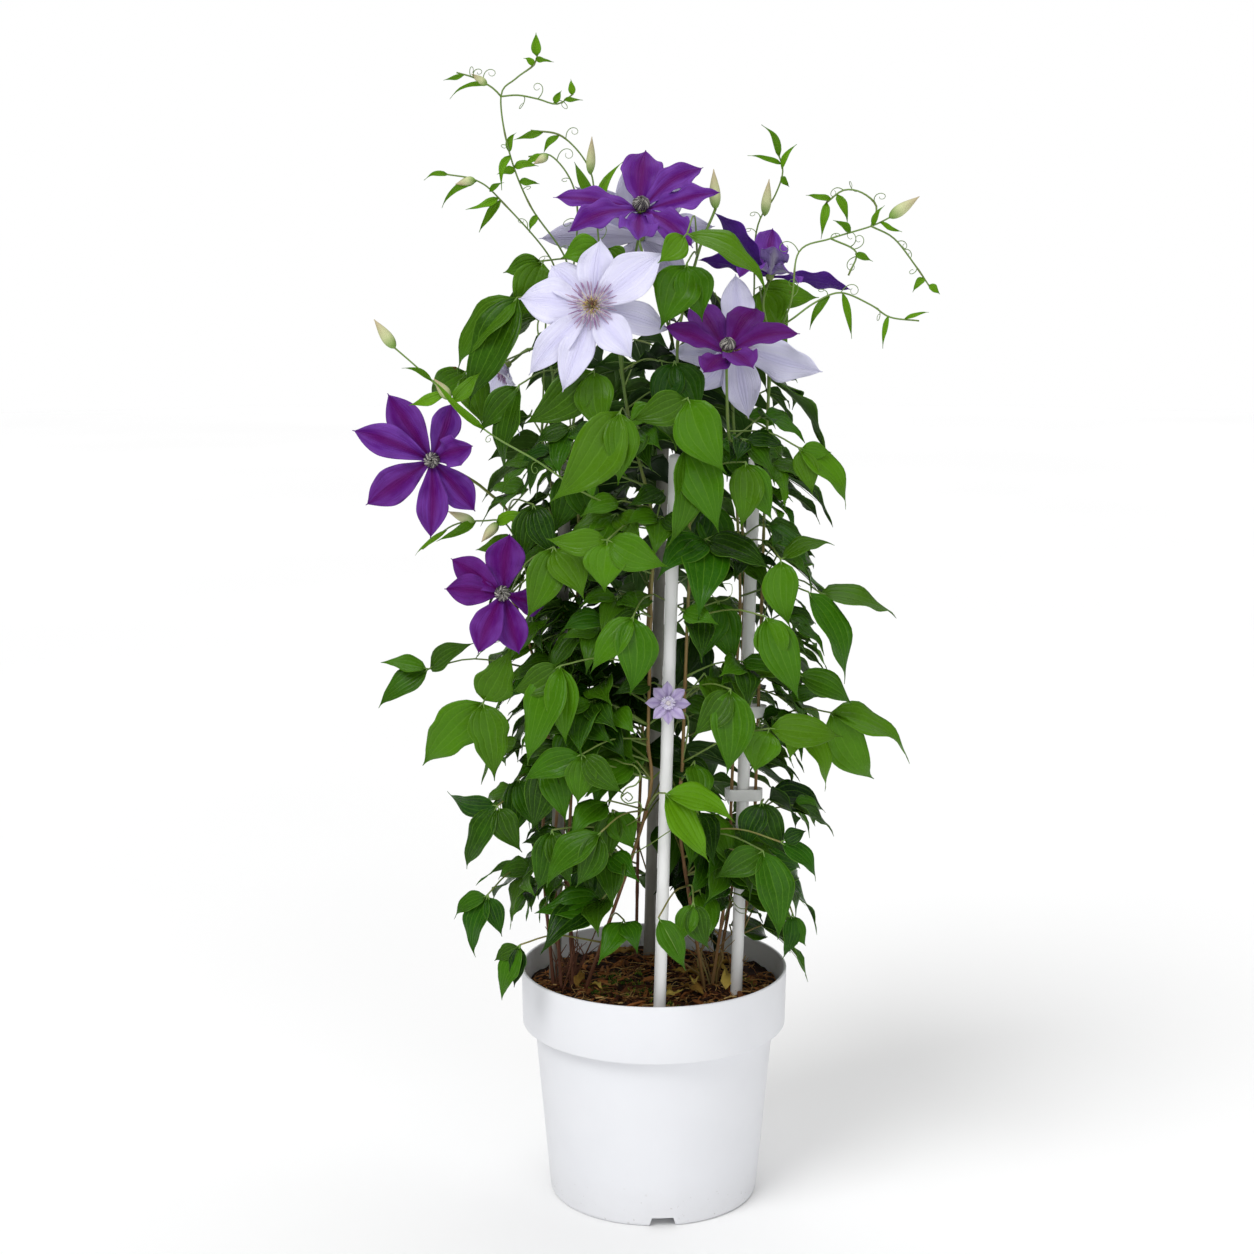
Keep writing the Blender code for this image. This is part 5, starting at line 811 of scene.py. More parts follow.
class Patch:
    """Points, faces and values that vary over the surface, gathered for one piece."""

    def __init__(self) -> None:
        self.parts: list[tuple[Array, ...]] = []
        self.count = 0

    def add(self, points: Array, quads: Array, places: Array, tones: Array,
            triangles: Array = np.zeros((0, 3), int)) -> None:
        """Take in a stretch of surface.

        Args:
            points: its points.
            quads: four point numbers for each quad.
            places: place across and along and the tint, for each point.
            tones: three values of the finish, for each point.
            triangles: three point numbers for each triangle.
        """
        self.parts.append((points, quads + self.count, triangles + self.count, places, tones))
        self.count += len(points)

    def add_grid(self, grid: Array, places: Array, tint: float, tone: Spot) -> None:
        """Take in a blade's grid.

        Args:
            grid: points as rows by columns by three.
            places: places across and along.
            tint: the blade's own tint.
            tone: its three values.
        """
        rows, columns = grid.shape[:2]
        count = rows * columns
        first = np.arange(rows - 1)[:, None] * columns + np.arange(columns - 1)[None, :]
        first = first.ravel()
        quads = np.stack((first, first + 1, first + columns + 1, first + columns), axis=1)
        flat = np.concatenate((places.reshape(count, 2), np.full((count, 1), tint)), axis=1)
        self.add(grid.reshape(count, 3), quads, flat, np.tile(np.array(tone), (count, 1)))

    def add_tube(self, points: Line, radii: Sequence[float], sides: int,
                 tones: Array | Spot = PLAIN, tint: float = 0.5, ribs: float = 0.0,
                 flat: float = 1.0) -> None:
        """Take in a closed round stem.

        Args:
            points: points of its line.
            radii: its radius at each point, or at its two ends.
            sides: sides of its round.
            tones: three values for each point, or for them all.
            tint: its own tint.
            ribs: depth of the ribs along it, as a share of its radius.
            flat: share of the radius that is left across its second direction.
        """
        line = np.array([tuple(point) for point in points])
        count = len(line)
        shares = np.linspace(0, 1, count)
        if len(radii) != count:
            radii = np.interp(shares, np.linspace(0, 1, len(radii)), radii)
        tangents = np.gradient(line, axis=0)
        tangents /= np.maximum(np.linalg.norm(tangents, axis=1, keepdims=True), 1e-9)
        first = np.array((1.0, 0.37, 0.11))
        firsts = np.zeros((count, 3))
        for index in range(count):
            first = first - tangents[index] * first.dot(tangents[index])
            first = first / max(np.linalg.norm(first), 1e-9)
            firsts[index] = first
        seconds = np.cross(tangents, firsts) * flat
        turns = np.linspace(0, tau, sides, endpoint=False)
        rib = 1 + ribs * np.cos(turns * sides / 2)
        ring = (np.cos(turns) * rib)[None, :, None] * firsts[:, None, :]
        ring = ring + (np.sin(turns) * rib)[None, :, None] * seconds[:, None, :]
        body = line[:, None, :] + ring * np.array(radii)[:, None, None]
        step = np.arange(sides)
        after = (step + 1) % sides
        last = (count - 1) * sides
        ends = np.concatenate((
            np.stack((after, step, np.full(sides, count * sides)), axis=1),
            np.stack((step + last, after + last, np.full(sides, count * sides + 1)), axis=1)))
        places = np.stack((np.tile(turns / tau, count), np.repeat(shares, sides),
                           np.full(count * sides, tint)), axis=1)
        tones = np.array(tones, float)
        if tones.ndim == 1:
            tones = np.tile(tones, (count, 1))
        self.add(np.concatenate((body.reshape(-1, 3), line[:1], line[-1:])),
                 ring_quads(count - 1, sides),
                 np.concatenate((places, [(0.5, 0.0, tint), (0.5, 1.0, tint)])),
                 np.concatenate((np.repeat(tones, sides, axis=0), tones[:1], tones[-1:])), ends)

    def build(self, name: str, slot: str, finishes: Sequence[Material], nodes: Sequence[str] = (),
              thickness: float = 0.0) -> None:
        """Make and dress the piece.

        Args:
            name: name of the piece.
            slot: the record's material slot; not used.
            finishes: its finish, and where it has one that of its under side.
            nodes: the solids that it stands for.
            thickness: thickness that an open sheet is given.
        """
        points, quads, triangles, places, tones = map(np.concatenate, zip(*self.parts))
        corners = np.concatenate((quads.ravel(), triangles.ravel()))
        starts = np.concatenate((np.arange(len(quads)) * 4,
                                 len(quads) * 4 + np.arange(len(triangles)) * 3))
        mesh = bpy.data.meshes.new(name)
        mesh.vertices.add(len(points))
        mesh.vertices.foreach_set("co", points.astype(np.float32).ravel())
        mesh.loops.add(len(corners))
        mesh.loops.foreach_set("vertex_index", corners.astype(np.int32))
        mesh.polygons.add(len(starts))
        mesh.polygons.foreach_set("loop_start", starts.astype(np.int32))
        for title, values in (("place", places), ("tone", tones)):
            layer = mesh.attributes.new(title, "FLOAT_VECTOR", "POINT")
            layer.data.foreach_set("vector", values.astype(np.float32).ravel())
        mesh.update(calc_edges=True)
        mesh.validate()
        mesh.shade_smooth()
        for finish in finishes:
            mesh.materials.append(finish)
        piece = new_object(name, mesh)
        if thickness:
            solid = piece.modifiers.new("thickness", "SOLIDIFY")
            solid.thickness = thickness
            solid.offset = 0.0
            solid.material_offset = len(finishes) - 1
        dress(piece, nodes)


def new_object(name: str, data: bpy.types.ID) -> bpy.types.Object:
    """Object in the scene's collection.

    Args:
        name: its name.
        data: its mesh, camera or light.

    Returns:
        The object.
    """
    item = bpy.data.objects.new(name, data)
    bpy.context.scene.collection.objects.link(item)
    return item


def from_work(name: str, work: bmesh.types.BMesh) -> bpy.types.Object:
    """Object made of a work mesh, which is used up.

    Args:
        name: its name.
        work: the work mesh.

    Returns:
        The object.
    """
    mesh = bpy.data.meshes.new(name)
    work.to_mesh(mesh)
    work.free()
    return new_object(name, mesh)


def dress(piece: bpy.types.Object, nodes: Sequence[str] = ()) -> None:
    """Let a piece ride on the plant and stand for solids.

    Args:
        piece: the new piece.
        nodes: the solids that it stands for.
    """
    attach(piece, "root")
    if nodes:
        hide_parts(*nodes)
    log.info("%s stands for %s", piece.name, ", ".join(nodes) or "nothing")


class Nodes:
    """Adds and joins the nodes of one material or node group."""

    def __init__(self, tree: bpy.types.NodeTree,
                 effects: dict[str, bpy.types.NodeTree] | None = None) -> None:
        self.tree = tree
        self.effects = effects or {}

    def put(self, socket: Socket, value: object) -> None:
        """Join a socket to another one, or set its value.

        Args:
            socket: the input.
            value: another node's output, a number or a colour.
        """
        if isinstance(value, Socket):
            self.tree.links.new(value, socket)
        else:
            socket.default_value = (*value, 1.0) if socket.type == "RGBA" else value

    def add(self, kind: str, settings: dict[str, object] | None = None,
            **values: object) -> bpy.types.Node:
        """Add a node.

        Args:
            kind: its type, without the usual first word.
            settings: its own settings.
            values: its inputs, by their names with underscores.

        Returns:
            The node.
        """
        node = self.tree.nodes.new("ShaderNode" + kind)
        for key, value in (settings or {}).items():
            setattr(node, key, value)
        for key, value in values.items():
            self.put(node.inputs[key.replace("_", " ")], value)
        return node

    def group(self, effect: str, **values: object) -> bpy.types.Node:
        """Place a shared effect with this material's own values."""
        return self.add("Group", {"node_tree": self.effects[effect]}, **values)

    def math(self, operation: str, first: object, second: object = 0.0) -> Socket:
        """Result of a sum.

        Args:
            operation: the kind of sum.
            first: its first value.
            second: its second value.

        Returns:
            The output.
        """
        node = self.add("Math", {"operation": operation})
        self.put(node.inputs[0], first)
        self.put(node.inputs[1], second)
        return node.outputs[0]

    def times(self, first: object, second: object) -> Socket:
        """Product of two values."""
        return self.math("MULTIPLY", first, second)

    def blend(self, share: object, first: object, second: object) -> Socket:
        """Mix of two colours.

        Args:
            share: share of the second one.
            first: the first colour.
            second: the second colour.

        Returns:
            The mixed colour.
        """
        node = self.add("Mix", {"data_type": "RGBA"})
        for index, value in ((0, share), (6, first), (7, second)):
            self.put(node.inputs[index], value)
        return node.outputs[2]

    def spread(self, value: object, low: float, high: float, to_low: float = 0.0,
               to_high: float = 1.0) -> Socket:
        """Value carried from one range to another with soft ends.

        Args:
            value: the value.
            low: start of its range.
            high: end of its range.
            to_low: what the start becomes.
            to_high: what the end becomes.

        Returns:
            The new value.
        """
        return self.add("MapRange", {"interpolation_type": "SMOOTHSTEP"}, Value=value,
                        From_Min=low, From_Max=high, To_Min=to_low, To_Max=to_high).outputs[0]

    def noise(self, vector: object, scale: object, detail: float = 3.0,
              roughness: float = 0.5) -> Socket:
        """Cloudy value between 0 and 1.

        Args:
            vector: where it is read.
            scale: how fine it is.
            detail: how many finer layers it has.
            roughness: how strong these are.

        Returns:
            The value.
        """
        return self.add("TexNoise", Vector=vector, Scale=scale, Detail=detail,
                        Roughness=roughness).outputs[0]

    def values(self, title: str) -> tuple[Socket, ...]:
        """The vector and the three numbers of a value that varies over the surface."""
        vector = self.add("Attribute", {"attribute_name": title}).outputs["Vector"]
        return (vector, *self.add("SeparateXYZ", Vector=vector).outputs)

    def stretched(self, vector: object, scale: Spot) -> Socket:
        """Vector with each of its numbers made larger or smaller.

        Args:
            vector: the vector.
            scale: the three factors.

        Returns:
            The new vector.
        """
        node = self.add("VectorMath", {"operation": "MULTIPLY"})
        self.put(node.inputs[0], vector)
        self.put(node.inputs[1], scale)
        return node.outputs[0]

    def space(self) -> Socket:
        """Place in the object's own space."""
        return self.add("TexCoord").outputs["Object"]

    def finish(self, colour: object, roughness: object, height: object = None,
               distance: float = 0.0003, strength: float = 0.5, gloss: float = 0.5) -> None:
        """Join colour, roughness and relief to the surface.

        Args:
            colour: base colour.
            roughness: roughness.
            height: height of the relief, between 0 and 1.
            distance: how high the relief is, in metres.
            strength: how much of it shows.
            gloss: how strongly it mirrors light.
        """
        surface = self.tree.nodes["Principled BSDF"].inputs
        self.put(surface["Base Color"], colour)
        self.put(surface["Roughness"], roughness)
        if height is not None:
            bump = self.add("Bump", Height=height, Distance=distance, Strength=strength)
            self.put(surface["Normal"], bump.outputs[0])
        self.put(surface["Specular IOR Level"], gloss)


class Effects:
    """Effects that several finishes share, each built once as a node group."""

    def __init__(self) -> None:
        self.trees = {"grain": self.make_grain(), "veins": self.make_veins(),
                      "streaks": self.make_streaks()}

    @staticmethod
    def new_group(name: str, inputs: dict[str, float | None],
                  outputs: Sequence[str]) -> tuple[Nodes, dict[str, Socket], bpy.types.Node]:
        """Node group with its inputs and outputs.

        Args:
            name: name of the effect.
            inputs: usual value of each input, or nothing for a vector.
            outputs: names of the outputs, which are numbers.

        Returns:
            Its nodes, its inputs by name and its output node.
        """
        tree = bpy.data.node_groups.new(name, "ShaderNodeTree")
        for title, value in inputs.items():
            kind = "NodeSocketVector" if value is None else "NodeSocketFloat"
            socket = tree.interface.new_socket(title, in_out="INPUT", socket_type=kind)
            if value is not None:
                socket.default_value = value
        for title in outputs:
            tree.interface.new_socket(title, in_out="OUTPUT", socket_type="NodeSocketFloat")
        start = tree.nodes.new("NodeGroupInput")
        end = tree.nodes.new("NodeGroupOutput")
        return Nodes(tree), {socket.name: socket for socket in start.outputs}, end

    def make_grain(self) -> bpy.types.NodeTree:
        """Fine grain with broad smudges, for plastic, bark and soil.

        Returns:
            The node group.
        """
        nodes, inputs, end = self.new_group("fine_grain", {"Fine": 900.0, "Broad": 18.0},
                                            ("Grain", "Smudge"))
        broad = nodes.noise(nodes.space(), inputs["Broad"], 4.0, 0.6)
        nodes.put(end.inputs["Grain"], nodes.noise(nodes.space(), inputs["Fine"], 2.0))
        nodes.put(end.inputs["Smudge"], nodes.spread(broad, 0.35, 0.65))
        return nodes.tree

    def make_veins(self) -> bpy.types.NodeTree:
        """Five curved veins of a leaf, the net between them and the quilted relief.

        Returns:
            The node group.
        """
        nodes, inputs, end = self.new_group("leaf_veins", {"Place": None, "Width": 0.05},
                                            ("Veins", "Net", "Relief", "Margin"))
        place = inputs["Place"]
        wander = nodes.noise(nodes.stretched(place, (1.0, 3.0, 9.0)), 2.0, 1.0)
        sideways = nodes.add("SeparateXYZ", Vector=place).outputs[0]
        shift = nodes.times(nodes.math("SUBTRACT", wander, 0.5), 0.10)
        outward = nodes.math("ABSOLUTE", nodes.math("ADD", sideways, shift))
        inner = nodes.math("ABSOLUTE", nodes.math("SUBTRACT", outward, 0.37))
        outer = nodes.math("ABSOLUTE", nodes.math("SUBTRACT", outward, 0.71))
        side = nodes.times(nodes.math("MINIMUM", inner, outer), 1.5)
        near = nodes.math("MINIMUM", outward, side)
        line = nodes.spread(nodes.math("DIVIDE", near, inputs["Width"]), 0.25, 1.0, 1.0, 0.0)
        cells = nodes.add("TexVoronoi", {"feature": "DISTANCE_TO_EDGE"}, Scale=1.0,
                          Vector=nodes.stretched(place, (6.0, 15.0, 31.0)))
        net = nodes.spread(cells.outputs["Distance"], 0.0, 0.09, 1.0, 0.0)
        relief = nodes.math("SUBTRACT", nodes.spread(near, 0.0, 0.17), nodes.times(net, 0.18))
        margin = nodes.spread(nodes.math("ABSOLUTE", sideways), 0.93, 1.0)
        for title, value in (("Veins", line), ("Net", net), ("Relief", relief),
                             ("Margin", margin)):
            nodes.put(end.inputs[title], value)
        return nodes.tree

    def make_streaks(self) -> bpy.types.NodeTree:
        """Lines that run from a petal's claw to its tip, its middle bar and its edge.

        Returns:
            The node group.
        """
        nodes, inputs, end = self.new_group("petal_streaks", {"Place": None},
                                            ("Streak", "Bar", "Edge", "Ribs", "Cloud"))
        place = inputs["Place"]
        streak = nodes.noise(nodes.stretched(place, (13.0, 1.6, 23.0)), 1.0, 4.0, 0.65)
        cloud = nodes.noise(nodes.stretched(place, (1.6, 2.4, 31.0)), 1.0, 2.0)
        sideways = nodes.add("SeparateXYZ", Vector=place).outputs[0]
        outward = nodes.math("ABSOLUTE", sideways)
        ribs = nodes.math("COSINE", nodes.times(sideways, 36.0))
        near = nodes.spread(outward, 0.10, 0.42, 1.0, 0.0)
        for title, value in (("Streak", nodes.spread(streak, 0.30, 0.70)),
                             ("Bar", nodes.spread(outward, 0.02, 0.42, 1.0, 0.0)),
                             ("Edge", nodes.spread(outward, 0.45, 1.0)),
                             ("Ribs", nodes.times(ribs, near)),
                             ("Cloud", nodes.spread(cloud, 0.32, 0.68))):
            nodes.put(end.inputs[title], value)
        return nodes.tree


@dataclass(frozen=True)
class Finish:
    """Any finish: its name and three of its colours."""

    name: str
    first: Spot
    second: Spot
    third: Spot

    def material(self, effects: Effects) -> Material:
        """Material of the finish.

        Args:
            effects: the shared effects.

        Returns:
            The material.
        """
        material = bpy.data.materials.new(self.name)
        material.use_nodes = True
        self.paint(Nodes(material.node_tree, effects.trees))
        return material

    def paint(self, nodes: Nodes) -> None:
        """Give the material its colour, roughness and relief."""
        raise NotImplementedError


@dataclass(frozen=True)
class LeafFinish(Finish):
    """Glossy upper side or matt under side of a leaf: old, grown and young green, and veins."""

    vein: Spot
    roughness: float
    vein_share: float
    gloss: float = 0.12

    def paint(self, nodes: Nodes) -> None:
        """Green with veins, mottling and a pale edge.

        Args:
            nodes: the material's nodes.
        """
        place, _, _, tint = nodes.values("place")
        _, youth, dry, painted_shade = nodes.values("tone")
        veins = nodes.group("veins", Place=place, Width=0.038).outputs
        cloud = nodes.noise(nodes.space(), 55.0, 4.0, 0.6)
        mottle = nodes.spread(nodes.math("ADD", nodes.times(cloud, 0.6), nodes.times(tint, 0.5)),
                              0.30, 0.80)
        colour = nodes.blend(mottle, self.first, self.second)
        colour = nodes.blend(youth, colour, self.third)
        for title, share in (("Net", 0.14), ("Veins", self.vein_share), ("Margin", 0.60)):
            colour = nodes.blend(nodes.times(veins[title], share), colour, self.vein)
        spots = nodes.spread(nodes.noise(nodes.space(), 210.0, 2.0), 0.66, 0.74)
        colour = nodes.blend(nodes.times(spots, dry), colour, (0.10, 0.045, 0.012))
        # Painted shade: leaflets near the middle of the column are blended towards near-black
        # green.
        colour = nodes.blend(painted_shade, colour, (0.002, 0.012, 0.001))
        rough = nodes.spread(cloud, 0.3, 0.7, self.roughness - 0.07, self.roughness + 0.09)
        nodes.finish(colour, rough, veins["Relief"], 0.0004, 0.60, self.gloss)


@dataclass(frozen=True)
class PetalFinish(Finish):
    """Satin petal: cool and warm ground, middle bar, edge, and how strongly each shows."""

    edge: Spot
    bar_share: float
    streak_share: float
    unturned: Spot | None = None
    roughness: float = 0.52

    def paint(self, nodes: Nodes) -> None:
        """Colour that runs from the bar to the edge, with fine lines along the petal.

        Args:
            nodes: the material's nodes.
        """
        place, _, along, tint = nodes.values("place")
        _, warmth, _, turned = nodes.values("tone")
        streaks = nodes.group("streaks", Place=place).outputs
        ground = nodes.blend(warmth, self.first, self.second)
        rim = nodes.blend(nodes.times(warmth, 0.70), self.edge, self.second)
        ground = nodes.blend(nodes.times(streaks["Cloud"], 0.60), ground, rim)
        colour = nodes.blend(nodes.times(streaks["Edge"], 0.72), ground, rim)
        middle = nodes.times(streaks["Bar"], nodes.spread(along, 0.55, 1.0, 1.0, 0.45))
        colour = nodes.blend(nodes.times(middle, self.bar_share), colour, self.third)
        line = nodes.times(streaks["Streak"], self.streak_share)
        colour = nodes.blend(line, colour, self.third)
        if self.unturned:
            colour = nodes.blend(turned, self.unturned, colour)
        height = nodes.math("ADD", nodes.times(streaks["Ribs"], 0.5), streaks["Streak"])
        rough = nodes.spread(tint, 0.0, 1.0, self.roughness - 0.05, self.roughness + 0.05)
        nodes.finish(colour, rough, height, 0.0004, 0.75, 0.08)


@dataclass(frozen=True)
class StemFinish(Finish):
    """Stem that is red-brown and woody low down, tan between and green above."""

    def paint(self, nodes: Nodes) -> None:
        """Colour by age, with streaks along the stem.

        Args:
            nodes: the material's nodes.
        """
        _, age, blush, _ = nodes.values("tone")
        place = nodes.stretched(nodes.values("place")[0], (9.0, 14.0, 17.0))
        streak = nodes.noise(place, 1.0, 3.0)
        grain = nodes.group("grain", Fine=700.0, Broad=40.0).outputs["Grain"]
        uneven = nodes.times(nodes.math("SUBTRACT", streak, 0.5), 0.35)
        aged = nodes.math("ADD", age, uneven)
        colour = nodes.blend(nodes.spread(aged, 0.15, 0.55), self.third, self.second)
        colour = nodes.blend(nodes.spread(aged, 0.55, 0.95), colour, self.first)
        colour = nodes.blend(nodes.times(blush, streak), colour, self.first)
        height = nodes.math("ADD", streak, nodes.times(grain, 0.5))
        nodes.finish(colour, nodes.spread(aged, 0.2, 0.9, 0.42, 0.75), height, 0.0004, 0.6)


@dataclass(frozen=True)
class StamenFinish(Finish):
    """Stamens: pale thread, dark anther and the pale rib along it."""

    def paint(self, nodes: Nodes) -> None:
        """Colour that turns from thread to anther, with a pale line along the anther.

        Args:
            nodes: the material's nodes.
        """
        _, around, _, tint = nodes.values("place")
        _, dark, gold, red = nodes.values("tone")
        grain = nodes.group("grain", Fine=1500.0, Broad=120.0).outputs["Grain"]
        line = nodes.spread(nodes.math("ABSOLUTE", nodes.math("SUBTRACT", around, 0.5)),
                            0.10, 0.02)
        anther = nodes.blend(nodes.times(line, 0.8), self.second, self.third)
        anther = nodes.blend(nodes.times(tint, 0.8), anther, self.third)
        colour = nodes.blend(nodes.spread(dark, 0.35, 0.65), self.first, anther)
        colour = nodes.blend(gold, colour, (0.700, 0.560, 0.200))
        colour = nodes.blend(red, colour, (0.200, 0.035, 0.030))
        nodes.finish(colour, 0.6, grain, 0.0002, 0.5)


@dataclass(frozen=True)
class BudFinish(Finish):
    """Bud: green at its foot, pale above, with a blush towards its tip."""

    def paint(self, nodes: Nodes) -> None:
        """Colour along the bud, with seams between its petals.

        Args:
            nodes: the material's nodes.
        """
        place, _, along, _ = nodes.values("place")
        grain = nodes.group("grain", Fine=1100.0, Broad=90.0).outputs["Grain"]
        streak = nodes.noise(nodes.stretched(place, (10.0, 2.0, 13.0)), 1.0, 3.0)
        colour = nodes.blend(nodes.spread(along, 0.05, 0.45), self.first, self.second)
        colour = nodes.blend(nodes.times(nodes.spread(along, 0.35, 0.95), streak), colour,
                             self.third)
        nodes.finish(colour, 0.55, nodes.math("ADD", streak, grain), 0.0003, 0.5)


@dataclass(frozen=True)
class PlasticFinish(Finish):
    """White moulded plastic: its colour, its smudges and the dirt between two heights."""

    roughness: float
    dirt_foot: float
    dirt_top: float
    dirt_share: float

    def paint(self, nodes: Nodes) -> None:
        """Plain plastic with a fine grain and the marks of use.

        Args:
            nodes: the material's nodes.
        """
        grain = nodes.group("grain", Fine=850.0, Broad=14.0).outputs
        height = nodes.add("SeparateXYZ", Vector=nodes.space()).outputs[2]
        colour = nodes.blend(nodes.times(grain["Smudge"], 0.5), self.first, self.second)
        specks = nodes.spread(nodes.noise(nodes.space(), 260.0, 2.0), 0.68, 0.72)
        low = nodes.spread(height, self.dirt_foot, self.dirt_top, 1.0, 0.0)
        film = nodes.times(nodes.noise(nodes.space(), 35.0, 5.0, 0.7), 0.6)
        dirt = nodes.times(nodes.math("ADD", specks, film), low)
        colour = nodes.blend(nodes.times(dirt, self.dirt_share), colour, self.third)
        rough = nodes.spread(grain["Smudge"], 0.0, 1.0, self.roughness, self.roughness + 0.12)
        nodes.finish(colour, rough, grain["Grain"], 0.00012, 0.35)


@dataclass(frozen=True)
class EarthFinish(Finish):
    """Soil, bark, fibre or moss: dark, middle and light colour mixed by the piece's tint."""

    scale: float
    relief: float
    roughness: float = 0.9

    def paint(self, nodes: Nodes) -> None:
        """Rough surface that varies from piece to piece.

        Args:
            nodes: the material's nodes.
        """
        tint = nodes.values("place")[3]
        grain = nodes.group("grain", Fine=self.scale * 5, Broad=self.scale).outputs["Grain"]
        cloud = nodes.noise(nodes.space(), self.scale, 5.0, 0.65)
        colour = nodes.blend(nodes.spread(cloud, 0.35, 0.62), self.first, self.second)
        colour = nodes.blend(nodes.spread(tint, 0.55, 1.0, 0.0, 0.9), colour, self.third)
        colour = nodes.blend(nodes.spread(tint, 0.0, 0.40, 0.75, 0.0), colour, self.first)
        height = nodes.math("ADD", cloud, nodes.times(grain, 0.4))
        nodes.finish(colour, self.roughness, height, self.relief, 0.9, 0.25)


FINISHES = (
    LeafFinish("leaf_upper", (0.003, 0.022, 0.001), (0.018, 0.092, 0.001),
               (0.150, 0.360, 0.006), (0.110, 0.250, 0.018), 0.27, 0.42),
    LeafFinish("leaf_under", (0.020, 0.060, 0.008), (0.040, 0.110, 0.012),
               (0.150, 0.290, 0.025), (0.110, 0.220, 0.042), 0.60, 0.40, 0.10),
    StemFinish("stem", (0.125, 0.040, 0.018), (0.290, 0.190, 0.060), (0.140, 0.265, 0.040)),
    PetalFinish("petal_purple", (0.078, 0.008, 0.225), (0.090, 0.001, 0.130),
                (0.100, 0.001, 0.100), (0.230, 0.090, 0.520), 0.78, 0.38),
    PetalFinish("petal_purple_back", (0.280, 0.220, 0.460), (0.320, 0.200, 0.420),
                (0.460, 0.440, 0.520), (0.200, 0.110, 0.420), 0.75, 0.18,
                (0.075, 0.018, 0.225)),
    PetalFinish("petal_white", (0.735, 0.730, 0.920), (0.760, 0.740, 0.920),
                (0.560, 0.530, 0.860), (0.800, 0.800, 0.950), 0.32, 0.26),
    PetalFinish("petal_white_back", (0.520, 0.500, 0.680), (0.560, 0.520, 0.680),
                (0.340, 0.310, 0.490), (0.640, 0.620, 0.800), 0.55, 0.35),
    PetalFinish("petal_lilac", (0.560, 0.480, 0.740), (0.600, 0.480, 0.740),
                (0.380, 0.280, 0.600), (0.680, 0.620, 0.840), 0.50, 0.35),
    StamenFinish("stamens_dark", (0.620, 0.600, 0.480), (0.010, 0.005, 0.014),
                 (0.640, 0.620, 0.540)),
    StamenFinish("stamens_open", (0.800, 0.740, 0.660), (0.250, 0.120, 0.300),
                 (0.520, 0.400, 0.520)),
    StamenFinish("stamens_pale", (0.780, 0.740, 0.820), (0.560, 0.480, 0.760),
                 (0.820, 0.800, 0.880)),
    BudFinish("bud", (0.200, 0.350, 0.060), (0.520, 0.560, 0.280), (0.420, 0.220, 0.180)),
    PlasticFinish("pot_white", (0.790, 0.800, 0.832), (0.760, 0.770, 0.805),
                  (0.360, 0.340, 0.310), 0.42, 0.0, 0.05, 0.35),
    PlasticFinish("stake_white", (0.900, 0.900, 0.895), (0.840, 0.842, 0.832),
                  (0.200, 0.130, 0.080), 0.38, 0.17, 0.215, 0.80),
    # White stake plastic darkened to grey-olive as painted shade, with real soil dirt near the
    # soil line.
    PlasticFinish("stake_painted_shade", (0.270, 0.260, 0.225), (0.155, 0.150, 0.120),
                  (0.080, 0.060, 0.036), 0.48, 0.17, 0.24, 0.85),
    EarthFinish("soil_dark", (0.008, 0.003, 0.002), (0.036, 0.012, 0.005),
                (0.090, 0.035, 0.013), 170.0, 0.0012),
    EarthFinish("bark", (0.012, 0.003, 0.001), (0.095, 0.026, 0.007),
                (0.360, 0.135, 0.036), 130.0, 0.0008, 0.8),
    EarthFinish("fibre", (0.160, 0.062, 0.018), (0.400, 0.190, 0.055),
                (0.680, 0.470, 0.180), 220.0, 0.0002, 0.8),
    EarthFinish("moss", (0.020, 0.060, 0.006), (0.080, 0.170, 0.012),
                (0.220, 0.330, 0.030), 240.0, 0.0003),
    EarthFinish("withered", (0.200, 0.100, 0.018), (0.420, 0.270, 0.045),
                (0.560, 0.420, 0.090), 120.0, 0.0004, 0.7),
)


def chance(name: str, shift: int = 0) -> Random:
    """Source of chance that belongs to a piece."""
    return Random(sum(map(ord, name)) + shift)


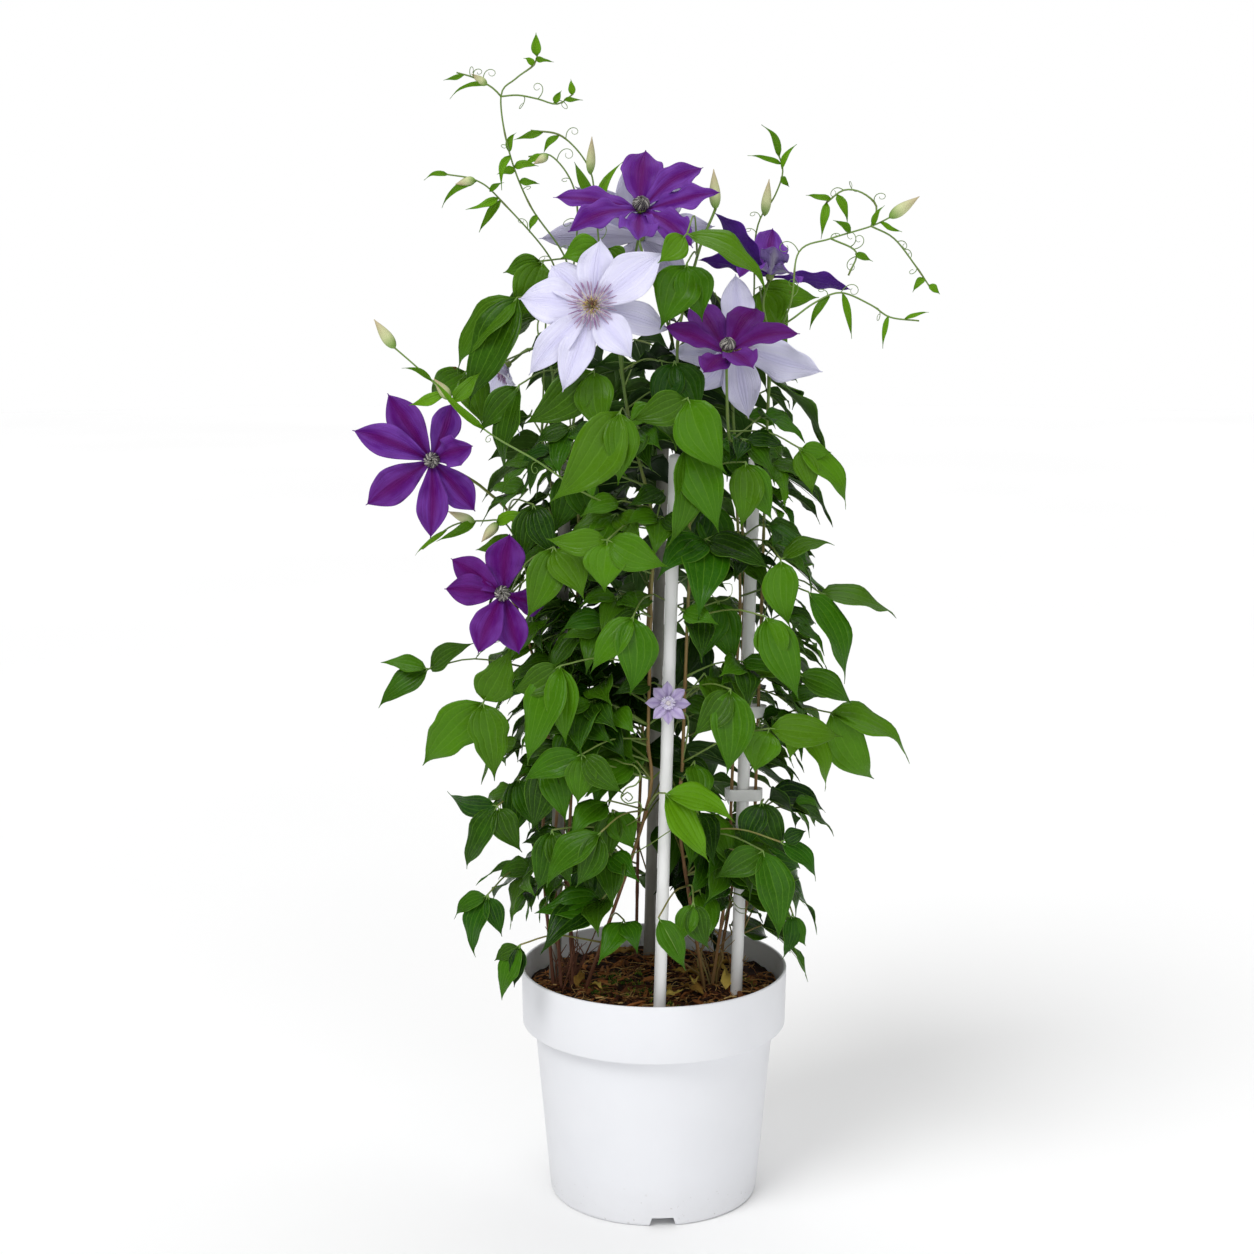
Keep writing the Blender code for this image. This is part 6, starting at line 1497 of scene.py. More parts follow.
@dataclass
class Pot:
    """White nursery pot with a tall rim band and three channels under its floor."""

    finishes: dict[str, Material]
    height: float = 0.203
    rim_radius: float = 0.115
    band_foot: Place = (0.1141, 0.1532)
    neck: Place = (0.1038, 0.1540)
    foot_radius: float = 0.0905
    wall: float = 0.0024
    floor: float = 0.0115
    sides: int = 160
    channels: int = 3
    channel_turn: float = radians(-85.0)
    channel_start: float = 0.052
    channel_length: float = 0.063
    drain_place: float = 0.066
    drain_radius: float = 0.005

    def profile(self) -> list[Place]:
        """Pot's section, from its axis up the inside and down again.

        Returns:
            Radius and height of each point.
        """
        wall, foot, floor = self.wall, self.foot_radius, self.floor
        lip = [(self.rim_radius - wall / 2 + wall / 2 * cos(turn),
                self.height - wall / 2 + wall / 2 * sin(turn))
               for turn in np.linspace(pi, 0.0, 9)]
        band_x, band_z = self.band_foot
        neck_x, neck_z = self.neck
        inside = [(foot - wall - 0.003, floor), (foot - wall - 0.0008, floor + 0.002),
                  (neck_x - wall - 0.0006, neck_z - 0.004),
                  (neck_x - wall - 0.0006, neck_z + 0.0014), (neck_x - wall, neck_z + 0.0023),
                  (band_x - wall - 0.0010, neck_z + 0.0024), (band_x - wall, neck_z + 0.0034)]
        outside = [(band_x, band_z + 0.0010), (band_x - 0.0002, band_z + 0.0004),
                   (band_x - 0.0007, band_z), (band_x - 0.0016, band_z),
                   (neck_x - 0.0002, neck_z + 0.0004), (neck_x - 0.0008, neck_z - 0.0004),
                   (neck_x - 0.0007, neck_z - 0.0016), (neck_x - 0.0001, neck_z - 0.0026),
                   (foot + 0.0001, 0.0045), (foot - 0.0004, 0.0022), (foot - 0.0014, 0.0006),
                   (foot - 0.0028, 0.0)]
        return [(0.0, floor), *inside, *lip, *outside, (0.0, 0.0)]

    def make_body(self) -> bpy.types.Object:
        """Turned body of the pot.

        Returns:
            The body.
        """
        work = bmesh.new()
        points = [work.verts.new((radius, 0.0, height)) for radius, height in self.profile()]
        for start, end in zip(points, points[1:]):
            work.edges.new((start, end))
        bmesh.ops.spin(work, geom=work.verts[:] + work.edges[:], axis=(0, 0, 1), cent=(0, 0, 0),
                       angle=tau, steps=self.sides, use_merge=True)
        bmesh.ops.remove_doubles(work, verts=work.verts, dist=1e-6)
        bmesh.ops.recalc_face_normals(work, faces=work.faces)
        for face in work.faces:
            face.smooth = True
        return from_work("pot_body", work)

    def cut_channels(self, body: bpy.types.Object) -> None:
        """Cut the channels and drain holes out of the floor.

        Args:
            body: the turned pot.
        """
        work = bmesh.new()
        for index in range(self.channels):
            turn = Matrix.Rotation(self.channel_turn + index * tau / self.channels, 4, "Z")
            cube = bmesh.ops.create_cube(work, size=1.0)["verts"]
            for vert in cube:
                top = vert.co.z > 0
                vert.co.x = self.channel_start + self.channel_length * (vert.co.x + 0.5)
                vert.co.y *= 0.018 if top else 0.030
                vert.co.z = 0.008 if top else -0.01
            drain = bmesh.ops.create_cone(
                work, cap_ends=True, segments=28, radius1=self.drain_radius,
                radius2=self.drain_radius, depth=0.03,
                matrix=Matrix.Translation((self.drain_place, 0.0, self.floor)))["verts"]
            bmesh.ops.transform(work, matrix=turn, verts=cube + drain)
        guide = from_work("channel_guide", work)
        cut = body.modifiers.new("channels", "BOOLEAN")
        cut.operation = "DIFFERENCE"
        cut.object = guide
        cut.solver = "EXACT"
        cut.use_self = True
        graph = bpy.context.evaluated_depsgraph_get()
        finished = bpy.data.meshes.new_from_object(body.evaluated_get(graph))
        body.modifiers.clear()
        body.data = finished
        bpy.data.objects.remove(guide)

    def build(self) -> None:
        """Make and dress the pot."""
        body = self.make_body()
        self.cut_channels(body)
        body.data.materials.clear()
        body.data.materials.append(self.finishes["pot_white"])
        body.data.set_sharp_from_angle(angle=radians(35))
        dress(body, ["pot"])


@dataclass
class Soil:
    """Bark and coir mix with what lies on it."""

    finishes: dict[str, Material]
    feet: list[Place]
    level: float = 0.181
    radius: float = 0.1112
    relief: float = 0.0022
    rings: int = 46
    sides: int = 120
    walls: tuple[Place, ...] = ((0.1090, 0.1600), (0.1000, 0.1585), (0.0985, 0.1350),
                                (0.0870, 0.0130), (0.0004, 0.0130))
    chips: int = 680
    fibres: int = 720
    tufts: int = 30
    dropped: int = 11
    seed: int = 41

    def height(self, x: float, y: float) -> float:
        """Height of the soil's top at a place.

        Args:
            x: place to the right of the axis.
            y: place behind the axis.

        Returns:
            The height in metres.
        """
        wave = sin(x * 170 + 1.3) * cos(y * 150 - 0.4)
        wave += 0.6 * sin(x * 310 + y * 270)
        lump = noise.fractal(Vector((x, y, 0.3)) * 90, 1.0, 2.0, 4)
        mound = max(0.0035 * exp(-(hypot(x - foot_x, y - foot_y) / 0.012) ** 2)
                    for foot_x, foot_y in self.feet)
        return self.level + 0.7 * self.relief * wave + 0.0024 * lump + mound

    def scatter(self, draw: Random, margin: float) -> Place:
        """Random place on the soil, some way from the pot's wall."""
        radius = (self.radius - margin) * sqrt(draw.random())
        turn = draw.uniform(0, tau)
        return radius * cos(turn), radius * sin(turn)

    def lay_bed(self) -> None:
        """Lumpy top, sides and underside of the soil."""
        turns = [tau * step / self.sides for step in range(self.sides)]
        rows = []
        for ring in range(self.rings + 1):
            reach = self.radius * max(0.004, ring / self.rings)
            for turn in turns:
                x, y = reach * cos(turn), reach * sin(turn)
                rows.append((x, y, self.height(x, y)))
        rows += [(radius * cos(turn), radius * sin(turn), height)
                 for radius, height in self.walls for turn in turns]
        places = np.zeros((len(rows), 3))
        places[:, 2] = 0.48
        patch = Patch()
        patch.add(np.array(rows), ring_quads(self.rings + len(self.walls), self.sides, False),
                  places, np.zeros((len(rows), 3)))
        patch.build("soil_bed", "soil", [self.finishes["soil_dark"]], ["soil"])

    def lay_chips(self) -> None:
        """Splinters and flakes of bark, each its own shape."""
        patch = Patch()
        draw = Random(self.seed)
        for _ in range(self.chips):
            length = draw.choice((0.005, 0.008, 0.011, 0.016, 0.022)) * draw.uniform(0.8, 1.25)
            wide = min(0.0046, length * draw.uniform(0.14, 0.34))
            x, y = self.scatter(draw, 0.003 + length / 2)
            middle = Vector((x, y, self.height(x, y) + draw.uniform(-0.0008, 0.0022)))
            turn = draw.uniform(0, tau)
            lead = Vector((cos(turn), sin(turn), draw.gauss(0, 0.22))).normalized()
            bow = UP * draw.uniform(-0.10, 0.22) * length
            points = [middle + lead * (t - 0.5) * length + bow * (4 * t * (1 - t) - 0.5)
                      for t in (0.0, 0.12, 0.45, 0.75, 0.93, 1.0)]
            radii = [wide * share * draw.uniform(0.7, 1.25)
                     for share in (0.25, 0.42, 0.52, 0.46, 0.36, 0.16)]
            patch.add_tube(points, radii, 6, PLAIN, draw.random(), 0.0, draw.uniform(0.25, 0.6))
        patch.build("soil_bark", "soil", [self.finishes["bark"]])

    def lay_fibres(self) -> None:
        """Thin curled coir fibres and straws."""
        patch = Patch()
        draw = Random(self.seed + 1)
        for _ in range(self.fibres):
            length = draw.uniform(0.010, 0.036)
            x, y = self.scatter(draw, 0.006)
            spot = Vector((x, y, self.height(x, y) + 0.0022))
            heading = draw.uniform(0, tau)
            climb = draw.uniform(-0.1, 0.5)
            points = []
            for _ in range(6):
                points.append(spot)
                heading += draw.gauss(0, 0.34)
                climb -= 0.15
                spot = spot + Vector((cos(heading), sin(heading), climb)) * length / 6
                edge = hypot(spot.x, spot.y)
                if edge > self.radius - 0.003:
                    spot *= (self.radius - 0.003) / edge
                spot.z = min(max(spot.z, self.height(spot.x, spot.y) + 0.0006), 0.196)
            radius = draw.choice((0.00028, 0.00042, 0.00075))
            patch.add_tube(points, (radius, radius * 0.6), 4, PLAIN, draw.random())
        patch.build("soil_fibres", "soil", [self.finishes["fibre"]])

    def lay_moss(self) -> None:
        """Low green tufts between the bark."""
        patch = Patch()
        draw = Random(self.seed + 2)
        for index in range(self.tufts):
            x, y = self.scatter(draw, 0.012)
            if index % 2:
                x, y = draw.gauss(-0.030, 0.014), draw.gauss(-0.012, 0.016)
            for _ in range(16):
                near_x, near_y = x + draw.gauss(0, 0.003), y + draw.gauss(0, 0.003)
                foot = Vector((near_x, near_y, self.height(near_x, near_y)))
                lean = Vector((draw.gauss(0, 0.5), draw.gauss(0, 0.5), 1.0)).normalized()
                tip = foot + lean * draw.uniform(0.0025, 0.0060)
                patch.add_tube((foot, foot.lerp(tip, 0.5), tip), (0.0006, 0.0005, 0.0001), 4,
                               PLAIN, draw.random())
        patch.build("soil_moss", "soil", [self.finishes["moss"]])

    def lay_litter(self) -> None:
        """Withered leaves that have dropped."""
        patch = Patch()
        draw = Random(self.seed + 3)
        for index in range(self.dropped):
            x, y = self.scatter(draw, 0.022)
            if index % 2:
                x, y = abs(x) * 0.8, -abs(y) * 0.6
            turn = draw.uniform(0, tau)
            length = draw.uniform(0.014, 0.030)
            start = Vector((x, y, self.height(x, y) + 0.0035))
            lead = Vector((cos(turn), sin(turn), draw.uniform(-0.1, 0.35)))
            blade = Blade(start, start + lead.normalized() * length, length * 0.42,
                          UP + lead * 0.2, SMALL_ROWS, 0.6, 0.15)
            patch.add_grid(*LITTER_FORM.shape(blade, draw), draw.random(), PLAIN)
        patch.build("soil_litter", "soil", [self.finishes["withered"]], thickness=0.0004)

    def lay_petal(self) -> None:
        """Curled purple petal that lies near the back of the rim."""
        patch = Patch()
        start = Vector((0.024, 0.072, self.height(0.024, 0.072) + 0.004))
        blade = Blade(start, start + Vector((-0.010, -0.008, 0.010)), 0.011,
                      Vector((0.1, -1.0, 0.6)), SMALL_ROWS, 0.9, 0.25)
        patch.add_grid(*LILAC_FORM.shape(blade, Random(self.seed + 4)), 0.4, (1.0, 0.0, 1.0))
        patch.build("fallen_petal", "purple", [self.finishes["petal_purple"]], thickness=0.0004)

    def build(self) -> None:
        """Make and dress the soil and all that lies on it."""
        for lay in (self.lay_bed, self.lay_chips, self.lay_fibres, self.lay_moss,
                    self.lay_litter, self.lay_petal):
            lay()


@dataclass(frozen=True)
class Clip:
    """Flat loop round a stake and stems: its name, middle and size in cm."""

    name: str
    middle: Spot
    length: float
    width: float
    wall: float = 0.0012
    height: float = 0.010

    def outline(self, shrink: float, steps: int) -> list[Place]:
        """Flat loop with round ends.

        Args:
            shrink: how much smaller it is than the clip.
            steps: steps of each round end.

        Returns:
            The loop's points.
        """
        x, y, _ = self.middle
        radius = (self.width * CM - shrink) / 2
        reach = (self.length * CM - shrink) / 2 - radius
        points = []
        for end, turn in ((reach, -90), (-reach, 90)):
            for index in range(steps + 1):
                angle = radians(turn + 180 * index / steps)
                points.append((x * CM + (end + radius * cos(angle)),
                               y * CM + radius * sin(angle)))
        return points

    def shells(self) -> list[Shell]:
        """Space of the clip's wall.

        Returns:
            Short straight stretches.
        """
        shells = []
        outline = self.outline(self.wall, 5)
        for start, end in zip(outline, outline[1:] + outline[:1]):
            low = Vector((*start, self.middle[2] * CM - self.height / 2))
            high = Vector((*end, low.z))
            rise = UP * self.height
            lift = across(high - low, UP).cross(UP) * (self.wall / 2 + CLEARANCE)
            shells.append(thick([low, high, high + rise, low + rise], [(0, 1, 2, 3)], lift))
        return shells

    def build(self, finish: Material) -> None:
        """Make and dress the clip, with a softened edge."""
        half = self.height / 2
        work = bmesh.new()
        loops = [[work.verts.new((*place, self.middle[2] * CM + height))
                  for place in self.outline(shrink, 14)]
                 for shrink, height in ((0.0, -half), (0.0, half), (2 * self.wall, half),
                                        (2 * self.wall, -half))]
        for first, second in zip(loops, loops[1:] + loops[:1]):
            for index in range(len(first)):
                after = (index + 1) % len(first)
                work.faces.new((first[index], first[after], second[after], second[index]))
        bmesh.ops.recalc_face_normals(work, faces=work.faces)
        piece = from_work(self.name + "_loop", work)
        piece.data.shade_smooth()
        piece.data.materials.append(finish)
        soft = piece.modifiers.new("edge", "BEVEL")
        soft.width = 0.0003
        soft.segments = 2
        soft.limit_method = "ANGLE"
        dress(piece, [self.name])


@dataclass
class Supports:
    """White stakes and the flat clips that hold the stems to the right one."""

    finishes: dict[str, Material]
    radius: float = 0.0052
    foot: float = 0.115
    tip: float = 0.35
    painted_shade_stakes: tuple[str, ...] = ("back", "left")
    clips: tuple[Clip, ...] = (Clip("clip_low", (7.60, -1.80, 35.9), 3.2, 1.34),
                               Clip("clip_high", (8.22, -1.80, 43.1), 2.5, 1.34))

    def build(self) -> None:
        """Rods with rounded tops, a little uneven along their length, and the clips."""
        for name, (_, _, top) in STAKES.items():
            draw = Random(len(name) * 13)
            heights = np.linspace(self.foot / CM, top - self.tip, 60)
            points = [stake_at(name, height) for height in heights]
            radii = [self.radius * (0.985 + draw.uniform(-0.012, 0.012)) for _ in heights]
            for share in (0.25, 0.5, 0.75, 0.92, 1.0):
                points.append(stake_at(name, top - self.tip * (1 - share)))
                radii.append(self.radius * sqrt(max(0.02, 1 - share ** 2.6)))
            patch = Patch()
            patch.add_tube(points, radii, 32)
            # The back and left stakes take the darkened white plastic, which is painted shade.
            finish = "stake_painted_shade" if name in self.painted_shade_stakes else "stake_white"
            patch.build(f"stake_{name}_rod", "stake_plastic", [self.finishes[finish]],
                        [f"stake_{name}"])
        for clip in self.clips:
            clip.build(self.finishes["stake_white"])


@dataclass
class Stamens:
    """Stamens of one bloom, round its middle."""

    centre: Vector
    facing: Vector
    size: float
    draw: Random
    patch: Patch = field(default_factory=Patch)

    def outward(self, turn: float) -> Vector:
        """Way out from the middle at an angle round it."""
        return Matrix.Rotation(turn, 3, self.facing) @ self.facing.orthogonal().normalized()

    def add(self, points: list[Vector], radii: Place, share: float, tint: float,
            gold: float = 0.0, red: float = 0.0) -> None:
        """One stamen: a thin thread that ends in a longer, thicker anther.

        Args:
            points: points of its line.
            radii: radius of its thread and of its anther.
            share: share of the length where the anther starts.
            tint: its own tint.
            gold: how yellow it is.
            red: how red-brown it is.
        """
        line = smooth(points, (points[-1] - points[0]).length / 6)
        shares = np.linspace(0, 1, len(line))
        swell = np.clip((shares - share) / 0.12, 0, 1)
        sizes = radii[0] + (radii[1] - radii[0]) * swell
        sizes[-1] *= 0.45
        tones = np.stack((swell, np.full(len(line), gold), red * shares), axis=1)
        self.patch.add_tube(line, sizes, 6, tones, tint, 0.0, 0.7)

    def add_button(self) -> None:
        """Stamens that close over the middle into a round button."""
        draw, facing = self.draw, self.facing
        base = self.centre + facing * 0.0004
        wide = self.size * 0.68
        for ring, count, reach, rise in ((0, 20, 1.0, 0.82), (1, 15, 0.74, 1.00),
                                         (2, 10, 0.46, 1.10), (3, 5, 0.20, 1.14)):
            for index in range(count):
                turn = tau * (index + 0.5 * (ring % 2)) / count + draw.uniform(-0.05, 0.05)
                out = self.outward(turn)
                swirl = facing.cross(out)
                high = self.size * rise * draw.uniform(0.93, 1.05)
                points = [base + out * wide * 0.30 * reach,
                          base + out * wide * 0.95 * reach + facing * high * 0.35,
                          base + out * wide * reach * 0.92 + facing * high * 0.72
                          + swirl * wide * 0.06,
                          base + out * wide * reach * 0.45 + facing * high + swirl * wide * 0.22]
                self.add(points, (0.00035, 0.00066), 0.30,
                         (0.9 if index % 2 else 0.2) * draw.random())

    def add_tuft(self, spotted: bool) -> None:
        """Stamens that stand open round a yellow middle.

        Args:
            spotted: whether the middle is spotted with red-brown.
        """
        draw, facing, size = self.draw, self.facing, self.size
        base = self.centre + facing * 0.0006
        for ring, count, lean, length in ((0, 26, 1.26, 1.35), (1, 24, 1.08, 1.22),
                                          (2, 20, 0.82, 1.02), (3, 14, 0.52, 0.82)):
            for index in range(count):
                out = self.outward(tau * (index + 0.37 * ring) / count
                                   + draw.uniform(-0.10, 0.10))
                tilt = lean + draw.uniform(-0.12, 0.08)
                lead = facing * cos(tilt) + out * sin(tilt)
                reach = size * length * draw.uniform(0.86, 1.1)
                start = base + out * 0.0016
                self.add([start, start + lead * reach * 0.5 + facing * reach * 0.07,
                          start + lead * reach], (0.00030, 0.00058), 0.52, draw.random())
        lump = size * 0.34
        for _ in range(96):
            out = self.outward(draw.uniform(0, tau))
            far = sqrt(draw.random())
            start = base + out * lump * far
            rise = size * (0.60 - 0.22 * far * far) * draw.uniform(0.85, 1.1)
            top = start + facing * rise + out * lump * 0.5 * far
            middle = far < 0.62 and draw.random() < 0.55
            gold = (0.40 if middle else 0.90) if spotted else 0.15
            self.add([start, (start + top) / 2, top], (0.00045, 0.00060), 2.0, 0.1, gold,
                     1.0 if middle and spotted else 0.0)


@dataclass
class BloomHead:
    """One bloom: its cup, petals and stamens."""

    bloom: Bloom
    finishes: dict[str, Material]
    cup_radius: float = 0.0048
    cup_length: float = 0.0070
    petal_place: float = 0.0034
    petal_drop: float = 0.0024
    petal_fold: float = 0.14
    stalk_run: float = 0.0227

    def __post_init__(self) -> None:
        self.centre = seen(*self.bloom.place, self.bloom.depth)
        self.facing = Vector(self.bloom.facing).normalized()
        self.small = self.bloom.hue is Hue.LILAC
        self.scale = 0.5 if self.small else 1.0

    def stalk_end(self) -> list[Vector]:
        """Last two points of the bloom's stalk."""
        seat = self.centre - self.facing * (self.cup_length + GAP)
        return [seat - self.facing * self.stalk_run * self.scale, seat]

    def petal_blades(self) -> list[Blade]:
        """Blades of the petals.

        Returns:
            The blades, from the middle to their tips.
        """
        blades = []
        for index, (x, z, depth, width) in enumerate(self.bloom.petals):
            tip = seen(x, z, depth)
            outward = across(tip - self.centre, self.facing)
            layer = 0.0006 if index % 2 else -0.0008
            base = (self.centre + outward * self.petal_place * self.scale
                    + self.facing * (layer - self.petal_drop))
            steep = max(0.0, (tip - base).normalized().dot(self.facing))
            arch = (0.12 if index % 2 else 0.05) * (1 - steep)
            rows = SMALL_PETAL_ROWS if self.small else PETAL_ROWS
            blades.append(Blade(base, tip, width * CM, self.facing, rows, self.petal_fold, arch))
        return blades

    def take_space(self, space: Space) -> None:
        """Take up the bloom's space.

        Args:
            space: what is taken up already.
        """
        name = self.bloom.name
        for blade in self.petal_blades():
            space.add(blade.shell(0.0011 if self.small else 0.0030), name, "petal")
        centre, facing = self.centre, self.facing
        space.add_long([centre - facing * self.cup_length, centre], self.cup_radius, name, "petal")
        size = self.bloom.tuft * CM
        spread = 0.9 if self.bloom.tuft > 1.2 else 0.55
        base = centre + facing * GAP
        space.add_long([base, base + facing * size],
                       min(0.0036, size * 0.42) + size * spread * 0.7, name, "petal")

    def build(self) -> None:
        """Petals with lines and ruffled edges, the green cup and the stamens."""
        bloom, hue = self.bloom, self.bloom.hue
        patch = Patch()
        draw = chance(bloom.name)
        for index, blade in enumerate(self.petal_blades()):
            blade.fold *= 1.0 + 0.5 * (index % 2)
            grid, places = PETAL_FORMS[hue].shape(blade, draw,
                                                  bloom.ruffle * draw.uniform(1.3, 2.4))
            warmth = min(1.0, max(0.0, bloom.warmth + draw.uniform(-0.15, 0.15)))
            turned = 0.0 if index in bloom.unturned else 1.0
            patch.add_grid(grid, places, draw.random(), (warmth, 0.0, turned))
        sides = [f"petal_{hue.value}", f"petal_{hue.value}{'' if self.small else '_back'}"]
        patch.build(bloom.name + "_petals", hue.value, [self.finishes[side] for side in sides],
                    [bloom.name], 0.0004)
        cup = Patch()
        points = [self.centre - self.facing * self.cup_length * (1 - share)
                  for share in (0.0, 0.15, 0.4, 0.7, 0.93)]
        radii = [self.cup_radius * self.scale * wide for wide in (0.42, 0.56, 0.70, 0.86, 0.90)]
        cup.add_tube(points, radii, 16, (0.25, 0.1, 0.0))
        cup.build(bloom.name + "_cup", "leaf_green", [self.finishes["stem"]])
        stamens = Stamens(self.centre, self.facing, bloom.tuft * CM, chance(bloom.name, 5))
        if hue is Hue.PURPLE:
            stamens.add_button()
        else:
            stamens.add_tuft(hue is Hue.WHITE)
        finish = {Hue.PURPLE: "stamens_dark", Hue.WHITE: "stamens_open",
                  Hue.LILAC: "stamens_pale"}[hue]
        stamens.patch.build(bloom.name + "_threads", "stamens", [self.finishes[finish]],
                            [bloom.name + "_stamens"])


@dataclass
class LeafPlan:
    """Leaf that has found its place: its stalk, its leaflets, its age and its form."""

    stalk: list[Vector]
    blades: list[Blade]
    youth: float
    form: BladeForm = LEAF_FORM


@dataclass
class Climber:
    """One vine's pieces: its stems, with the radii of their ends, leaves, leaflets and buds."""

    name: str
    finishes: dict[str, Material]
    branches: list[list[Vector]]
    lines: list[tuple[list[Vector], Place]]
    leaves: list[LeafPlan] = field(default_factory=list)
    small: list[Blade] = field(default_factory=list)
    buds: list[tuple[Vector, Vector, float]] = field(default_factory=list)
    front_end: float = -0.1590
    top_end: float = 0.9883
    joint_step: float = 0.055
    dry_share: float = 0.06

    def add_stalk(self, patch: Patch, plan: LeafPlan, draw: Random) -> None:
        """Round leaf stalk and the ribs that carry the leaflets.

        Args:
            patch: where they go.
            plan: the leaf.
            draw: source of chance.
        """
        end = plan.stalk[-1]
        line = smooth(plan.stalk, (end - plan.stalk[0]).length / 9)
        low = min(1.0, max(0.0, (0.42 - end.z) / 0.18))
        age = 0.05 + 0.20 * draw.random() + 0.25 * low
        patch.add_tube(line, (0.00095, 0.00070, 0.00075), 7, (age, 0.4, 0.0), draw.random())
        for blade in plan.blades:
            spots = [end] + [blade.spine(share) - blade.normal * 0.0004
                             for share in (0.02, 0.2, 0.42, 0.66)]
            patch.add_tube(spots, (0.00070, 0.00062, 0.00045, 0.00032, 0.00015), 5,
                           (0.12, 0.1, 0.0), draw.random())

    def make_stems(self) -> None:
        """Stems with swollen joints, shoots and leaf stalks."""
        patch = Patch()
        draw = chance(self.name)
        for index, (line, ends) in enumerate(self.lines):
            heights = np.array([point.z for point in line])
            joints = np.exp(-(((heights / self.joint_step) % 1.0 - 0.5) / 0.07) ** 2)
            radii = np.interp(np.linspace(0, 1, len(line)), (0, 1), ends) * (1 + 0.28 * joints)
            foot_age = 0.70 if "right" in self.name else 0.95
            age = np.interp(heights, (0.18, 0.30, 0.55, 0.72), (foot_age, 0.80, 0.42, 0.10))
            tones = np.stack((age * 0.3 if index else age, 0.25 + 0.5 * joints,
                              np.zeros(len(line))), axis=1)
            patch.add_tube(line, radii, 12, tones, draw.random(), 0.05)
        for plan in self.leaves:
            self.add_stalk(patch, plan, draw)
        patch.build(self.name + "_stems", "leaf_green", [self.finishes["stem"]], [self.name])

    def kept_inside(self, grid: Array) -> Array:
        """Blade drawn back to where the plant's front and top end.

        Args:
            grid: points of the blade, from its base to its tip.

        Returns:
            The points, all inside.
        """
        past = max(0.0, self.front_end - grid[..., 1].min())
        shares = np.linspace(0.0, 1.0, len(grid))[:, None]
        grid[..., 1] = np.maximum(grid[..., 1] + past * shares, self.front_end)
        grid[..., 2] = np.minimum(grid[..., 2], self.top_end)
        return grid

    def make_leaves(self) -> None:
        """Leaflets, with painted shade that darkens them towards the middle of the column, and
        those of the side shoots.
        """
        patch = Patch()
        draw = chance(self.name, 3)
        for plan in self.leaves:
            for blade in plan.blades:
                grid, places = plan.form.shape(blade, draw)
                youth = max(0.0, 0.68 * plan.youth + draw.uniform(-0.08, 0.12))
                dry = 1.0 if draw.random() < self.dry_share else 0.0
                middle = blade.spine(0.5)
                # Painted shade: the nearer a leaflet lies to the pot's axis, the darker it is
                # painted.
                painted_shade = 0.92 * min(1.0, max(0.0, 0.094 - hypot(middle.x, middle.y)) / 0.050)
                patch.add_grid(self.kept_inside(grid), places, draw.random(),
                               (youth, dry, painted_shade))
        for blade in self.small:
            blade.half *= 0.74
            blade.fold = 0.55
            grid, places = SMALL_FORM.shape(blade, draw)
            patch.add_grid(self.kept_inside(grid), places, draw.random(),
                           (draw.uniform(0.40, 0.85), 0.0, 0.0))
        sides = [self.finishes["leaf_upper"], self.finishes["leaf_under"]]
        patch.build(self.name + "_leaves", "leaf_green", sides, [self.name], 0.00035)

    def build(self) -> None:
        """Stems, leaves and pointed buds."""
        self.make_stems()
        self.make_leaves()
        patch = Patch()
        shares = np.linspace(0, 1, 15)
        shape = np.sin(pi * np.clip(shares, 0, 1) ** 0.72) ** 0.9
        for index, (base, tip, radius) in enumerate(self.buds):
            radii = np.maximum(radius * shape * (1.08 - 0.30 * shares), 0.00030)
            patch.add_tube([base.lerp(tip, share) for share in shares], radii, 12, PLAIN,
                           0.3 + 0.1 * index, 0.05)
        if self.buds:
            patch.build(self.name + "_buds", "leaf_green", [self.finishes["bud"]])


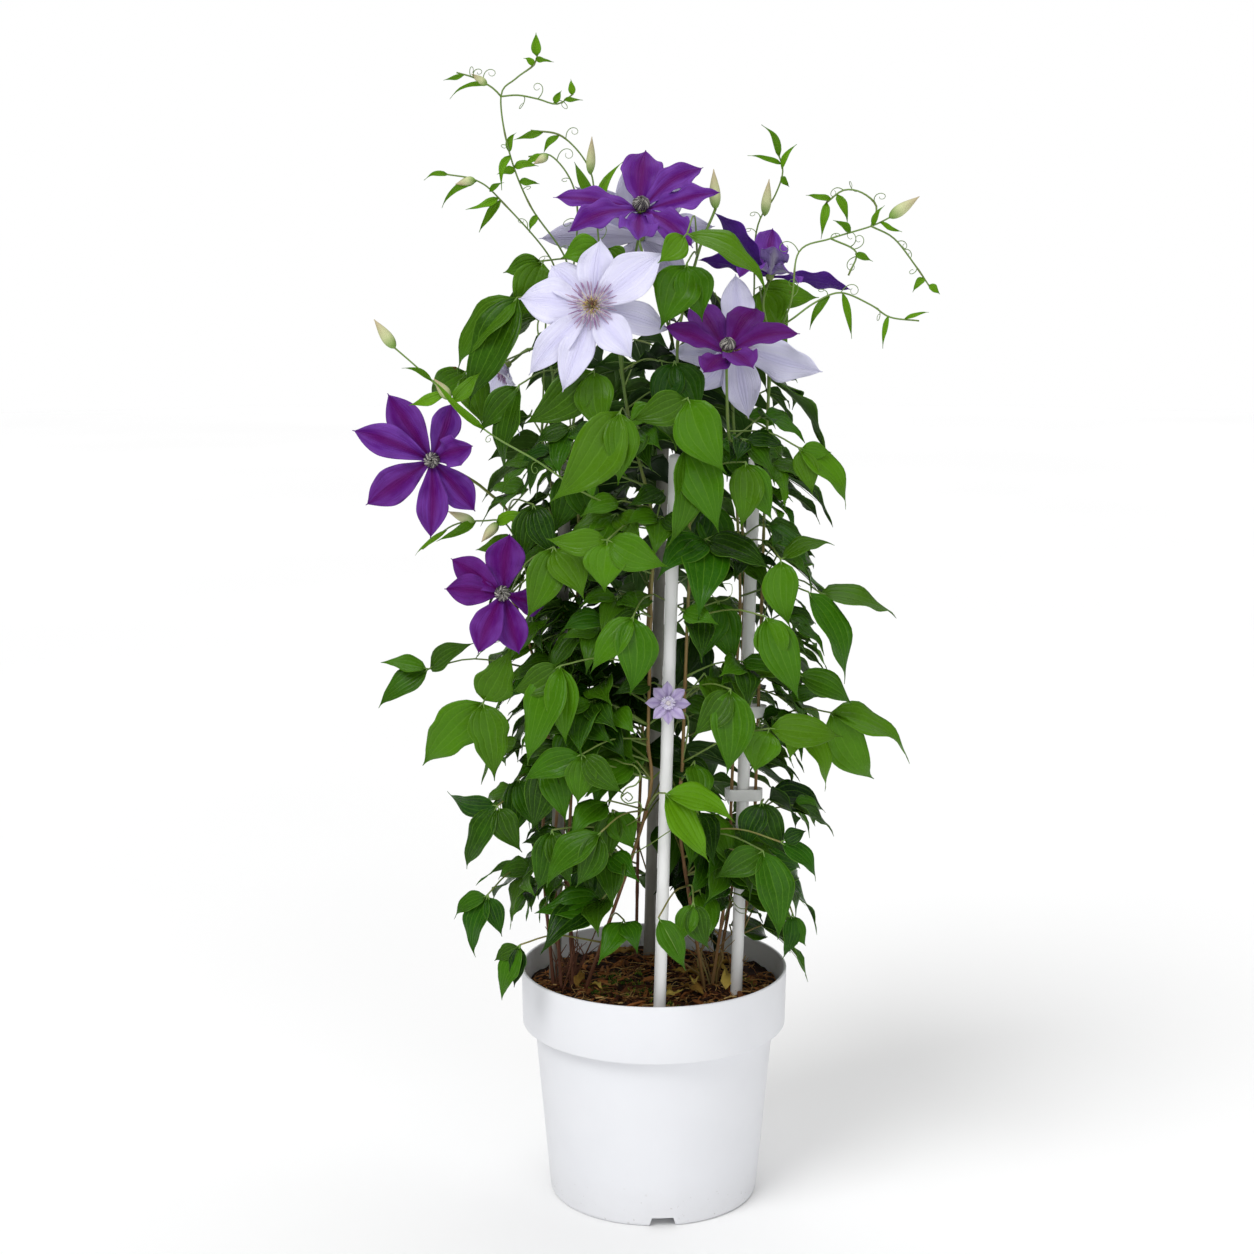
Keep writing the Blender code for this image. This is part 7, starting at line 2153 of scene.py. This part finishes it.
@dataclass
class Growth:
    """The vines with all that grows on them, laid out so that nothing crosses."""

    finishes: dict[str, Material]
    heads: dict[str, BloomHead]
    vine_ends: Place = (0.0019, 0.0014)
    stem_share: float = 0.80
    shoot_ends: Place = (0.0011, 0.0009)
    fine_share: float = 0.72
    soil_level: float = 18.1
    vine_depth: float = 0.020
    vine_step: float = 0.060
    shoot_step: float = 0.028
    climb_step: float = 6.0
    fork_neck: float = 0.004
    tip_fall: float = 0.105
    stalk_reach: float = 0.20
    stalk_tries: int = 34
    short_stalk: float = 0.045
    fill_radius: float = 0.088
    fill_around: int = 11
    fill_tries: int = 16
    side_limit: float = 16.0
    bloom_window: float = 5.0
    inner_leaves: int = 420
    edge_leaves: int = 220
    space: Space = field(default_factory=Space)
    vines: dict[str, Climber] = field(default_factory=dict)

    def take_supports(self, supports: Supports) -> None:
        """Take up the space of the pot, soil, stakes and clips.

        Args:
            supports: the stakes and clips.
        """
        rim = ((0.1096, 0.135), (0.1096, 0.2039), (0.1159, 0.2039), (0.1159, 0.135))
        bed = ((0.001, 0.171), (0.001, 0.185), (0.1126, 0.185), (0.1126, 0.171))
        self.space.add(ring_shell(rim, 24), "pot", "pot")
        self.space.add(ring_shell(bed, 16), "soil", "soil")
        for name, (_, _, top) in STAKES.items():
            ends = [stake_at(name, self.soil_level), stake_at(name, top)]
            shell = tube_shell(ends, supports.radius + GAP, 10)
            self.space.add(shell, f"stake_{name}", "stake")
        for clip in supports.clips:
            for shell in clip.shells():
                self.space.add(shell, clip.name, "clip")

    def add_vine(self, vine: Vine) -> None:
        """Main stem: foot, climb along its stake, crown and bloom.

        Args:
            vine: the vine.
        """
        foot = Vector((*vine.foot, self.soil_level)) * CM
        knots = [foot - UP * self.vine_depth, foot]
        height = vine.start
        while height <= vine.leave:
            turn = radians(vine.angle + vine.turn * (height - vine.start))
            offset = Vector((cos(turn), sin(turn), 0.0)) * vine.radius * CM
            knots.append(stake_at(vine.stake, height) + offset)
            height += self.climb_step
        knots += [Vector(place) * CM for place in vine.crown]
        if vine.bloom:
            knots += self.heads[vine.bloom].stalk_end()
        points = smooth(knots, self.vine_step)
        start, end = self.vine_ends
        ends = (start * self.stem_share, end * self.stem_share)
        self.vines[vine.name] = Climber(vine.name, self.finishes, [points],
                                        [(smooth(knots, 0.006), ends)])
        self.space.add_long(points, start + CLEARANCE, vine.name, "stem")

    @staticmethod
    def on_line(points: Line, place: Vector) -> Vector:
        """Point of a line that lies nearest to a place.

        Args:
            points: the line.
            place: the place.

        Returns:
            The point.
        """
        spots = []
        for start, end in zip(points, points[1:]):
            span = end - start
            share = max(0.0, min(1.0, (place - start).dot(span) / span.length_squared))
            spots.append(start + span * share)
        return min(spots, key=lambda spot: (spot - place).length)

    def add_bud(self, vine: str, points: Line, bud: tuple) -> None:
        """Bud that starts inside its stalk.

        Args:
            vine: the vine that carries it.
            points: line of its stalk.
            bud: its start and end as seen from the front, its width and its depth.
        """
        start, end, width, depth = bud
        tip = seen(*end, depth)
        base = self.on_line(points, seen(*start, depth))
        base = base - (tip - base).normalized() * 0.0008
        self.vines[vine].buds.append((base, tip, width * CM / 2))
        self.space.add_long([base, tip], width * CM / 2, vine, "shoot")

    def add_shoot(self, shoot: Shoot) -> None:
        """Thin side shoot with its small leaflets and buds.

        Args:
            shoot: the shoot.
        """
        owner, vine = shoot.vine, self.vines[shoot.vine]
        start = min((point for line in vine.branches for point in line),
                    key=lambda point: abs(point.z - shoot.height * CM))
        knots = [start] + [seen(*place) for place in shoot.places]
        if shoot.bloom:
            knots += self.heads[shoot.bloom].stalk_end()
        points = smooth(knots, self.shoot_step)
        vine.branches.append(points)
        ends = (self.shoot_ends[0] * self.fine_share, self.shoot_ends[1] * self.fine_share)
        vine.lines.append((smooth(knots, 0.004), ends))
        self.space.add_long(points, self.shoot_ends[0] + CLEARANCE, owner, "shoot")
        for base, end, width, depth in shoot.leaflets:
            root = self.on_line(points, seen(*base, depth))
            normal = (EYE - root).normalized() + UP * 0.5
            blade = Blade(root, seen(*end, depth), width * CM, normal, SMALL_ROWS)
            if self.space.is_free(blade.shell(SMALL_ROOT), owner, ("stem", "shoot")):
                vine.small.append(blade)
                self.space.add(blade.shell(SMALL_ROOT), owner, "leaf")
        for bud in shoot.buds:
            self.add_bud(owner, points, bud)

    def stalk_to(self, fork: Vector, away: Vector,
                 inner: bool = False) -> tuple[str | None, list[Vector]]:
        """Free leaf stalk from the nearest vine to a fork, arched where it is long.

        Args:
            fork: where the stalk ends.
            away: way out from the pot's axis.
            inner: whether it may brush past leaves and other stalks.

        Returns:
            The vine that carries it and its points.
        """
        starts = []
        for owner, vine in self.vines.items():
            points = vine.lines[0][0][::3] if inner else vine.branches[0]
            for point in points[2:]:
                reach = (fork - point).length
                if 0.02 < reach < self.stalk_reach:
                    rise = abs(point.z + 0.02 - fork.z)
                    starts.append((reach + 0.6 * rise, owner, point))
        starts.sort(key=lambda start: start[0])
        for _, owner, start in starts[:self.stalk_tries]:
            distance = (fork - start).length
            for lift in (0.10, 0.26, -0.06):
                bow = UP * lift * distance + away * 0.08 * distance
                middle = [] if distance < self.short_stalk else [(start + fork) / 2 + bow]
                points = [start, *middle, fork]
                if self.space.is_free(tube_shell(points, STALK_WIDTH / 2 + CLEARANCE), owner,
                                      STEMS, ("leaf", *STEMS) if inner else ()):
                    return owner, points
        return None, []

    def add_leaf(self, owner: str, plan: LeafPlan) -> None:
        """Grow a leaf on its vine and take up its space.

        Args:
            owner: the vine.
            plan: the leaf.
        """
        self.vines[owner].leaves.append(plan)
        self.space.add(tube_shell(plan.stalk, STALK_WIDTH / 2 + CLEARANCE), owner, "stalk")
        for blade in plan.blades:
            self.space.add(blade.shell(), owner, "leaf")

    def leaf_blade(self, fork: Vector, tip: Vector, width: float, normal: Vector) -> Blade:
        """Blade of one leaflet, from just off the fork to its tip.

        Args:
            fork: the fork of the stalk.
            tip: the leaflet's tip.
            width: its full width.
            normal: way that its upper side faces.

        Returns:
            The blade.
        """
        along = tip - fork
        rows = BIG_LEAF_ROWS if along.length > 0.095 else LEAF_ROWS
        return Blade(fork + along.normalized() * self.fork_neck, tip, width, normal, rows)

    def seen_blade(self, fork: Vector, tip: Vector, width: float) -> Blade:
        """Leaflet turned about its midrib until the given width shows from the eye.

        Args:
            fork: the fork of the stalk.
            tip: the leaflet's tip.
            width: the width that shows.

        Returns:
            The blade.
        """
        along = (tip - fork).normalized()
        real = max(width, min(0.043, 0.44 * (tip - fork).length))
        turn = acos(width / real)
        towards = across(EYE - fork, along)
        choices = [Matrix.Rotation(way * turn, 3, along) @ towards for way in (-1.0, 1.0)]
        return self.leaf_blade(fork, tip, real,
                               max(choices, key=Vector((fork.x, fork.y, 0.05)).dot))

    def front_leaf(self, leaf: Leaf, backing: bool = False) -> None:
        """Leaf that shows from the front, moved in depth until it is clear of the rest.

        Args:
            leaf: the leaf.
            backing: whether it stands behind the others and may brush past stems.
        """
        best: tuple[list[Blade], str | None, list[Vector]] = ([], None, [])
        front = foliage_front(leaf.fork[0])
        for shift in (0.0, -0.8, 0.8, -1.6, -2.4, 1.6, -3.2, 2.4, -4.2, -5.2, 3.4, -6.4, -7.8,
                      -9.2):
            depth = front + leaf.depth + shift
            fork = seen(*leaf.fork, depth)
            blades = []
            for x, z, width in leaf.leaflets:
                fall = self.tip_fall * (leaf.fork[1] - z)
                bend = 0.5 * (foliage_front(x) - front)
                blades.append(self.seen_blade(fork, seen(x, z, depth + fall + bend), width * CM))
            free = [blade for blade in blades
                    if self.space.is_free(blade.shell(), soft=STEMS if backing else ())]
            if len(free) <= len(best[0]):
                continue
            away = Vector((fork.x, fork.y, 0.0)).normalized()
            owner, points = self.stalk_to(fork, away, backing)
            if owner is None:
                continue
            best = (free, owner, points)
            if len(free) == len(blades):
                break
        blades, owner, points = best
        if owner is not None:
            self.add_leaf(owner, LeafPlan(points, blades, leaf.youth,
                                          LOBED_FORM if leaf.lobed else LEAF_FORM))
            back = (points[-1] - EYE).normalized() * leaf.step_back * CM
            points[-1] = points[-1] + back
            for blade in blades:
                blade.base = blade.base + back
                blade.tip = blade.tip + back

    def opens_windows(self, blade: Blade) -> bool:
        """Whether a blade hides no bloom and no stake that shows from the front.

        Args:
            blade: the blade.

        Returns:
            True where nothing is hidden.
        """
        margin = blade.half / CM * 0.7
        for share in (0.0, 0.3, 0.6, 1.0):
            x, z, depth = place_of(blade.spine(share))
            if abs(x) > self.side_limit:
                return False
            for window_x, window_z, half_width, half_height, window_depth in WINDOWS:
                if (abs(x - window_x) < half_width + margin
                        and abs(z - window_z) < half_height + 0.5 and depth > window_depth):
                    return False
            for head in self.heads.values():
                place = head.bloom.place
                if (hypot(x - place[0], z - place[1]) < self.bloom_window * head.scale + margin
                        and depth > head.bloom.depth - 3.0):
                    return False
        return True

    def fill_leaf(self, index: int, angle: float, height: float, radius: float,
                  size: float = 0.080, inner: bool = False) -> bool:
        """Leaf by rule at a direction round the pot's axis and a height.

        Args:
            index: number that its chances come from.
            angle: direction.
            height: height in metres.
            radius: about how far from the axis it forks.
            size: length of its leaflets.
            inner: whether it is one of the smaller leaves between the others.

        Returns:
            True where it has grown.
        """
        draw = Random(SEED + index)
        for attempt in range(self.fill_tries):
            turn = angle + draw.uniform(-0.16, 0.16)
            reach = radius + draw.uniform(-0.012, 0.016)
            level = height + draw.uniform(-0.018, 0.018)
            away = Vector((cos(turn), sin(turn), 0.0))
            round_way = Vector((-away.y, away.x, 0.0))
            fork = away * reach + UP * level
            droop = draw.uniform(0.5, 1.3)
            swing = draw.uniform(-0.5, 0.5)
            lead = (away * 0.8 + round_way * swing - UP * droop).normalized()
            spread = draw.uniform(0.8, 1.15)
            longest = size * draw.uniform(0.88, 1.12)
            normal = away + UP * draw.uniform(0.5, 1.1)
            blades = []
            for way, share in ((0.0, 1.0), (-1.0, 0.82), (1.0, 0.82)):
                out = (lead + round_way * way * spread
                       + UP * abs(way) * draw.uniform(0.1, 0.5)).normalized()
                length = longest * share
                blade = self.leaf_blade(fork, fork + out * length, length * 0.54, normal)
                if (self.space.is_free(blade.shell(), soft=STEMS if inner else ())
                        and self.opens_windows(blade)):
                    blades.append(blade)
            if len(blades) < (3 if attempt < self.fill_tries // 2 else 1 if inner else 2):
                continue
            owner, points = self.stalk_to(fork, away, inner)
            if owner is not None:
                self.add_leaf(owner, LeafPlan(points, blades, draw.uniform(0.02, 0.34),
                                              INNER_FORM if inner else LEAF_FORM))
                return True
        return False

    def fill(self) -> None:
        """Fill the places round the column that hold no leaf yet."""
        for level, height in enumerate((71.0, 64.0, 57.0, 50.0, 43.0, 36.0, 29.0)):
            for step in range(self.fill_around):
                angle = tau * (step + 0.5 * (level % 2)) / self.fill_around
                spot = Vector((cos(angle), sin(angle), 0.0)) * (self.fill_radius + 0.02)
                spot.z = height * CM - 0.01
                if self.space.nearest(spot, "leaf") >= 0.056:
                    self.fill_leaf(level * self.fill_around + step, angle, height * CM,
                                   self.fill_radius)

    def thicken(self) -> None:
        """Add smaller leaves inside the column and between those that stand already."""
        grown = 0
        for index in range(self.inner_leaves):
            height = 0.25 + 0.56 * ((index * 0.618) % 1.0)
            crown = 1 - 0.55 * max(0.0, (height - 0.68) / 0.13)
            radius = (0.015 + 0.070 * sqrt((index * 0.4142) % 1.0)) * crown
            grown += self.fill_leaf(1000 + index, index * 2.39996, height, radius, 0.064, True)
        for index in range(self.edge_leaves):
            height = 0.27 + 0.50 * ((index * 0.7549) % 1.0)
            radius = 0.075 + 0.035 * ((index * 0.5698) % 1.0)
            grown += self.fill_leaf(3000 + index, index * 2.39996, height, radius, 0.046, True)
        for leaf in BACKING_LEAVES:
            self.front_leaf(leaf, True)
        log.info("%d more leaves", grown)

    def lay_out(self, supports: Supports) -> None:
        """Find the place of every stem, bud and leaf.

        Args:
            supports: the stakes and clips.
        """
        self.take_supports(supports)
        for head in self.heads.values():
            head.take_space(self.space)
        for vine in VINES:
            self.add_vine(vine)
        for shoot in SHOOTS:
            self.add_shoot(shoot)
        bearer = "vine_front_right"
        self.add_bud(bearer, self.vines[bearer].branches[0], TOP_BUD)
        for leaf in FRONT_LEAVES:
            self.front_leaf(leaf)
        self.fill()
        self.thicken()

    def add_curl(self, patch: Patch, line: Line, share: float, draw: Random) -> None:
        """Thin tendril that leaves a shoot and coils up.

        Args:
            patch: where it goes.
            line: the shoot's line.
            share: share of the shoot's length where it starts.
            draw: source of chance.
        """
        index = int(share * (len(line) - 2))
        lead = (line[index + 1] - line[index]).normalized()
        swing = Matrix.Rotation(draw.uniform(-2.0, 2.0), 3, lead) @ across(UP, lead)
        heading = (lead * 0.5 + swing).normalized()
        axis = heading.cross(EYE - line[index]).cross(heading).normalized()
        spot = line[index].copy()
        way = draw.choice((-1.0, 1.0))
        length = draw.uniform(0.016, 0.030)
        points = []
        for step in range(18):
            points.append(spot.copy())
            spot += heading * length / 14
            heading = Matrix.Rotation(way * (0.06 + 0.045 * step), 3, axis) @ heading
            spot += axis * 0.0001
        patch.add_tube(points, (0.00045, 0.00022), 5, (0.10, 0.15, 0.0), draw.random())

    def make_tendrils(self) -> None:
        """Tendrils that show from the front, and curls along the top shoots."""
        patch = Patch()
        draw = Random(SEED)
        for radius, places in TENDRILS:
            points = smooth([seen(*place) for place in places], 0.003)
            patch.add_tube(points, (radius / 1000, radius / 1600), 6, (0.22, 0.2, 0.0), 0.5)
        for vine in self.vines.values():
            for line, _ in vine.lines[1:]:
                if line[-1].z > 0.74:
                    for share in (0.42, 0.60, 0.78):
                        self.add_curl(patch, line, share + draw.uniform(-0.08, 0.08), draw)
        patch.build("tendrils", "leaf_green", [self.finishes["stem"]])

    def make_twigs(self) -> None:
        """Dry forked twigs round the feet of the vines."""
        patch = Patch()
        draw = Random(SEED + 1)
        for x, y, count, age in ((-0.074, -0.004, 11, 0.92), (0.052, 0.000, 9, 0.52)):
            for _ in range(count):
                foot = Vector((x + draw.gauss(0, 0.008), y + draw.gauss(0, 0.007), 0.179))
                lean = Vector((draw.gauss(0, 0.42), draw.gauss(0, 0.34), 1.0)).normalized()
                bend = Vector((draw.gauss(0, 0.5), draw.gauss(0, 0.4), 0.8)).normalized()
                length = draw.uniform(0.030, 0.070)
                fork = foot + lean * length * 0.6
                middle = foot.lerp(fork, 0.5) + bend * 0.002
                tone = (age + draw.uniform(-0.12, 0.08), 0.5, 0.0)
                side = (lean * 2 - bend).normalized()
                main = smooth([foot, middle, fork, fork + bend * length * 0.45], 0.004)
                fine = smooth([middle, fork - side * 0.001, fork + side * length * 0.32], 0.004)
                patch.add_tube(main, (0.00095, 0.00040), 6, tone, draw.random())
                patch.add_tube(fine, (0.00060, 0.00028), 5, tone, draw.random())
        patch.build("foot_twigs", "leaf_green", [self.finishes["stem"]])

    def build(self) -> None:
        """Make and dress all the vines."""
        for vine in self.vines.values():
            vine.build()
        self.make_tendrils()
        self.make_twigs()


@dataclass
class Studio:
    """Plain pale floor, soft light and the camera at the photograph's angle."""

    lens: float = 36 * 2259 / 1254
    pitch: float = radians(80.0)
    pan: float = atan(28 / 2259)
    floor_radius: float = 9.0
    surround: float = 0.33
    lights: tuple[tuple[str, Spot, float, float], ...] = (
        ("key", (-1.3, -1.7, 2.5), 30.0, 1.60), ("fill", (0.8, -2.4, 0.7), 50.0, 0.80),
        ("top", (0.3, 0.7, 2.6), 50.0, 1.15))

    def add_camera(self) -> None:
        """Camera at the eye that the front places were read from."""
        data = bpy.data.cameras.new("camera")
        data.lens = self.lens
        data.sensor_width = 36.0
        camera = new_object("camera", data)
        camera.location = EYE
        camera.rotation_euler = (self.pitch, 0.0, self.pan)
        bpy.context.scene.camera = camera

    def add_floor(self) -> None:
        """Round pale floor."""
        work = bmesh.new()
        bmesh.ops.create_circle(work, cap_ends=True, segments=96, radius=self.floor_radius)
        floor = from_work("floor", work)
        material = bpy.data.materials.new("floor")
        material.use_nodes = True
        nodes = Nodes(material.node_tree)
        cloud = nodes.spread(nodes.noise(nodes.space(), 0.6, 2.0), 0.3, 0.7)
        nodes.finish(nodes.blend(cloud, (0.90, 0.90, 0.90), (0.93, 0.93, 0.93)), 0.8)
        floor.data.materials.append(material)

    def add_lights(self) -> None:
        """Broad lights from far away: name, direction, width in degrees and strength."""
        for name, place, spread, power in self.lights:
            data = bpy.data.lights.new(name, "SUN")
            data.angle = radians(spread)
            data.energy = power
            light = new_object(name, data)
            light.location = place
            light.rotation_euler = (-Vector(place)).to_track_quat("-Z", "Y").to_euler()

    def add_world(self) -> None:
        """White surroundings, which light the plant less than they show."""
        world = bpy.data.worlds.new("studio")
        world.use_nodes = True
        nodes = Nodes(world.node_tree)
        light = nodes.add("LightPath").outputs["Is Camera Ray"]
        strength = nodes.add("MapRange", Value=light, To_Min=self.surround, To_Max=1.0)
        background = world.node_tree.nodes["Background"].inputs
        nodes.put(background["Strength"], strength.outputs[0])
        nodes.put(background["Color"], (1.0, 1.0, 1.0))
        bpy.context.scene.world = world

    def build(self) -> None:
        """Set up the whole studio."""
        self.add_camera()
        self.add_floor()
        self.add_lights()
        self.add_world()
        bpy.context.scene.view_settings.view_transform = "Standard"


def main() -> None:
    """Build and dress every piece in order."""
    logging.basicConfig(level=logging.INFO, format="%(message)s")
    Studio().build()
    effects = Effects()
    finishes = {finish.name: finish.material(effects) for finish in FINISHES}
    supports = Supports(finishes)
    heads = {name: BloomHead(bloom, finishes) for name, bloom in BLOOMS.items()}
    growth = Growth(finishes, heads)
    growth.lay_out(supports)
    Pot(finishes).build()
    Soil(finishes, [(vine.foot[0] * CM, vine.foot[1] * CM) for vine in VINES]).build()
    supports.build()
    for head in heads.values():
        head.build()
    growth.build()


if __name__ == "__main__":
    main()
